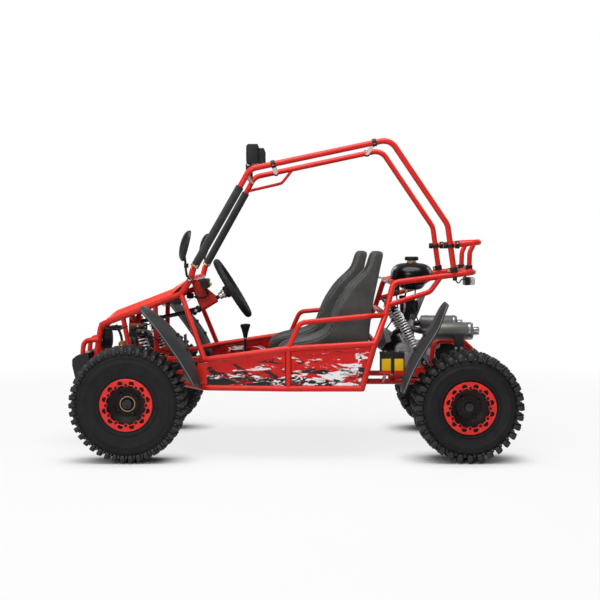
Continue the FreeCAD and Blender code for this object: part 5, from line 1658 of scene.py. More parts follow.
@dataclass
class Engine:
    """Single-cylinder engine with fins, covers, carburettor, air filter and silencers.

    Attributes:
        low: Lower corner of the crankcase, to the rear and right.
        high: Its upper corner, to the front and left.
        rake: Lean of the cylinder over the horizontal, in radians.
        barrel: Length of the cylinder.
        fin: Width of its fins.
        root: Foot of the cylinder's axis.
        lobe: Middle of the lobe on the left cover.
        foot_bolt: Rear one of the two bolts on top of the case.
        output: Middle of the gearbox sprocket.
        inlet: Foot of the carburettor.
        dome: Foot of the carburettor's dome.
        filter_start: Front end of the air filter.
        silencer: Front end of the left silencer.
        strap: Middle of its hanger strap.
        port: Foot of its header pipe.
    """

    low: Vector = spot(-0.6402, -0.110, 0.3095)
    high: Vector = spot(-0.4602, 0.110, 0.4595)
    rake: float = 0.61
    barrel: float = 0.125
    fin: float = 0.112
    root: Vector = spot(-0.4962, 0, 0.4145)
    lobe: Vector = spot(-0.500, 0.100, 0.372)
    foot_bolt: Vector = spot(-0.605, 0.08, 0.4595)
    output: Vector = spot(-0.5572, -0.150, 0.375)
    inlet: Vector = spot(-0.5322, 0, 0.4595)
    dome: Vector = spot(-0.5275, 0, 0.528)
    filter_start: Vector = spot(-0.4922, 0, 0.619)
    silencer: Vector = spot(-0.6022, 0.258, 0.524)
    strap: Vector = spot(-0.7172, 0.2937, 0.4764)
    port: Vector = spot(-0.5322, 0.096, 0.4595)

    def case(self, piece: Piece) -> None:
        """Adds the crankcase halves, covers and their bolts.

        Args:
            piece: The piece that takes them.
        """
        middle = (self.low + self.high) / 2
        size = self.high - self.low
        outline = oval(size.x, size.z, 48, 5.0)
        place = frame_at(Vector((middle.x, self.high.y - 0.012, middle.z)), -Y_AXIS, X_AXIS)
        piece.add(plate(outline, size.y - 0.024, 0.006), CAST_METAL, place)
        seam = oval(size.x - 0.001, size.z - 0.001, 48, 5.0)
        piece.add(plate(seam, 0.008, 0.001), DARK_STEEL,
                  frame_at(Vector((middle.x, 0.004, middle.z)), -Y_AXIS, X_AXIS))
        hub = Vector((self.low.x + 0.063, self.high.y, self.low.z + 0.0825))
        for side, finish in ((1, CAST_METAL), (-1, SATIN_BLACK)):
            across = frame_at(Vector((hub.x, (hub.y - 0.014) * side, hub.z)), Y_AXIS * side, X_AXIS)
            cover = [(0, 0.040), (0.018, 0.040), (0.024, 0.037), (0.026, 0.033), (0.046, 0.030),
                     (0.055, 0.025), (0.060, 0.014), (0.0615, 0), (0, 0)]
            piece.add(turned(cover, 56), finish, across)
            rib = placed(block((0.026, 0.004, 0.006), 0.001), Matrix.Translation((0.038, 0, 0.031)))
            piece.add(Pattern.repeated(rib, 12, math.pi / 6), finish, across)
            bolt = placed(washer_bolt(0.008, 0.005), Matrix.Translation((0.0565, 0, 0.014)))
            piece.add(Pattern.repeated(bolt, 8, math.pi / 4), BRIGHT_ZINC, across)
        lobe = plate(oval(0.08, 0.10, 32, 3.0), 0.022, 0.004)
        piece.add(lobe, CAST_METAL, frame_at(self.lobe, Y_AXIS, X_AXIS))
        foot_bolts = Pattern.repeated(washer_bolt(0.010, 0.006), 2, 0, Vector((0.11, 0, 0)))
        piece.add(foot_bolts, BRIGHT_ZINC, Matrix.Translation(self.foot_bolt))

    def cylinder(self, piece: Piece) -> None:
        """Adds the finned cylinder and its head.

        Args:
            piece: The piece that takes them.
        """
        axis = Vector((math.cos(self.rake), 0, math.sin(self.rake)))
        place = frame_at(self.root, axis, Y_AXIS)
        piece.add(turned([(0, 0), (0.042, 0), (0.042, self.barrel * 0.96), (0, self.barrel * 0.96)],
                         40), SATIN_BLACK, place)
        for start, count, finish in ((0.36, 5, SATIN_BLACK), (0.66, 4, CAST_METAL)):
            fin = plate(oval(self.fin, self.fin * 0.86, 40, 4.0), 0.0026, 0.0006)
            placed(fin, Matrix.Translation((0, 0, self.barrel * start)))
            piece.add(Pattern.repeated(fin, count, 0, Vector((0, 0, 0.0074))), finish, place)
        cap = plate(oval(self.fin * 0.94, self.fin * 0.80, 40, 3.6), 0.016, 0.004)
        piece.add(placed(cap, Matrix.Translation((0, 0, self.barrel * 0.87))), CAST_METAL, place)
        bolt = placed(washer_bolt(0.009, 0.005),
                      Matrix.Translation((0.030, 0.028, self.barrel * 0.87 + 0.016)))
        piece.add(Pattern.repeated(bolt, 4, math.pi / 2), BRIGHT_ZINC, place)

    def carburettor(self) -> None:
        """Builds the carburettor and its round air filter."""
        piece = Piece("carburettor_and_filter")
        base = self.inlet
        upright = frame_at(base, Z_AXIS)
        bowl = [(0, 0), (0.019, 0), (0.021, 0.003), (0.021, 0.022), (0.016, 0.026), (0.016, 0.034),
                (0.022, 0.037), (0.022, 0.058), (0.018, 0.062), (0.012, 0.073), (0, 0.075)]
        piece.add(turned(bowl, 32), CAST_METAL, upright)
        flange = plate(oval(0.052, 0.030, 28, 3.0), 0.006, 0.001)
        piece.add(flange, CAST_METAL, frame_at(base + Vector((0.022, 0, 0.045)), X_AXIS, Y_AXIS))
        manifold = rounded([base + Vector((0.02, 0, 0.045)), base + Vector((0.05, 0, 0.05)),
                            base + Vector((0.075, 0, 0.03))], 0.02)
        piece.add(piped(manifold, 0.012, 16), SATIN_BLACK)
        neck = rounded([base + Vector((0, 0, 0.056)), base + Vector((0.006, 0, 0.09)),
                        self.filter_start - Vector((0.018, 0, 0))], 0.03)
        piece.add(piped(neck, 0.013, 16), HOSE_BLACK)
        dome = [(0, 0), (0.021, 0), (0.0235, 0.004), (0.0235, 0.020), (0.019, 0.027),
                (0.015, 0.030), (0, 0.030)]
        piece.add(turned(dome, 32), CAST_METAL, Matrix.Translation(self.dome))
        piece.add(turned([(0, 0), (0.012, 0), (0.012, 0.022), (0.009, 0.026), (0, 0.026)], 24),
                  BRIGHT_ZINC, frame_at(self.dome + Vector((0, 0.018, 0.013)), Y_AXIS))
        self.air_filter(piece)
        piece.done("chassis", ["carburettor"])

    def air_filter(self, piece: Piece) -> None:
        """Adds the round air filter over the carburettor.

        Args:
            piece: The piece that takes it.
        """
        piece.add(turned([(0, 0), (0.016, 0), (0.016, 0.010), (0.013, 0.014), (0, 0.014)], 28),
                  SATIN_BLACK, frame_at(self.filter_start + Vector((-0.010, 0, 0.0335)), Z_AXIS))
        canister = [(0, 0), (0.029, 0), (0.034, 0.003), (0.0355, 0.008), (0.0355, 0.03),
                    (0.034, 0.032), (0.034, 0.036), (0.0355, 0.038), (0.0355, 0.062),
                    (0.033, 0.065), (0.0265, 0.066), (0.0265, 0.076), (0.024, 0.0785), (0, 0.0795)]
        along = frame_at(self.filter_start, -X_AXIS)
        piece.add(turned(canister, 40), SATIN_BLACK, along)
        band = turned([(0.0350, 0.012), (0.0362, 0.012), (0.0362, 0.020), (0.0350, 0.020)], 40,
                      closed=True)
        piece.add(band, STEEL, along)
        pleat = placed(block((0.0022, 0.003, 0.022), 0.0006, 1),
                       Matrix.Translation((0.0352, 0, 0.052)))
        piece.add(Pattern.repeated(pleat, 30, 2 * math.pi / 30), SATIN_BLACK, along)

    @staticmethod
    def silencer_can(piece: Piece, along: Matrix) -> None:
        """Adds one silencer's can with its cap, rivets, tip and bands.

        Args:
            piece: The piece that takes it.
            along: Place of its front end, with Z to the rear.
        """
        can = [(0, 0), (0.014, 0), (0.030, 0.006), (0.0365, 0.010), (0.0378, 0.016),
               (0.0378, 0.158), (0.0365, 0.161), (0, 0.161)]
        cap = [(0, 0.150), (0.0372, 0.160), (0.0380, 0.163), (0.0380, 0.170), (0.034, 0.176),
               (0.020, 0.178), (0, 0.178)]
        for profile in (can, cap):
            piece.add(turned(profile, 56), SILENCER_GREY, along)
        collar = [(0.0376, 0.1575), (0.0384, 0.158), (0.0384, 0.164), (0.0376, 0.1645)]
        face = [(0.012, 0.1785), (0.034, 0.1772), (0.034, 0.1785), (0.014, 0.1815)]
        for profile in (collar, face):
            piece.add(turned(profile, 56, closed=True), STEEL, along)
        tip = [(0.0112, 0.170), (0.0150, 0.172), (0.0150, 0.182), (0.0178, 0.184), (0.0178, 0.200),
               (0.0165, 0.2055), (0.0135, 0.2055), (0.0125, 0.190), (0.0112, 0.180)]
        piece.add(turned(tip, 40, closed=True), STEEL, along)
        plug = [(0, 0.181), (0.0125, 0.181), (0.0125, 0.183), (0, 0.183)]
        piece.add(turned(plug, 32), SATIN_BLACK, along)
        rivet = placed(turned([(0.0, 0.0012), (0.0016, 0.0008), (0.0022, 0)], 10),
                       frame_at(Vector((0.0376, 0, 0.166)), X_AXIS))
        piece.add(Pattern.repeated(rivet, 10, math.pi / 5), STEEL, along)
        for place in (0.028, 0.078):
            band = [(0.0376, place), (0.0386, place), (0.0386, place + 0.012),
                    (0.0376, place + 0.012)]
            piece.add(turned(band, 56, closed=True), SILENCER_GREY, along)

    def silencers(self) -> None:
        """Builds the two silencers with their straps and header pipes."""
        for side in (1, -1):
            piece = Piece(f"silencer_{'left' if side > 0 else 'right'}")
            start, strap, port = (sided(point, side)
                                  for point in (self.silencer, self.strap, self.port))
            self.silencer_can(piece, frame_at(start, -X_AXIS, Z_AXIS))
            piece.add(block((0.0435, 0.0055, 0.0705), 0.0008), GUARD_GREY,
                      Matrix.Translation(strap))
            for x in (-0.012, 0.012):
                place = frame_at(strap + Vector((x, 0.0025 * side, -0.0244)), Y_AXIS * side)
                piece.add(washer_bolt(0.008, 0.004), BRIGHT_ZINC, place)
            path = rounded([port, Vector((port.x, port.y, start.z)), start + Vector((0.042, 0, 0)),
                            start - Vector((0.006, 0, 0))], 0.035, 8)
            piece.add(piped(path, 0.0135, 20), DARK_STEEL)
            piece.add(turned([(0, 0), (0.021, 0), (0.021, 0.006), (0, 0.006)], 28), BRIGHT_ZINC,
                      frame_at(port + Vector((0, 0, 0.0002)), Z_AXIS))
            piece.done("chassis", ["mufflers"])

    def build(self) -> None:
        """Builds the engine and what hangs on it."""
        piece = Piece("engine_block")
        self.case(piece)
        self.cylinder(piece)
        small = [(0, -0.006), (0.0285, -0.004), (0.0285, 0.004), (0, 0.006)]
        output = frame_at(self.output, Y_AXIS)
        piece.add(turned(small, 28), STEEL, output)
        piece.add(turned([(0, -0.004), (0.012, -0.004), (0.012, 0.041), (0, 0.041)], 20), STEEL,
                  output)
        piece.done("chassis", ["engine"])
        self.carburettor()
        self.silencers()


@dataclass
class Tank:
    """Rounded black fuel tank with a pressed seam, cap, neck and tap.

    Attributes:
        centre: Middle of the tank.
        half: Its half length, half width and half height.
        tuck: Share by which the lower half is narrower than the upper.
        levels: Rings between its bottom and its top.
        hose_end: Where the fuel hose ends at the carburettor.
    """

    centre: Vector = spot(-0.5422, 0, 0.752)
    half: Vector = spot(0.094, 0.132, 0.061)
    tuck: float = 0.30
    levels: int = 22
    hose_end: Vector = spot(-0.520, 0.012, 0.530)

    def shell(self) -> bmesh.types.BMesh:
        """The tank's body, flatter than a ball and tucked in below its seam.

        Returns:
            The form.
        """
        rings = []
        for i in range(self.levels + 1):
            lat = -math.pi / 2 + math.pi * i / self.levels
            width = max(math.cos(lat), 0.02) ** 0.55
            height = math.copysign(abs(math.sin(lat)) ** 0.86, lat) * self.half.z
            tuck = 1 - self.tuck * min(1.0, max(0.0, -lat / 0.5)) ** 2
            outline = oval(2 * self.half.x * width, 2 * self.half.y * width, 56, 2.6)
            rings.append([Vector((x * tuck, y * tuck, height)) for x, y in outline])
        return skin(rings)

    def build(self) -> None:
        """Builds the tank."""
        piece = Piece("fuel_tank_shell")
        piece.add(self.shell(), GLOSS_BLACK, Matrix.Translation(self.centre))
        seam = plate(oval(2 * self.half.x + 0.010, 2 * self.half.y + 0.010, 64, 2.6), 0.004, 0.0012)
        piece.add(seam, GLOSS_BLACK, Matrix.Translation(self.centre - Vector((0, 0, 0.002))))
        top = self.centre + Vector((0, 0, self.half.z))
        neck = [(0, -0.006), (0.025, -0.006), (0.025, 0.001), (0.0205, 0.003), (0.0205, 0.012),
                (0, 0.012)]
        piece.add(turned(neck, 40), ZINC_GOLD, Matrix.Translation(top))
        cap = [(0, 0.011), (0.0285, 0.011), (0.030, 0.013), (0.030, 0.025), (0.028, 0.0285),
               (0.010, 0.0288), (0, 0.0288)]
        piece.add(turned(cap, 40), SATIN_BLACK, Matrix.Translation(top))
        rib = placed(block((0.002, 0.003, 0.011), 0.0006, 1),
                     Matrix.Translation((0.0300, 0, 0.019)))
        piece.add(Pattern.repeated(rib, 24, math.pi / 12), SATIN_BLACK, Matrix.Translation(top))
        for side in (1, -1):
            outline = [(-0.006, -0.072), (0.016, -0.072), (0.016, 0.066), (0.008, 0.078),
                       (-0.006, 0.078)]
            foot = plate(outline, 0.003, 0.0006)
            place = frame_at(self.centre + Vector((-0.040, 0.195 * side, -0.004)), Z_AXIS, X_AXIS)
            piece.add(foot, SATIN_BLACK, place)
            bolt = placed(washer_bolt(0.010, 0.005),
                          Matrix.Translation((0.005, 0.055 * side, 0.003)))
            piece.add(bolt, BRIGHT_ZINC, place)
        low = self.centre - Vector((-0.03, -0.05, self.half.z - 0.004))
        piece.add(piped([low, low - Vector((0, 0, 0.016))], 0.007, 14), ZINC_GOLD)
        path = rounded([low - Vector((0, 0, 0.014)), low - Vector((-0.006, 0.004, 0.045)),
                        low - Vector((0.03, 0.02, 0.075)), self.hose_end], 0.03, 8)
        piece.add(piped(path, 0.0036, 12), HOSE_BLACK)
        piece.done("chassis", ["fuel_tank"])


@dataclass
class Battery:
    """Battery on its tray with a strap, terminals and two plain yellow faces.

    Attributes:
        low: Lower corner of the battery, to the rear and right.
        arm_root: Where the tray's arm leaves the frame.
        arm_end: Where it ends under the tray.
    """

    low: Vector = spot(-0.4822, 0.300, 0.350)
    arm_root: Vector = spot(-0.4022, 0.184, 0.300)
    arm_end: Vector = spot(-0.4022, 0.3375, 0.350)

    def build(self) -> None:
        """Builds the battery and its tray."""
        piece = Piece("battery_box")
        middle = self.low + Vector((0.053, 0.0375, 0.047))
        piece.add(block((0.100, 0.069, 0.086), 0.003, 3), SATIN_BLACK, Matrix.Translation(middle))
        lid = self.low + Vector((0.053, 0.0375, 0.0855))
        piece.add(block((0.102, 0.071, 0.011), 0.002, 2), SATIN_BLACK, Matrix.Translation(lid))
        for x in (-0.0265, 0.0265):
            for side in (1, -1):
                face = plate([(-0.019, -0.026), (0.019, -0.026), (0.019, 0.024), (-0.019, 0.024)],
                             0.0012, 0.0003)
                place = frame_at(middle + Vector((x, 0.0345 * side, -0.008)), Y_AXIS * side,
                                 X_AXIS * side)
                piece.add(face, YELLOW_LABEL, place)
            piece.add(block((0.010, 0.009, 0.007), 0.001), ZINC_GOLD,
                      Matrix.Translation(middle + Vector((x, -0.02, 0.044))))
        outline = [(0.0372, -0.047), (0.0372, 0.0455), (-0.0372, 0.0455), (-0.0372, -0.047),
                   (-0.0386, -0.047), (-0.0386, 0.047), (0.0386, 0.047), (0.0386, -0.047)]
        piece.add(plate(outline, 0.013, 0.0004), HOSE_BLACK,
                  frame_at(middle + Vector((-0.0065, 0, 0)), X_AXIS, Y_AXIS))
        tray = plate([(-0.055, -0.0375), (0.055, -0.0375), (0.055, 0.0375), (-0.055, 0.0375)],
                     0.003, 0.0006)
        piece.add(tray, SATIN_BLACK, Matrix.Translation(self.low + Vector((0.055, 0.0375, 0))))
        lip = block((0.110, 0.0025, 0.014), 0.0006)
        piece.add(lip, FRAME_RED, Matrix.Translation(self.low + Vector((0.055, 0.0738, 0.007))))
        piece.add(piped([self.arm_root, self.arm_end], 0.007, 16), FRAME_RED)
        piece.add(placed(washer_bolt(0.010, 0.006),
                         frame_at(self.low + Vector((0.055, 0.0375, 0)), -Z_AXIS)), BRIGHT_ZINC)
        piece.done("chassis", ["battery"])


# Seats


@dataclass
class Seat:
    """Bucket seat: a padded shell with raised sides, sewn channels and piped seams.

    Attributes:
        name: Which seat it is.
        heel: Place of the seat's lower back edge, on its centre line.
        channel: Depth of the sewn channels.
        weave: Step of the cover's mesh.
        frames: Frames of the stuffing's run.
        pressure: Pressure of the stuffing.
        swell: How far the stuffing may move a point of the cover.
    """

    name: str
    heel: Vector
    channel: float = 0.006
    weave: float = 0.007
    frames: int = 20
    pressure: float = 4.0
    swell: float = 0.012

    def stations(self) -> list[tuple[float, ...]]:
        """Stations along the seat from its front edge over the back to its head.

        Returns:
            For each: pad x and z, crest x and z, shell x and z, half width.
        """
        return [
            (0.397, 0.060, 0.397, 0.066, 0.397, 0.006, 0.158),
            (0.385, 0.078, 0.380, 0.110, 0.380, 0.002, 0.166),
            (0.330, 0.088, 0.330, 0.138, 0.330, 0.001, 0.172),
            (0.240, 0.078, 0.235, 0.158, 0.240, 0.001, 0.176),
            (0.150, 0.070, 0.175, 0.190, 0.140, 0.001, 0.178),
            (0.080, 0.085, 0.150, 0.250, 0.050, 0.003, 0.178),
            (0.045, 0.130, 0.128, 0.300, 0.008, 0.045, 0.178),
            (0.025, 0.200, 0.100, 0.345, 0.000, 0.130, 0.176),
            (0.008, 0.270, 0.070, 0.385, -0.010, 0.230, 0.170),
            (-0.006, 0.335, 0.036, 0.418, -0.022, 0.310, 0.158),
            (-0.016, 0.390, 0.010, 0.445, -0.036, 0.375, 0.143),
            (-0.022, 0.435, -0.002, 0.468, -0.048, 0.430, 0.130),
            (-0.026, 0.475, -0.010, 0.495, -0.058, 0.475, 0.121),
            (-0.030, 0.505, -0.018, 0.515, -0.066, 0.510, 0.112),
            (-0.040, 0.526, -0.034, 0.528, -0.062, 0.524, 0.098)]

    def sampled(self, share: float) -> list[float]:
        """Station values at a share of the way along the seat, on a smooth line.

        Args:
            share: Place along the seat, 0 to 1.

        Returns:
            The same values as a station's.
        """
        rows = self.stations()
        place = share * (len(rows) - 1)
        i = min(int(place), len(rows) - 2)
        t = place - i
        around = [rows[max(i - 1, 0)], rows[i], rows[i + 1], rows[min(i + 2, len(rows) - 1)]]
        return [0.5 * (2 * b + (c - a) * t + (2 * a - 5 * b + 4 * c - d) * t * t
                       + (3 * b - a - 3 * c + d) * t ** 3)
                for a, b, c, d in zip(*around)]

    def ring(self, share: float) -> list[Vector]:
        """Ring of points round the seat at one station.

        Args:
            share: Share of the way along the seat.

        Returns:
            Points over the pad from side to side, then back behind the shell.
        """
        pad_x, pad_z, crest_x, crest_z, back_x, back_z, half = self.sampled(share)
        front, back = [], []
        steps = 36
        for i in range(steps + 1):
            v = -1 + 2 * i / steps
            rise = min(1.0, max(0.0, (abs(v) - 0.50) / 0.34))
            rise = rise * rise * (3 - 2 * rise)
            fall = max(0.0, (abs(v) - 0.86) / 0.14)
            x = pad_x + (crest_x - pad_x) * rise
            z = pad_z + (crest_z - pad_z) * rise
            seam = math.exp(-((abs(v) - 0.53) / 0.025) ** 2) * self.channel
            rib = 0.0
            if abs(v) < 0.5:
                rib = self.channel * 0.8 * math.exp(-(((share * 17) % 1 - 0.5) / 0.10) ** 2) * (1
                        - (v / 0.5) ** 8)
            bulge = 0.003 * (1 - (v / 0.5) ** 2) if abs(v) < 0.5 else 0.0
            lift = bulge - seam - rib
            out = Vector((crest_x - back_x, 0, crest_z - back_z)).normalized()
            x += out.x * lift - out.x * 0.010 * fall ** 2
            z += out.z * lift - out.z * 0.010 * fall ** 2
            front.append(Vector((x, v * half * (1 - 0.012 * fall ** 2), z)))
        for i in range(1, 12):
            v = 1 - 2 * i / 12
            sink = 0.012 * abs(v) ** 6
            out = Vector((crest_x - back_x, 0, crest_z - back_z)).normalized()
            back.append(Vector((back_x + out.x * sink, v * half * 0.985, back_z + out.z * sink)))
        return front + back

    def sewn(self) -> list[Vector]:
        """Points that the stuffing can't move: seams, sewn channels, edges and the shell's back.

        Returns:
            The points.
        """
        points = []
        count = 150
        for i in range(count + 1):
            ring = self.ring(i / count)
            points += [(ring[8] + ring[9]) / 2, (ring[27] + ring[28]) / 2, *ring[:3], *ring[34:]]
        for k in range(1, 16):
            points += self.ring((k + 0.5) / 17)[9:28]
        return points

    def stuffed(self) -> bmesh.types.BMesh:
        """Cover of the seat after its stuffing has pushed it out between the sewn lines.

        Returns:
            The cover, from a cloth simulation whose result is kept as a plain mesh.
        """
        form = skin([self.ring(i / 120) for i in range(121)])
        mesh = bpy.data.meshes.new("cover")
        form.to_mesh(mesh)
        form.free()
        cover = bpy.data.objects.new("cover", mesh)
        scene = bpy.context.scene
        scene.collection.objects.link(cover)
        remesh = cover.modifiers.new("even_mesh", "REMESH")
        remesh.mode = "VOXEL"
        remesh.voxel_size = self.weave
        depsgraph = bpy.context.evaluated_depsgraph_get()
        even = bpy.data.meshes.new_from_object(cover.evaluated_get(depsgraph), depsgraph=depsgraph)
        cover.modifiers.remove(remesh)
        cover.data = even
        self.press(cover)
        result = bmesh.new()
        result.from_mesh(cover.data)
        bpy.data.objects.remove(cover)
        for used in (mesh, even):
            bpy.data.meshes.remove(used)
        return result

    def press(self, cover: bpy.types.Object) -> None:
        """Blows the cover up between its sewn lines with Blender's cloth.

        Args:
            cover: The evenly meshed cover, whose mesh takes the result.
        """
        lines = self.sewn()
        tree = KDTree(len(lines))
        for number, point in enumerate(lines):
            tree.insert(point, number)
        tree.balance()
        held = cover.vertex_groups.new(name="sewn")
        for vert in cover.data.vertices:
            far = tree.find(vert.co)[2]
            held.add([vert.index], min(1.0, max(0.0, 1.6 - far / 0.0075)), "REPLACE")
        cloth = cover.modifiers.new("stuffing", "CLOTH")
        settings = cloth.settings
        settings.vertex_group_mass = held.name
        settings.quality = 4
        settings.mass = 0.3
        settings.use_pressure = True
        settings.uniform_pressure_force = self.pressure
        settings.effector_weights.gravity = 0
        cloth.point_cache.frame_start, cloth.point_cache.frame_end = 1, self.frames
        scene = bpy.context.scene
        for frame_number in range(1, self.frames + 1):
            scene.frame_set(frame_number)
        moved = cover.evaluated_get(bpy.context.evaluated_depsgraph_get()).data
        places = [vert.co.copy() for vert in moved.vertices]
        cover.modifiers.remove(cloth)
        scene.frame_set(1)
        for vert, place in zip(cover.data.vertices, places):
            step = place - vert.co
            if step.length > self.swell:
                step = step.normalized() * self.swell
            vert.co += step
        LOG.info("seat cover pressed out on %d points", len(places))

    def build(self, cover: bmesh.types.BMesh) -> bpy.types.Object:
        """Builds the seat.

        Args:
            cover: The stuffed cover round the heel, which is kept.

        Returns:
            The seat's object.
        """
        piece = Piece(self.name)
        piece.add(cover.copy(), SEAT_VINYL, Matrix.Translation(self.heel))
        piece.finishes.append(SEAT_SIDE)
        piece.form.normal_update()
        for face in piece.form.faces:
            if abs(face.normal.y) > 0.62 or face.normal.x < -0.5:
                face.material_index = 1
        count = 120
        for index in (8, 27):
            line = []
            for i in range(6, count - 3, 2):
                ring = self.ring(i / count)
                line.append(self.heel + (ring[index] + ring[index + 1]) / 2)
            piece.add(piped(line, 0.0022, 8), STITCH_GREY)
        for index in (1, 35):
            line = [self.heel + self.ring(i / count)[index] for i in range(2, count - 1, 2)]
            piece.add(piped(line, 0.0034, 10), SEAT_SIDE)
        made = piece.done("chassis", ["seats"])
        smooth = made.modifiers.new("rounding", "SUBSURF")
        smooth.levels = smooth.render_levels = 1
        return made


class Seats:
    """The two seats, taken from the places of their solids."""

    @staticmethod
    def build() -> None:
        """Builds both seats where their solids stand."""
        verts = [vert.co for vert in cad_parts["seats"].data.vertices]
        cover = None
        for side, name in ((1, "seat_left"), (-1, "seat_right")):
            mine = [co for co in verts if co.y * side > 0]
            low = Vector([min(co[i] for co in mine) for i in range(3)])
            high = Vector([max(co[i] for co in mine) for i in range(3)])
            seat = Seat(name, Vector((high.x - 0.400, (low.y + high.y) / 2, low.z)))
            cover = cover or seat.stuffed()
            seat.build(cover)
        cover.free()


# Controls


@dataclass
class Steering:
    """Steering wheel with a ribbed grip, flat spokes and a bolted hub.

    Attributes:
        centre: Middle of the hub, on the column's axis.
        rake: Slope of the column, in radians.
        radius: Radius of the rim's centre line.
        grip: Radius of the rim's section.
        dish: How far the rim stands over the hub.
        column: How far the upper column reaches below the hub's middle.
        spokes: Angles of the spokes, in degrees.
        rim_steps: Sections round the rim.
    """

    centre: Vector = spot(0.2758, 0.210, 0.692)
    rake: float = 0.55
    radius: float = 0.131
    grip: float = 0.0142
    dish: float = 0.028
    column: float = 0.1525
    spokes: tuple[int, ...] = (90, 210, 330)
    rim_steps: int = 144

    def rim(self) -> bmesh.types.BMesh:
        """The rim's grip, finely ribbed.

        Returns:
            The form.
        """
        rings = []
        for i in range(self.rim_steps):
            t = 2 * math.pi * i / self.rim_steps
            spoke = Vector((math.cos(t), math.sin(t), 0))
            ripple = self.grip * (1 + 0.02 * math.cos(t * 30))
            rings.append([spoke * (self.radius + ripple * math.cos(a))
                          + Vector((0, 0, self.dish + ripple * math.sin(a)))
                          for a in (2 * math.pi * k / 20 for k in range(20))])
        return skin(rings, caps=False, looped=True)

    def build(self) -> None:
        """Builds the steering wheel and its upper column."""
        axis = Vector((math.cos(self.rake), 0, -math.sin(self.rake)))
        place = frame_at(self.centre, -axis, Z_AXIS)
        piece = Piece("steering_wheel_grip")
        piece.add(self.rim(), GRIP_BLACK, place)
        for turn in self.spokes:
            angle = math.radians(turn)
            run = Vector((math.cos(angle), math.sin(angle), 0))
            ends = [run * 0.012 + Vector((0, 0, 0.004)),
                    run * 0.06 + Vector((0, 0, self.dish * 0.35)),
                    run * (self.radius - 0.004) + Vector((0, 0, self.dish))]
            wide = run.cross(Z_AXIS)
            rings = [[end + wide * (w * side_w) + Vector((0, 0, h)) for w,
                      h in ((-1, -0.0015), (1, -0.0015), (1, 0.0015), (-1, 0.0015))]
                     for end, side_w in zip(ends, (0.016, 0.011, 0.014))]
            piece.add(skin(rings), SATIN_BLACK, place)
            hole = [(0.004, 0.0016), (0.006, 0.0022), (0.006, -0.0022), (0.004, -0.0016)]
            piece.add(turned(hole, 18, closed=True), STEEL,
                      place @ Matrix.Translation(run * 0.075 + Vector((0, 0, self.dish * 0.46))))
        hub = [(0, -0.010), (0.024, -0.010), (0.027, -0.006), (0.027, 0.003), (0.022, 0.007),
               (0, 0.007)]
        piece.add(turned(hub, 36), SATIN_BLACK, place)
        boss = [(0, -0.010), (0.019, -0.010), (0.0205, -0.013), (0.0205, -0.020), (0.016, -0.024),
                (0.016, -0.038), (0, -0.038)]
        piece.add(turned(boss, 30), BRIGHT_ZINC, place)
        cap = [(0, 0.006), (0.018, 0.006), (0.017, 0.010), (0.008, 0.012), (0, 0.012)]
        piece.add(turned(cap, 36), GRIP_BLACK, place)
        bolt = placed(washer_bolt(0.007, 0.003), Matrix.Translation((0.022, 0, 0.006)))
        piece.add(Pattern.repeated(bolt, 3, 2 * math.pi / 3), STEEL, place)
        stalk = [(0, -0.010), (0.009, -0.010), (0.009, -self.column), (0, -self.column)]
        piece.add(turned(stalk, 24), SATIN_BLACK, place)
        piece.done("steering_wheel", ["steering_wheel"])


@dataclass
class Lever:
    """Gear lever with its moulded knob and rubber boot.

    Attributes:
        foot: Middle of the boot's foot, on the floor.
    """

    foot: Vector = spot(0.2068, 0, 0.3125)

    def build(self) -> None:
        """Builds the lever."""
        piece = Piece("gear_lever_knob")
        place = Matrix.Translation(self.foot)
        boot = [(0.0, 0.0), (0.024, 0.0), (0.024, 0.003), (0.019, 0.006), (0.020, 0.009),
                (0.015, 0.013), (0.016, 0.017), (0.011, 0.021),
                (0.012, 0.025), (0.0065, 0.032), (0, 0.032)]
        piece.add(turned(boot, 32), HOSE_BLACK, place)
        piece.add(piped([Vector((0, 0, 0.02)), Vector((0, 0, 0.168))], 0.0058, 16), SATIN_BLACK,
                  place)
        piece.add(placed(nut(0.014, 0.007), Matrix.Translation((0, 0, 0.158))), BRIGHT_ZINC, place)
        rings = []
        for height, wide, deep in ((0.165, 0.017, 0.017), (0.170, 0.020, 0.020),
                                   (0.186, 0.026, 0.025), (0.203, 0.036, 0.032),
                                   (0.216, 0.0445, 0.037), (0.2225, 0.0455, 0.037),
                                   (0.2255, 0.040, 0.032), (0.2268, 0.018, 0.014)):
            rings.append([Vector((x, y, height - 0.10 * max(0.0, x) * (height > 0.21))) for x,
                          y in oval(wide, deep, 28, 2.4)])
        piece.add(skin(rings), GRIP_BLACK, place)
        piece.done("chassis", ["gear_lever"])


# Lamps and mirrors


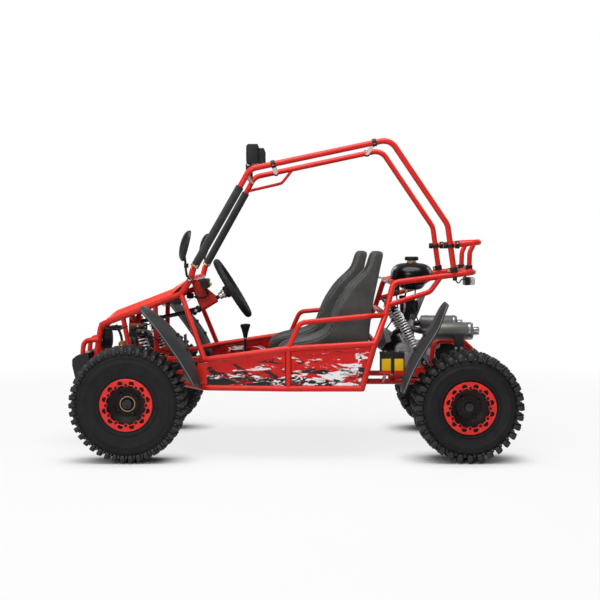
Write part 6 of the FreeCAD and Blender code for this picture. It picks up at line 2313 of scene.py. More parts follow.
@dataclass
class Lamps:
    """Headlamp, roof light bar and tail lamp.

    Attributes:
        head: Middle of the headlamp's face.
        bar_low: Lower corner of the light bar, to the rear and right.
        bar_high: Its upper corner, to the front and left.
        bar_foot: Middle of the light bar's left foot.
        tail_low: Lower corner of the tail lamp, to the rear and right.
        tail_high: Its upper corner, to the front and left.
        tail_stay: Middle of the tail lamp's stay.
    """

    head: Vector = spot(0.855, 0, 0.472)
    bar_low: Vector = spot(0.1431, -0.150, 1.248)
    bar_high: Vector = spot(0.1951, 0.150, 1.334)
    bar_foot: Vector = spot(0.1873, 0.090, 1.248)
    tail_low: Vector = spot(-0.8232, -0.045, 0.7125)
    tail_high: Vector = spot(-0.7782, 0.045, 0.7505)
    tail_stay: Vector = spot(-0.7832, 0, 0.7575)

    def headlamp(self) -> None:
        """Builds the round headlamp with its cooling fins and lit cells."""
        piece = Piece("headlamp_round")
        place = frame_at(self.head, -X_AXIS, Z_AXIS)
        shell = [(0, 0.0015), (0.046, 0.0015), (0.0475, 0.0), (0.0498, 0.001), (0.0500, 0.012),
                 (0.046, 0.015), (0.037, 0.017), (0.036, 0.046), (0, 0.046)]
        piece.add(turned(shell, 56), SATIN_BLACK, place)
        fin = placed(turned([(0.030, 0), (0.0475, 0), (0.0475, 0.0018), (0.030, 0.0018)], 48,
                            closed=True), Matrix.Translation((0, 0, 0.018)))
        piece.add(Pattern.repeated(fin, 6, 0, Vector((0, 0, 0.0046))), SATIN_BLACK, place)
        cell = placed(turned([(0, 0.0012), (0.008, 0.0008), (0.0105, -0.0006), (0.0105, 0.002),
                              (0, 0.002)], 24), Matrix.Translation((0.027, 0, 0)))
        piece.add(Pattern.repeated(cell, 6, math.pi / 3), LAMP_CHIP, place)
        piece.add(turned([(0, 0.0006), (0.045, 0.0006), (0.045, 0.0016), (0, 0.0016)], 48),
                  LAMP_WHITE, place)
        piece.add(piped([self.head + Vector((-0.0069, 0.0685, 0)),
                         self.head + Vector((-0.0069, -0.0685, 0))], 0.005, 14), SATIN_BLACK)
        for side in (1, -1):
            piece.add(nut(0.014, 0.006), BRIGHT_ZINC,
                      frame_at(self.head + Vector((-0.0069, 0.050 * side, 0)), Y_AXIS * side))
        piece.done("chassis", ["headlamp"])

    def light_bar(self) -> None:
        """Builds the light bar with its lens, lit cells and cooling fins."""
        piece = Piece("roof_light_bar")
        middle, size = (self.bar_low + self.bar_high) / 2, self.bar_high - self.bar_low
        piece.add(block((size.x - 0.004, size.y, size.z), 0.006, 3), SATIN_BLACK,
                  Matrix.Translation(middle + Vector((-0.002, 0, 0))))
        bezel = plate(oval(size.y - 0.006, size.z - 0.006, 48, 8.0), 0.005, 0.0012,
                      [oval(size.y - 0.026, size.z - 0.022, 48, 8.0)])
        piece.add(bezel, GLOSS_BLACK, frame_at(Vector((self.bar_high.x - 0.005, 0, middle.z)),
                                               X_AXIS, Y_AXIS))
        piece.add(plate(oval(size.y - 0.024, size.z - 0.020, 48, 8.0), 0.0016, 0.0003), LAMP_WHITE,
                  frame_at(Vector((self.bar_high.x - 0.0042, 0, middle.z)), X_AXIS, Y_AXIS))
        for row in (-1, 1):
            cell = turned([(0, 0.0014), (0.010, 0.0014), (0.0125, 0.0032), (0.0135, 0.0), (0, 0)],
                          24)
            placed(cell, frame_at(Vector((self.bar_high.x - 0.003, -0.114,
                                          middle.z + row * 0.0165)), X_AXIS))
            piece.add(Pattern.repeated(cell, 8, 0, Vector((0, 0.0325, 0))), LAMP_CHIP)
        fin = placed(block((0.0255, 0.0026, 0.066), 0.0006, 1),
                     Matrix.Translation((self.bar_low.x - 0.0128, -0.130, self.bar_low.z + 0.036)))
        piece.add(Pattern.repeated(fin, 27, 0, Vector((0, 0.010, 0))), SATIN_BLACK)
        piece.add(block((0.006, 0.268, 0.050), 0.001), SATIN_BLACK,
                  Matrix.Translation((self.bar_low.x - 0.003, 0, self.bar_low.z + 0.034)))
        for side in (1, -1):
            outline = [(-0.012, -0.0575), (0.012, -0.0575), (0.012, 0.003), (0.006, 0.010),
                       (-0.006, 0.010), (-0.012, 0.003)]
            foot = plate(outline, 0.005, 0.0008)
            middle = sided(self.bar_foot, side)
            place = frame_at(middle - Vector((0, 0.0025, 0)), Y_AXIS, X_AXIS)
            piece.add(foot, SATIN_BLACK, place @ Matrix.Scale(-1, 4, Y_AXIS))
            piece.add(washer_bolt(0.010, 0.005), BRIGHT_ZINC,
                      frame_at(middle + Vector((0, 0.0025 * side, 0.0015)), Y_AXIS * side))
        piece.done("chassis", ["light_bar"])

    def tail_lamp(self) -> None:
        """Builds the clear tail lamp with its red inner lens."""
        piece = Piece("tail_lamp_clear")
        middle, size = (self.tail_low + self.tail_high) / 2, self.tail_high - self.tail_low
        piece.add(block((size.x * 0.45, size.y * 0.96, size.z * 0.96), 0.003, 3), SATIN_BLACK,
                  Matrix.Translation((self.tail_high.x - size.x * 0.225, 0, middle.z)))
        lens = plate(oval(size.y - 0.002, size.z - 0.002, 48, 5.0), 0.024, 0.004)
        piece.add(lens, LAMP_WHITE, frame_at(Vector((self.tail_low.x + 0.0245, 0, middle.z)),
                                             -X_AXIS, Y_AXIS))
        glow = plate(oval(size.y * 0.5, size.z * 0.7, 32, 4.0), 0.002, 0.0005)
        piece.add(glow, LAMP_RED, frame_at(Vector((self.tail_low.x + 0.0012, 0, middle.z)), -X_AXIS,
                                           Y_AXIS))
        piece.add(block((0.010, 0.010, 0.016), 0.001), SATIN_BLACK,
                  Matrix.Translation(self.tail_stay))
        rim = plate(oval(size.y - 0.001, size.z - 0.001, 48, 5.0), 0.003, 0.0008,
                    [oval(size.y - 0.012, size.z - 0.012, 48, 5.0)])
        piece.add(rim, LAMP_RED, frame_at(Vector((self.tail_low.x + 0.0225, 0, middle.z)), -X_AXIS,
                                          Y_AXIS))
        piece.done("chassis", ["tail_lamp"])

    def build(self) -> None:
        """Builds all lamps."""
        self.headlamp()
        self.light_bar()
        self.tail_lamp()


@dataclass
class Mirrors:
    """Oval mirrors on bent stems.

    Attributes:
        root: Where the left stem leaves the cowl.
        head: Middle of the left mirror.
        turn: How far the mirrors turn inwards, in radians.
        tilt: How far they lean forward, in radians.
        shell_size: Height and width of the shell.
        glass_size: Height and width of the glass.
    """

    root: Vector = spot(0.4238, 0.3322, 0.748)
    head: Vector = spot(0.4288, 0.500, 0.890)
    turn: float = 0.21
    tilt: float = 0.245
    shell_size: Point2 = (0.130, 0.104)
    glass_size: Point2 = (0.1215, 0.0965)

    def shell(self) -> bmesh.types.BMesh:
        """The mirror's rounded back with its turned edge.

        Returns:
            The form.
        """
        high, wide = self.shell_size
        rings = []
        for share, back in ((0.001, -0.0195), (0.35, -0.0185), (0.62, -0.0155), (0.82, -0.010),
                            (0.95, -0.003), (1.0, 0.004), (0.995, 0.008), (0.97, 0.0095),
                            (0.94, 0.0085), (0.93, 0.006)):
            rings.append([Vector((x, y, back)) for x,
                          y in oval(high * share, wide * share, 56, 2.2)])
        return skin(rings)

    def build(self) -> None:
        """Builds both mirrors."""
        for side in (1, -1):
            piece = Piece(f"mirror_{'left' if side > 0 else 'right'}")
            level = math.cos(self.tilt)
            facing = Vector((-math.cos(self.turn) * level, -math.sin(self.turn) * side * level,
                             -math.sin(self.tilt)))
            head = sided(self.head, side)
            place = frame_at(head, facing, Z_AXIS)
            piece.add(self.shell(), SATIN_BLACK, place)
            glass = [Vector((x, y, 0.0075)) for x, y in oval(*self.glass_size, 56, 2.2)]
            base = [Vector((p.x, p.y, 0.005)) for p in glass]
            crown = [Vector((p.x * 0.5, p.y * 0.5, 0.0086)) for p in glass]
            piece.add(skin([base, glass, crown]), MIRROR_GLASS, place)
            root = sided(self.root, side)
            elbow = Vector((root.x, self.head.y * side, root.z + 0.0213))
            stem = rounded([root, elbow, head + Vector((0, 0, -0.052)),
                            head + Vector((0.004, 0, -0.035))], 0.035, 8)
            piece.add(piped(stem, 0.005, 16), SATIN_BLACK)
            for foot, along, radius, length in ((elbow + Vector((0, 0, 0.030)), Z_AXIS, 0.0095,
                                                 0.018), (root, Y_AXIS * side, 0.011, 0.016)):
                sleeve = turned([(0, 0), (radius, 0), (radius, length), (0, length)], 20)
                piece.add(sleeve, SATIN_BLACK, frame_at(foot, along))
            piece.add(nut(0.016, 0.008), BRIGHT_ZINC,
                      frame_at(root + Vector((0, 0.017 * side, 0)), Y_AXIS * side))
            piece.done("chassis", ["mirrors"])


# Guards


@dataclass
class Mudguard:
    """Bent plastic mudguard with a crown, turned edges and bolts.

    Attributes:
        name: Which guard it is.
        node: The solids that it stands for.
        centre: Middle of its bend.
        crest: Radius of its ridge.
        first: Angle of its first end.
        last: Angle of its last end.
        middle: Place of its middle across the buggy.
        half: Half of its width.
        wall: Its thickness.
        rise: How far its ridge stands over its edges.
        flare: How far its tip bends outwards.
        lengths: Steps along it.
        steps: Steps across it.
    """

    name: str
    node: str
    centre: Vector
    crest: float
    first: float
    last: float
    middle: float = 0.460
    half: float = 0.090
    wall: float = 0.0036
    rise: float = 0.050
    flare: float = 0.0
    lengths: int = 48
    steps: int = 28

    @staticmethod
    def along(values: Sequence[float], share: float) -> float:
        """Value at a share of the guard's length, smooth between equal steps.

        Args:
            values: The values at equal steps.
            share: Place along the guard, 0 to 1.

        Returns:
            The value there.
        """
        place = share * (len(values) - 1)
        i = min(int(place), len(values) - 2)
        t = place - i
        a, b, c, d = values[max(i - 1, 0)], values[i], values[i
                + 1], values[min(i + 2, len(values) - 1)]
        return 0.5 * (2 * b + (c - a) * t + (2 * a - 5 * b + 4 * c - d) * t * t
                      + (3 * b - a - 3 * c + d) * t ** 3)

    def ridge(self, share: float) -> tuple[Vector, float]:
        """Direction and radius of the ridge at a share of the guard's length.

        Args:
            share: Place along the guard, 0 to 1.

        Returns:
            The direction from the middle of the bend, and the ridge's distance.
        """
        angle = self.first + (self.last - self.first) * share
        crest = self.crest + self.flare * self.along((0.0, 0.0, -0.3, -0.4, 1.0), share)
        return Vector((math.cos(angle), 0, math.sin(angle))), crest

    def ring(self, share: float) -> list[Vector]:
        """Cross section at a share of its length, over the top and back under it.

        Args:
            share: Place along the guard, 0 to 1.

        Returns:
            Its points.
        """
        spoke, crest = self.ridge(share)
        depth = self.rise * self.along((0.35, 0.8, 1.0, 0.85, 0.45), share)
        near = min(share, 1 - share) / 0.10
        narrow = 1 - 0.42 * (1 - min(1.0, near)) ** 2
        over, under = [], []
        curve = 0.93
        full = 1 - math.sqrt(1 - curve ** 2)
        for i in range(self.steps + 1):
            v = -1 + 2 * i / self.steps
            drop = depth * (1 - math.sqrt(1 - (v * curve) ** 2)) / full
            rib = 0.0025 * math.exp(-((abs(v) - 0.55) / 0.06) ** 2)
            lip = 0.003 * max(0.0, (abs(v) - 0.93) / 0.07)
            y = self.middle + v * self.half * narrow
            over.append(self.centre + spoke * (crest - 0.003 - drop + rib + lip)
                        + Vector((0, y, 0)))
            under.append(self.centre + spoke * (crest - 0.003 - self.wall - drop + rib)
                         + Vector((0, y, 0)))
        return over + list(reversed(under))

    def build(self) -> None:
        """Builds the guard on both sides."""
        for side in (1, -1):
            piece = Piece(f"{self.name}_{'left' if side > 0 else 'right'}")
            form = skin([self.ring(i / self.lengths) for i in range(self.lengths + 1)])
            if side < 0:
                placed(form, Matrix.Scale(-1, 4, Y_AXIS))
            piece.add(form, GUARD_GREY)
            for share in (0.45, 0.62):
                spoke, crest = self.ridge(share)
                for across in (-0.025, 0.025):
                    offset = Vector((0, (self.middle + across) * side, 0))
                    place = frame_at(self.centre + spoke * (crest - 0.0055) + offset, spoke)
                    piece.add(washer_bolt(0.010, 0.005), SATIN_BLACK, place)
            # Pale pipes along both edges of the guard stand for the light that its rims catch: a
            # painted highlight.
            for index in (0, self.steps):
                edge = [sided(self.ring(i / self.lengths)[index], side)
                        for i in range(1, self.lengths)]
                piece.add(piped(edge, 0.0019, 8), PAINTED_EDGE_HIGHLIGHT)
            piece.done("chassis", [self.node])


class Guards:
    """Front and rear mudguards."""

    @staticmethod
    def build() -> None:
        """Builds the four guards."""
        Mudguard("front_guard", "front_mudguards", Vector((0.8208, 0, 0.241)), 0.460, 2.06, 2.98,
                 rise=0.050).build()
        Mudguard("rear_guard", "rear_mudguards", Vector((-1.0462, 0, 0.2026)), 0.600, 0.14, 0.84,
                 rise=0.030, flare=0.016).build()


# Clamps, joints and small parts


@dataclass
class Trim:
    """Clamps on the tubes, parts under the hood, joints of the column and bits round the engine.

    Points are on the left side; what the right side shares is built there too.

    Attributes:
        tube: Radius of the cage's tubes.
        thin_tube: Radius of the rack's stays.
        post_foot: Foot of the cage's rear post.
        post_bend: Bend of that post.
        post_clamps: Its two clamps, each a share of the way from foot to bend and a length.
        rack_clamp: Middle of the clamp between rack and post.
        rack_stub: Root of the rack's end stub.
        stay_clamp: Middle of the clamp at the foot of the rack's stay.
        post_pad: Middle of the pad under the post.
        roof_front: Front end of the roof rail.
        roof_rear: Rear end of the roof rail.
        roof_shares: Places of the roof bars along that rail.
        pillar_foot: Foot of the front pillar.
        pillar_head: Top of the front pillar.
        gusset_corner: Lower rear corner of the side panel's gusset.
        gusset_run: The gusset's direction, forward.
        tank_plate: Middle of the plate under the tank's foot.
        joint: Middle of the column's universal joint.
        joint_slope: Slope of the shaft there, in radians.
        horn: Middle of the horn's bell.
        horn_mount: Middle of the block over the horn.
        horn_top: Where the horn's stem ends.
        bracket: Middle of the brake cylinder's bracket.
        curly_lead: Start of the coiled lead.
        stop: Middle of the rubber stop under the cowl.
        switch_box: Middle of the switch box.
        switch_tilt: Tilt of the switch box, in radians.
        wire_end: Where the wires of the switch box meet.
        wire_loop: Middle of the wire's loop by the column.
        coil_cap: Foot of the ignition coil's cap.
        coil_plate: Middle of the plate behind that cap.
        cover_face: Place across the buggy of the bright covers' faces.
        inlet: Middle of the bright inlet block.
    """

    tube: float = 0.0125
    thin_tube: float = 0.011
    post_foot: Vector = spot(-0.6992, 0.280, 0.766)
    post_bend: Vector = spot(-0.6682, 0.280, 0.980)
    post_clamps: tuple[Point2, ...] = ((0.098, 0.022), (0.575, 0.016))
    rack_clamp: Vector = spot(-0.7100, 0.280, 0.8938)
    rack_stub: Vector = spot(-0.6680, 0.280, 0.8905)
    stay_clamp: Vector = spot(-0.7832, 0.125, 0.795)
    post_pad: Vector = spot(-0.7010, 0.280, 0.7485)
    roof_front: Vector = spot(0.1738, 0.280, 1.215)
    roof_rear: Vector = spot(-0.4222, 0.280, 1.341)
    roof_shares: Point2 = (0.167, 0.888)
    pillar_foot: Vector = spot(0.4118, 0.320, 0.792)
    pillar_head: Vector = spot(0.2008, 0.280, 1.166)
    gusset_corner: Vector = spot(0.3470, 0.4040, 0.3100)
    gusset_run: Vector = spot(0.9934, -0.1143, 0)
    tank_plate: Vector = spot(-0.4126, 0.2, 0.7400)
    joint: Vector = spot(0.4097, 0.210, 0.610)
    joint_slope: float = 0.55
    horn: Vector = spot(0.7500, 0.060, 0.4580)
    horn_mount: Vector = spot(0.7850, 0.040, 0.5230)
    horn_top: Vector = spot(0.7780, 0.075, 0.5380)
    bracket: Vector = spot(0.6560, 0.2480, 0.5280)
    curly_lead: Vector = spot(0.548, 0.262, 0.632)
    stop: Vector = spot(0.4820, 0.292, 0.6530)
    switch_box: Vector = spot(0.3680, 0.262, 0.7260)
    switch_tilt: float = 0.45
    wire_end: Vector = spot(0.4150, 0.235, 0.672)
    wire_loop: Vector = spot(0.446, 0.180, 0.664)
    coil_cap: Vector = spot(-0.4670, 0.085, 0.6820)
    coil_plate: Vector = spot(-0.4670, 0.083, 0.7000)
    cover_face: float = 0.1130
    inlet: Vector = spot(-0.4260, 0.0500, 0.4900)

    def collar(self, piece: Piece, centre: Vector, axis: Vector, radius: float,
               length: float) -> None:
        """Adds a split clamp with its bolt round a tube.

        Args:
            piece: The piece that takes it.
            centre: Middle of the clamp.
            axis: Direction of the tube.
            radius: Radius of the tube.
            length: Length of the clamp.
        """
        place = frame_at(centre, axis)
        half, edge, outer = length / 2, radius + 0.003, radius + 0.0042
        band = [(radius - 0.001, -half), (edge, -half), (outer, -half + 0.0012),
                (outer, half - 0.0012), (edge, half), (radius - 0.001, half)]
        piece.add(turned(band, 32, closed=True), SATIN_BLACK, place)
        ear = placed(block((0.012, 0.009, length * 0.8), 0.0012, 2),
                     Matrix.Translation((radius + 0.008, 0, 0)))
        piece.add(ear, SATIN_BLACK, place)
        bolt = placed(washer_bolt(0.008, 0.004), Matrix.Translation((radius + 0.009, 0, 0))
                      @ frame_at(Vector((0, 0.0045, 0)), Y_AXIS))
        piece.add(bolt, ZINC_GOLD, place)

    def clamps(self) -> None:
        """Builds the black clamps where tubes meet."""
        piece = Piece("tube_clamps")
        for side in (1, -1):
            foot = sided(self.post_foot, side)
            post = sided(self.post_bend, side) - foot
            for share, length in self.post_clamps:
                self.collar(piece, foot + post * share, post, self.tube, length)
            self.collar(piece, sided(self.rack_clamp, side), X_AXIS, self.tube, 0.018)
            stub = [(0, 0), (0.0115, 0), (0.013, 0.002), (0.013, 0.015), (0.0115, 0.017),
                    (0, 0.017)]
            piece.add(turned(stub, 28), SATIN_BLACK, frame_at(sided(self.rack_stub, side), X_AXIS))
            self.collar(piece, sided(self.stay_clamp, side), Z_AXIS, self.thin_tube, 0.020)
            piece.add(block((0.018, 0.018, 0.016), 0.003, 2), SATIN_BLACK,
                      Matrix.Translation(sided(self.post_pad, side)))
            front, rear = sided(self.roof_front, side), sided(self.roof_rear, side)
            for share in self.roof_shares:
                self.collar(piece, front + (rear - front) * share, rear - front, self.tube, 0.018)
        piece.done("chassis")

    def pillar_plates(self) -> None:
        """Builds the pillars' bright clamps, the panels' gussets and the tank's plates."""
        piece = Piece("pillar_plates")
        for side in (1, -1):
            foot = sided(self.pillar_foot, side)
            along = (sided(self.pillar_head, side) - foot).normalized()
            place = frame_at(foot + along * 0.012, along)
            band = [(0.0120, -0.004), (0.0185, -0.004), (0.0185, 0.004), (0.0120, 0.004)]
            piece.add(turned(band, 28, closed=True), ZINC_GOLD, place)
            for turn in (0.6, 2.2, 3.8, 5.4):
                spoke = Vector((math.cos(turn) * 0.0165, math.sin(turn) * 0.0165, 0.003))
                piece.add(nut(0.006, 0.004), BRIGHT_ZINC, place @ Matrix.Translation(spoke))
            gusset = plate([(-0.0005, 0.0), (0.0430, 0.0), (0.0430, 0.0890), (-0.0005, 0.0919)],
                           0.003, 0.0005)
            ahead = sided(self.gusset_run, side)
            piece.add(gusset, FRAME_RED,
                      frame_at(sided(self.gusset_corner, side), ahead.cross(Z_AXIS), ahead))
            plate_place = Matrix.Translation(sided(self.tank_plate, side))
            piece.add(block((0.034, 0.030, 0.004), 0.001), BRIGHT_ZINC, plate_place)
            piece.add(washer_bolt(0.010, 0.006), BRIGHT_ZINC,
                      plate_place @ Matrix.Translation((0, 0, 0.002)))
        piece.done("chassis")

    def column_parts(self) -> None:
        """Builds the column's joint with its bolts."""
        piece = Piece("column_joint")
        along = Vector((math.cos(self.joint_slope), 0, -math.sin(self.joint_slope)))
        fork = [(0, -0.020), (0.013, -0.020), (0.0155, -0.017), (0.0155, -0.006), (0.012, -0.003),
                (0.012, 0.003), (0.0155, 0.006), (0.0155, 0.017), (0.013, 0.020), (0, 0.020)]
        piece.add(turned(fork, 28), SATIN_BLACK, frame_at(self.joint, along, Y_AXIS))
        for way in (1, -1):
            piece.add(washer_bolt(0.0072, 0.006), BRIGHT_ZINC,
                      frame_at(self.joint + Vector((0, 0.0150 * way, 0)), Y_AXIS * way))
        piece.done("steering_shaft")

    @staticmethod
    def hoses(piece: Piece, runs: Iterable[Sequence[Point3]], bend: float, radius: float) -> None:
        """Adds black hoses, each through its own points.

        Args:
            piece: The piece that takes them.
            runs: Points of each hose.
            bend: Radius of their bends.
            radius: Radius of the hoses.
        """
        for run in runs:
            path = rounded([Vector(point) for point in run], bend, 8)
            piece.add(piped(path, radius, 10), HOSE_BLACK)

    def brake_cylinder(self, piece: Piece) -> None:
        """Adds the brake cylinder, its bottle and their bracket.

        Args:
            piece: The piece that takes them.
        """
        for start, radius, length, finish in (((0.6900, 0.262, 0.5450), 0.0130, 0.058, BROWN_STEM),
                                              ((0.6620, 0.266, 0.5200), 0.0160, 0.050,
                                               SATIN_BLACK)):
            place = Vector(start)
            body = [(0, 0), (radius * 0.8, 0), (radius, 0.004), (radius, length * 0.4),
                    (radius * 0.85, length * 0.44), (radius * 0.85, length * 0.8),
                    (radius * 0.6, length * 0.86), (radius * 0.6, length), (0, length)]
            piece.add(turned(body, 28), finish, frame_at(place, -X_AXIS))
            fitting = place + Vector((-length * 0.6, radius * 0.8, 0))
            piece.add(washer_bolt(0.0045, 0.004), ZINC_GOLD, frame_at(fitting, Y_AXIS))
        piece.add(block((0.080, 0.006, 0.060), 0.002, 2), SATIN_BLACK,
                  Matrix.Translation(self.bracket))
        for x, z, finish in ((0.030, 0.020, ZINC_GOLD), (-0.012, -0.022, BRIGHT_ZINC),
                             (-0.030, 0.016, BRIGHT_ZINC)):
            place = frame_at(self.bracket + Vector((x, 0.0030, z)), Y_AXIS)
            piece.add(washer_bolt(0.0048, 0.004), finish, place)

    def under_hood(self) -> None:
        """Builds the horn, the brake cylinder, the coiled lead and the rubber stops."""
        piece = Piece("horn_and_brake_parts")
        stem = rounded([self.horn + Vector((0.004, 0, 0.006)),
                        self.horn + Vector((0.010, 0, 0.040)), self.horn_top], 0.02, 6)
        piece.add(piped(stem, 0.0060, 14), BROWN_STEM)
        bell = [(0, -0.006), (0.008, -0.006), (0.011, 0.000), (0.0135, 0.008), (0.0150, 0.016),
                (0.0135, 0.0175), (0.006, 0.012), (0, 0.012)]
        facing = Vector((0.15, 0.85, -0.3)).normalized()
        piece.add(turned(bell, 32), AMBER, frame_at(self.horn + Vector((0.002, 0, 0)), facing))
        piece.add(block((0.052, 0.070, 0.020), 0.004, 2), SATIN_BLACK,
                  Matrix.Translation(self.horn_mount))
        self.brake_cylinder(piece)
        self.hoses(piece, (((0.640, 0.266, 0.520), (0.585, 0.275, 0.500), (0.560, 0.250, 0.470)),
                           ((0.632, 0.262, 0.545), (0.590, 0.270, 0.560), (0.560, 0.235, 0.590)),
                           ((0.700, 0.262, 0.545), (0.735, 0.240, 0.530), (0.770, 0.110, 0.525))),
                   0.04, 0.0032)
        piece.add(Pattern.coil(11.0, 0.0050, 0.062, 0.0013), HOSE_BLACK,
                  frame_at(self.curly_lead, Vector((-0.062, 0.008, 0.022))))
        for side in (1, -1):
            piece.add(block((0.034, 0.022, 0.026), 0.005, 2), HOSE_BLACK,
                      Matrix.Translation(sided(self.stop, side)))
        piece.done("chassis")

    def switches(self) -> None:
        """Builds the switch box by the column with its buttons and the leads below it."""
        piece = Piece("switch_box")
        middle = self.switch_box
        turn = Matrix.Translation(middle) @ Matrix.Rotation(self.switch_tilt, 4, "Y")
        piece.add(block((0.030, 0.058, 0.044), 0.004, 2), SATIN_BLACK, turn)
        piece.add(block((0.010, 0.050, 0.036), 0.003, 2), DARK_STEEL,
                  turn @ Matrix.Translation((-0.018, 0, 0)))
        backward = Matrix.Rotation(-math.pi / 2, 4, "Y")
        for y, z, finish in ((0.014, 0.009, SWITCH_TEAL), (-0.014, 0.009, LAMP_RED),
                             (0.0, -0.010, BRIGHT_ZINC), (0.016, -0.010, YELLOW_LABEL)):
            button = turned([(0, 0), (0.0065, 0), (0.0065, 0.004), (0.005, 0.006), (0, 0.0065)], 20)
            piece.add(button, finish, turn @ Matrix.Translation((-0.022, y, z)) @ backward)
        for number in range(6):
            shift = number * 0.008 - 0.020
            path = rounded([middle + Vector((0.004, shift, -0.018)),
                            middle + Vector((-0.020 - shift * 0.6, shift * 1.2, -0.044)),
                            middle + Vector((0.014 + shift, shift * 0.6, -0.064)),
                            self.wire_end + Vector((0, shift, 0))], 0.03, 6)
            piece.add(piped(path, 0.0017, 8), HOSE_BLACK)
        loop = [self.wire_loop + Vector((0.017 * math.cos(t), 0,
                                         0.013 * math.sin(t) + 0.006 * math.sin(2 * t)))
                for t in (2 * math.pi * k / 28 for k in range(29))]
        piece.add(piped(loop, 0.0014, 8), HOSE_BLACK)
        piece.done("chassis")

    def bright_covers(self, piece: Piece) -> None:
        """Adds the round covers beside the cylinder and the inlet block.

        Args:
            piece: The piece that takes them.
        """
        for x, z, radius, depth in ((-0.6120, 0.4760, 0.0260, 0.030),
                                    (-0.6420, 0.4520, 0.0170, 0.036),
                                    (-0.5840, 0.4560, 0.0150, 0.034)):
            disc = [(0, 0), (radius * 0.5, 0), (radius * 0.55, -0.004), (radius * 0.8, -0.004),
                    (radius * 0.85, 0), (radius, -0.002), (radius, -depth), (0, -depth)]
            place = frame_at(Vector((x, self.cover_face, z)), Y_AXIS)
            piece.add(turned(disc, 32), CAST_METAL, place)
            bolt = placed(washer_bolt(0.006, 0.004), Matrix.Translation((radius * 0.72, 0, -0.002)))
            piece.add(Pattern.repeated(bolt, 3, 2 * math.pi / 3), BRIGHT_ZINC, place)
        piece.add(block((0.040, 0.026, 0.062), 0.006, 3), CAST_METAL,
                  frame_at(self.inlet, Vector((0.35, 0, 1)), Y_AXIS))

    def engine_bits(self) -> None:
        """Builds the coil, the bright covers beside the cylinder, the leads and the brake rod."""
        piece = Piece("engine_fittings")
        cap = [(0, 0), (0.011, 0), (0.0125, 0.003), (0.0125, 0.026), (0.008, 0.030), (0, 0.030)]
        piece.add(turned(cap, 28), BROWN_STEM, frame_at(self.coil_cap, Y_AXIS))
        piece.add(block((0.030, 0.006, 0.050), 0.002), SATIN_BLACK,
                  Matrix.Translation(self.coil_plate))
        self.bright_covers(piece)
        self.hoses(piece, (((-0.467, 0.098, 0.672), (-0.475, 0.110, 0.600), (-0.425, 0.064, 0.520)),
                           ((-0.520, 0.030, 0.560), (-0.500, 0.080, 0.500), (-0.545, 0.105, 0.462)),
                           ((-0.555, 0.060, 0.700), (-0.540, 0.100, 0.600),
                            (-0.600, 0.100, 0.495))), 0.05, 0.0030)
        rod = [Vector((-0.572, 0.196, 0.432)), Vector((-0.612, 0.196, 0.384))]
        piece.add(piped(rod, 0.0026, 10), STEEL)
        for x in (-0.590, -0.625, -0.655):
            piece.add(washer_bolt(0.009, 0.005), BRIGHT_ZINC,
                      frame_at(Vector((x, 0.2260, 0.366)), Y_AXIS))
        self.hoses(piece, (((-0.7100, 0.180, 0.748), (-0.7350, 0.140, 0.722),
                            (-0.7600, 0.060, 0.742), (-0.7800, 0.010, 0.740)),), 0.03, 0.0030)
        piece.done("chassis")

    def build(self) -> None:
        """Builds all of the small parts."""
        self.clamps()
        self.pillar_plates()
        self.column_parts()
        self.under_hood()
        self.switches()
        self.engine_bits()


# Studio


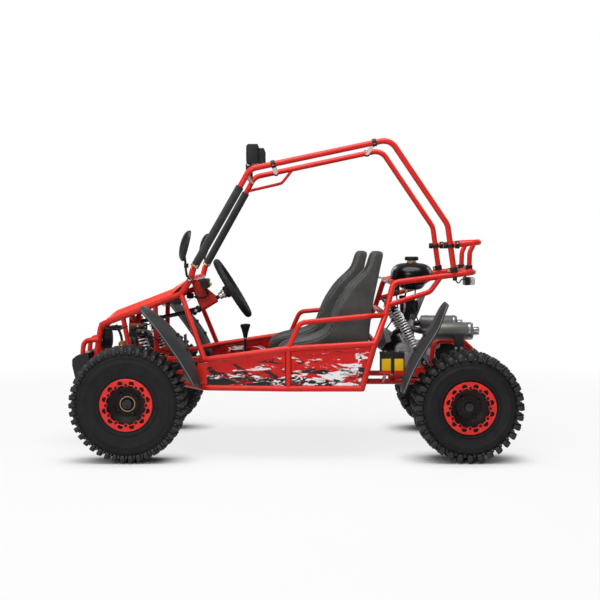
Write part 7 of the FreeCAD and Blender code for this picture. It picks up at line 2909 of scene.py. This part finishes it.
@dataclass
class Studio:
    """Floor, soft lights, world and camera.

    Attributes:
        eye: Place of the camera.
        pitch: How far the camera looks down, in degrees.
        lens: Focal length in millimetres on a 36 mm frame.
    """

    eye: Vector = spot(-0.040, 5.3, 0.88)
    pitch: float = 2.53
    lens: float = 70.6

    def camera(self) -> None:
        """Makes the camera at the photograph's place."""
        data = bpy.data.cameras.new("camera")
        data.lens = self.lens
        data.sensor_width = 36
        made = bpy.data.objects.new("camera", data)
        made.location = self.eye
        made.rotation_euler = (math.radians(90 - self.pitch), 0, math.radians(180))
        bpy.context.scene.collection.objects.link(made)
        bpy.context.scene.camera = made

    @staticmethod
    def seen(board: Board) -> bpy.types.NodeSocket:
        """Share that is 1 where the camera, a mirror or glass looks at the surface.

        Args:
            board: Board of the world's nodes.

        Returns:
            The socket that holds the share.
        """
        path = board.node("ShaderNodeLightPath")
        either = board.maths("MAXIMUM", path.outputs["Is Camera Ray"],
                             path.outputs["Is Glossy Ray"])
        return board.maths("MAXIMUM", either, path.outputs["Is Transmission Ray"])

    def floor(self) -> None:
        """Makes the pale floor, which keeps the buggy's shadow."""
        mesh = bpy.data.meshes.new("floor")
        reach = 30.0
        mesh.from_pydata([(-reach, -reach, 0), (reach, -reach, 0), (reach, reach, 0),
                          (-reach, reach, 0)], [], [(0, 1, 2, 3)])
        floor = bpy.data.objects.new("floor", mesh)
        bpy.context.scene.collection.objects.link(floor)
        material = bpy.data.materials.new("floor_white")
        material.use_nodes = True
        board = Board(material.node_tree)
        place = board.node("ShaderNodeTexCoord").outputs["Object"]
        noise = board.node("ShaderNodeTexNoise", {"Vector": place, "Scale": 3.0})
        colour = board.mixed(noise.outputs[0], (0.58, 0.58, 0.58), (0.61, 0.61, 0.61))
        matt = board.node("ShaderNodeBsdfDiffuse", {"Color": colour})
        light = board.node("ShaderNodeEmission", {"Color": (1, 1, 1, 1), "Strength": 1.0})
        away = board.node("ShaderNodeVectorMath", {0: place}, operation="LENGTH")
        fade = board.node("ShaderNodeMapRange",
                          {"Value": away.outputs["Value"], "From Min": 1.2, "From Max": 4.0,
                                                 "To Min": 0.80, "To Max": 1.0})
        # Ambient occlusion cuts the floor's white glow where parts stand close over it: a painted
        # contact shadow under the tyres, on top of the real shadow that the matt share keeps.
        near = board.node("ShaderNodeAmbientOcclusion", {"Distance": 0.17}, samples=12)
        painted_contact_shade = board.node("ShaderNodeMapRange",
                             {"Value": near.outputs["AO"], "From Min": 0.35, "From Max": 0.92})
        open_floor = board.maths("MULTIPLY", fade.outputs[0], painted_contact_shade.outputs[0])
        share = board.maths("MULTIPLY", self.seen(board), open_floor)
        both = board.node("ShaderNodeMixShader",
                          {0: share, 1: matt.outputs[0], 2: light.outputs[0]})
        output = board.node("ShaderNodeOutputMaterial")
        board.link(both.outputs[0], output.inputs["Surface"])
        mesh.materials.append(material)

    def lights(self) -> None:
        """Makes the soft lamps: a wide one overhead and one on each side."""
        lamps = (("overhead", (0.0, 0.7, 3.6), (0, 0, 0.3), 3.0, 150.0),
                 ("camera_side", (1.2, 4.6, 2.9), (0, 0, 0.4), 2.6, 85.0),
                 ("front_side", (4.2, 1.6, 1.6), (0.2, 0, 0.5), 2.0, 34.0),
                 ("back_side", (-3.6, -2.8, 2.4), (0, 0, 0.6), 2.2, 40.0),
                 ("far_side", (1.4, -4.4, 1.8), (0, 0, 0.5), 2.4, 28.0))
        for name, where, aim, size, power in lamps:
            data = bpy.data.lights.new(name, "AREA")
            data.shape = "DISK"
            data.size = size
            data.energy = power
            lamp = bpy.data.objects.new(name, data)
            lamp.location = where
            lamp.rotation_euler = (Vector(aim) - Vector(where)).to_track_quat("-Z", "Y").to_euler()
            bpy.context.scene.collection.objects.link(lamp)

    def world(self) -> None:
        """Makes a world that is white to look at and lights softly."""
        world = bpy.data.worlds.new("studio")
        world.use_nodes = True
        board = Board(world.node_tree)
        soft = board.node("ShaderNodeBackground", {"Color": (1, 1, 1, 1), "Strength": 0.24})
        white = board.node("ShaderNodeBackground", {"Color": (1, 1, 1, 1), "Strength": 1.0})
        path = board.node("ShaderNodeLightPath")
        look = board.maths("MAXIMUM", path.outputs["Is Camera Ray"],
                           path.outputs["Is Transmission Ray"])
        both = board.node("ShaderNodeMixShader", {0: look, 1: soft.outputs[0], 2: white.outputs[0]})
        output = board.node("ShaderNodeOutputWorld")
        board.link(both.outputs[0], output.inputs["Surface"])
        bpy.context.scene.world = world

    def build(self) -> None:
        """Makes the whole studio."""
        self.camera()
        self.floor()
        self.lights()
        self.world()
        bpy.context.scene.view_settings.view_transform = "Standard"
        LOG.info("studio is lit")


def main() -> None:
    """Builds the buggy's pieces in order."""
    logging.basicConfig(level=logging.INFO, format="%(name)s: %(message)s")
    Studio().build()
    PlainSolids().dress()
    Wheels().build()
    Suspension().build()
    Drive().build()
    Engine().build()
    Tank().build()
    Battery().build()
    Seats().build()
    Steering().build()
    Lever().build()
    Lamps().build()
    Mirrors().build()
    Guards().build()
    Trim().build()


if __name__ == "__main__":
    main()
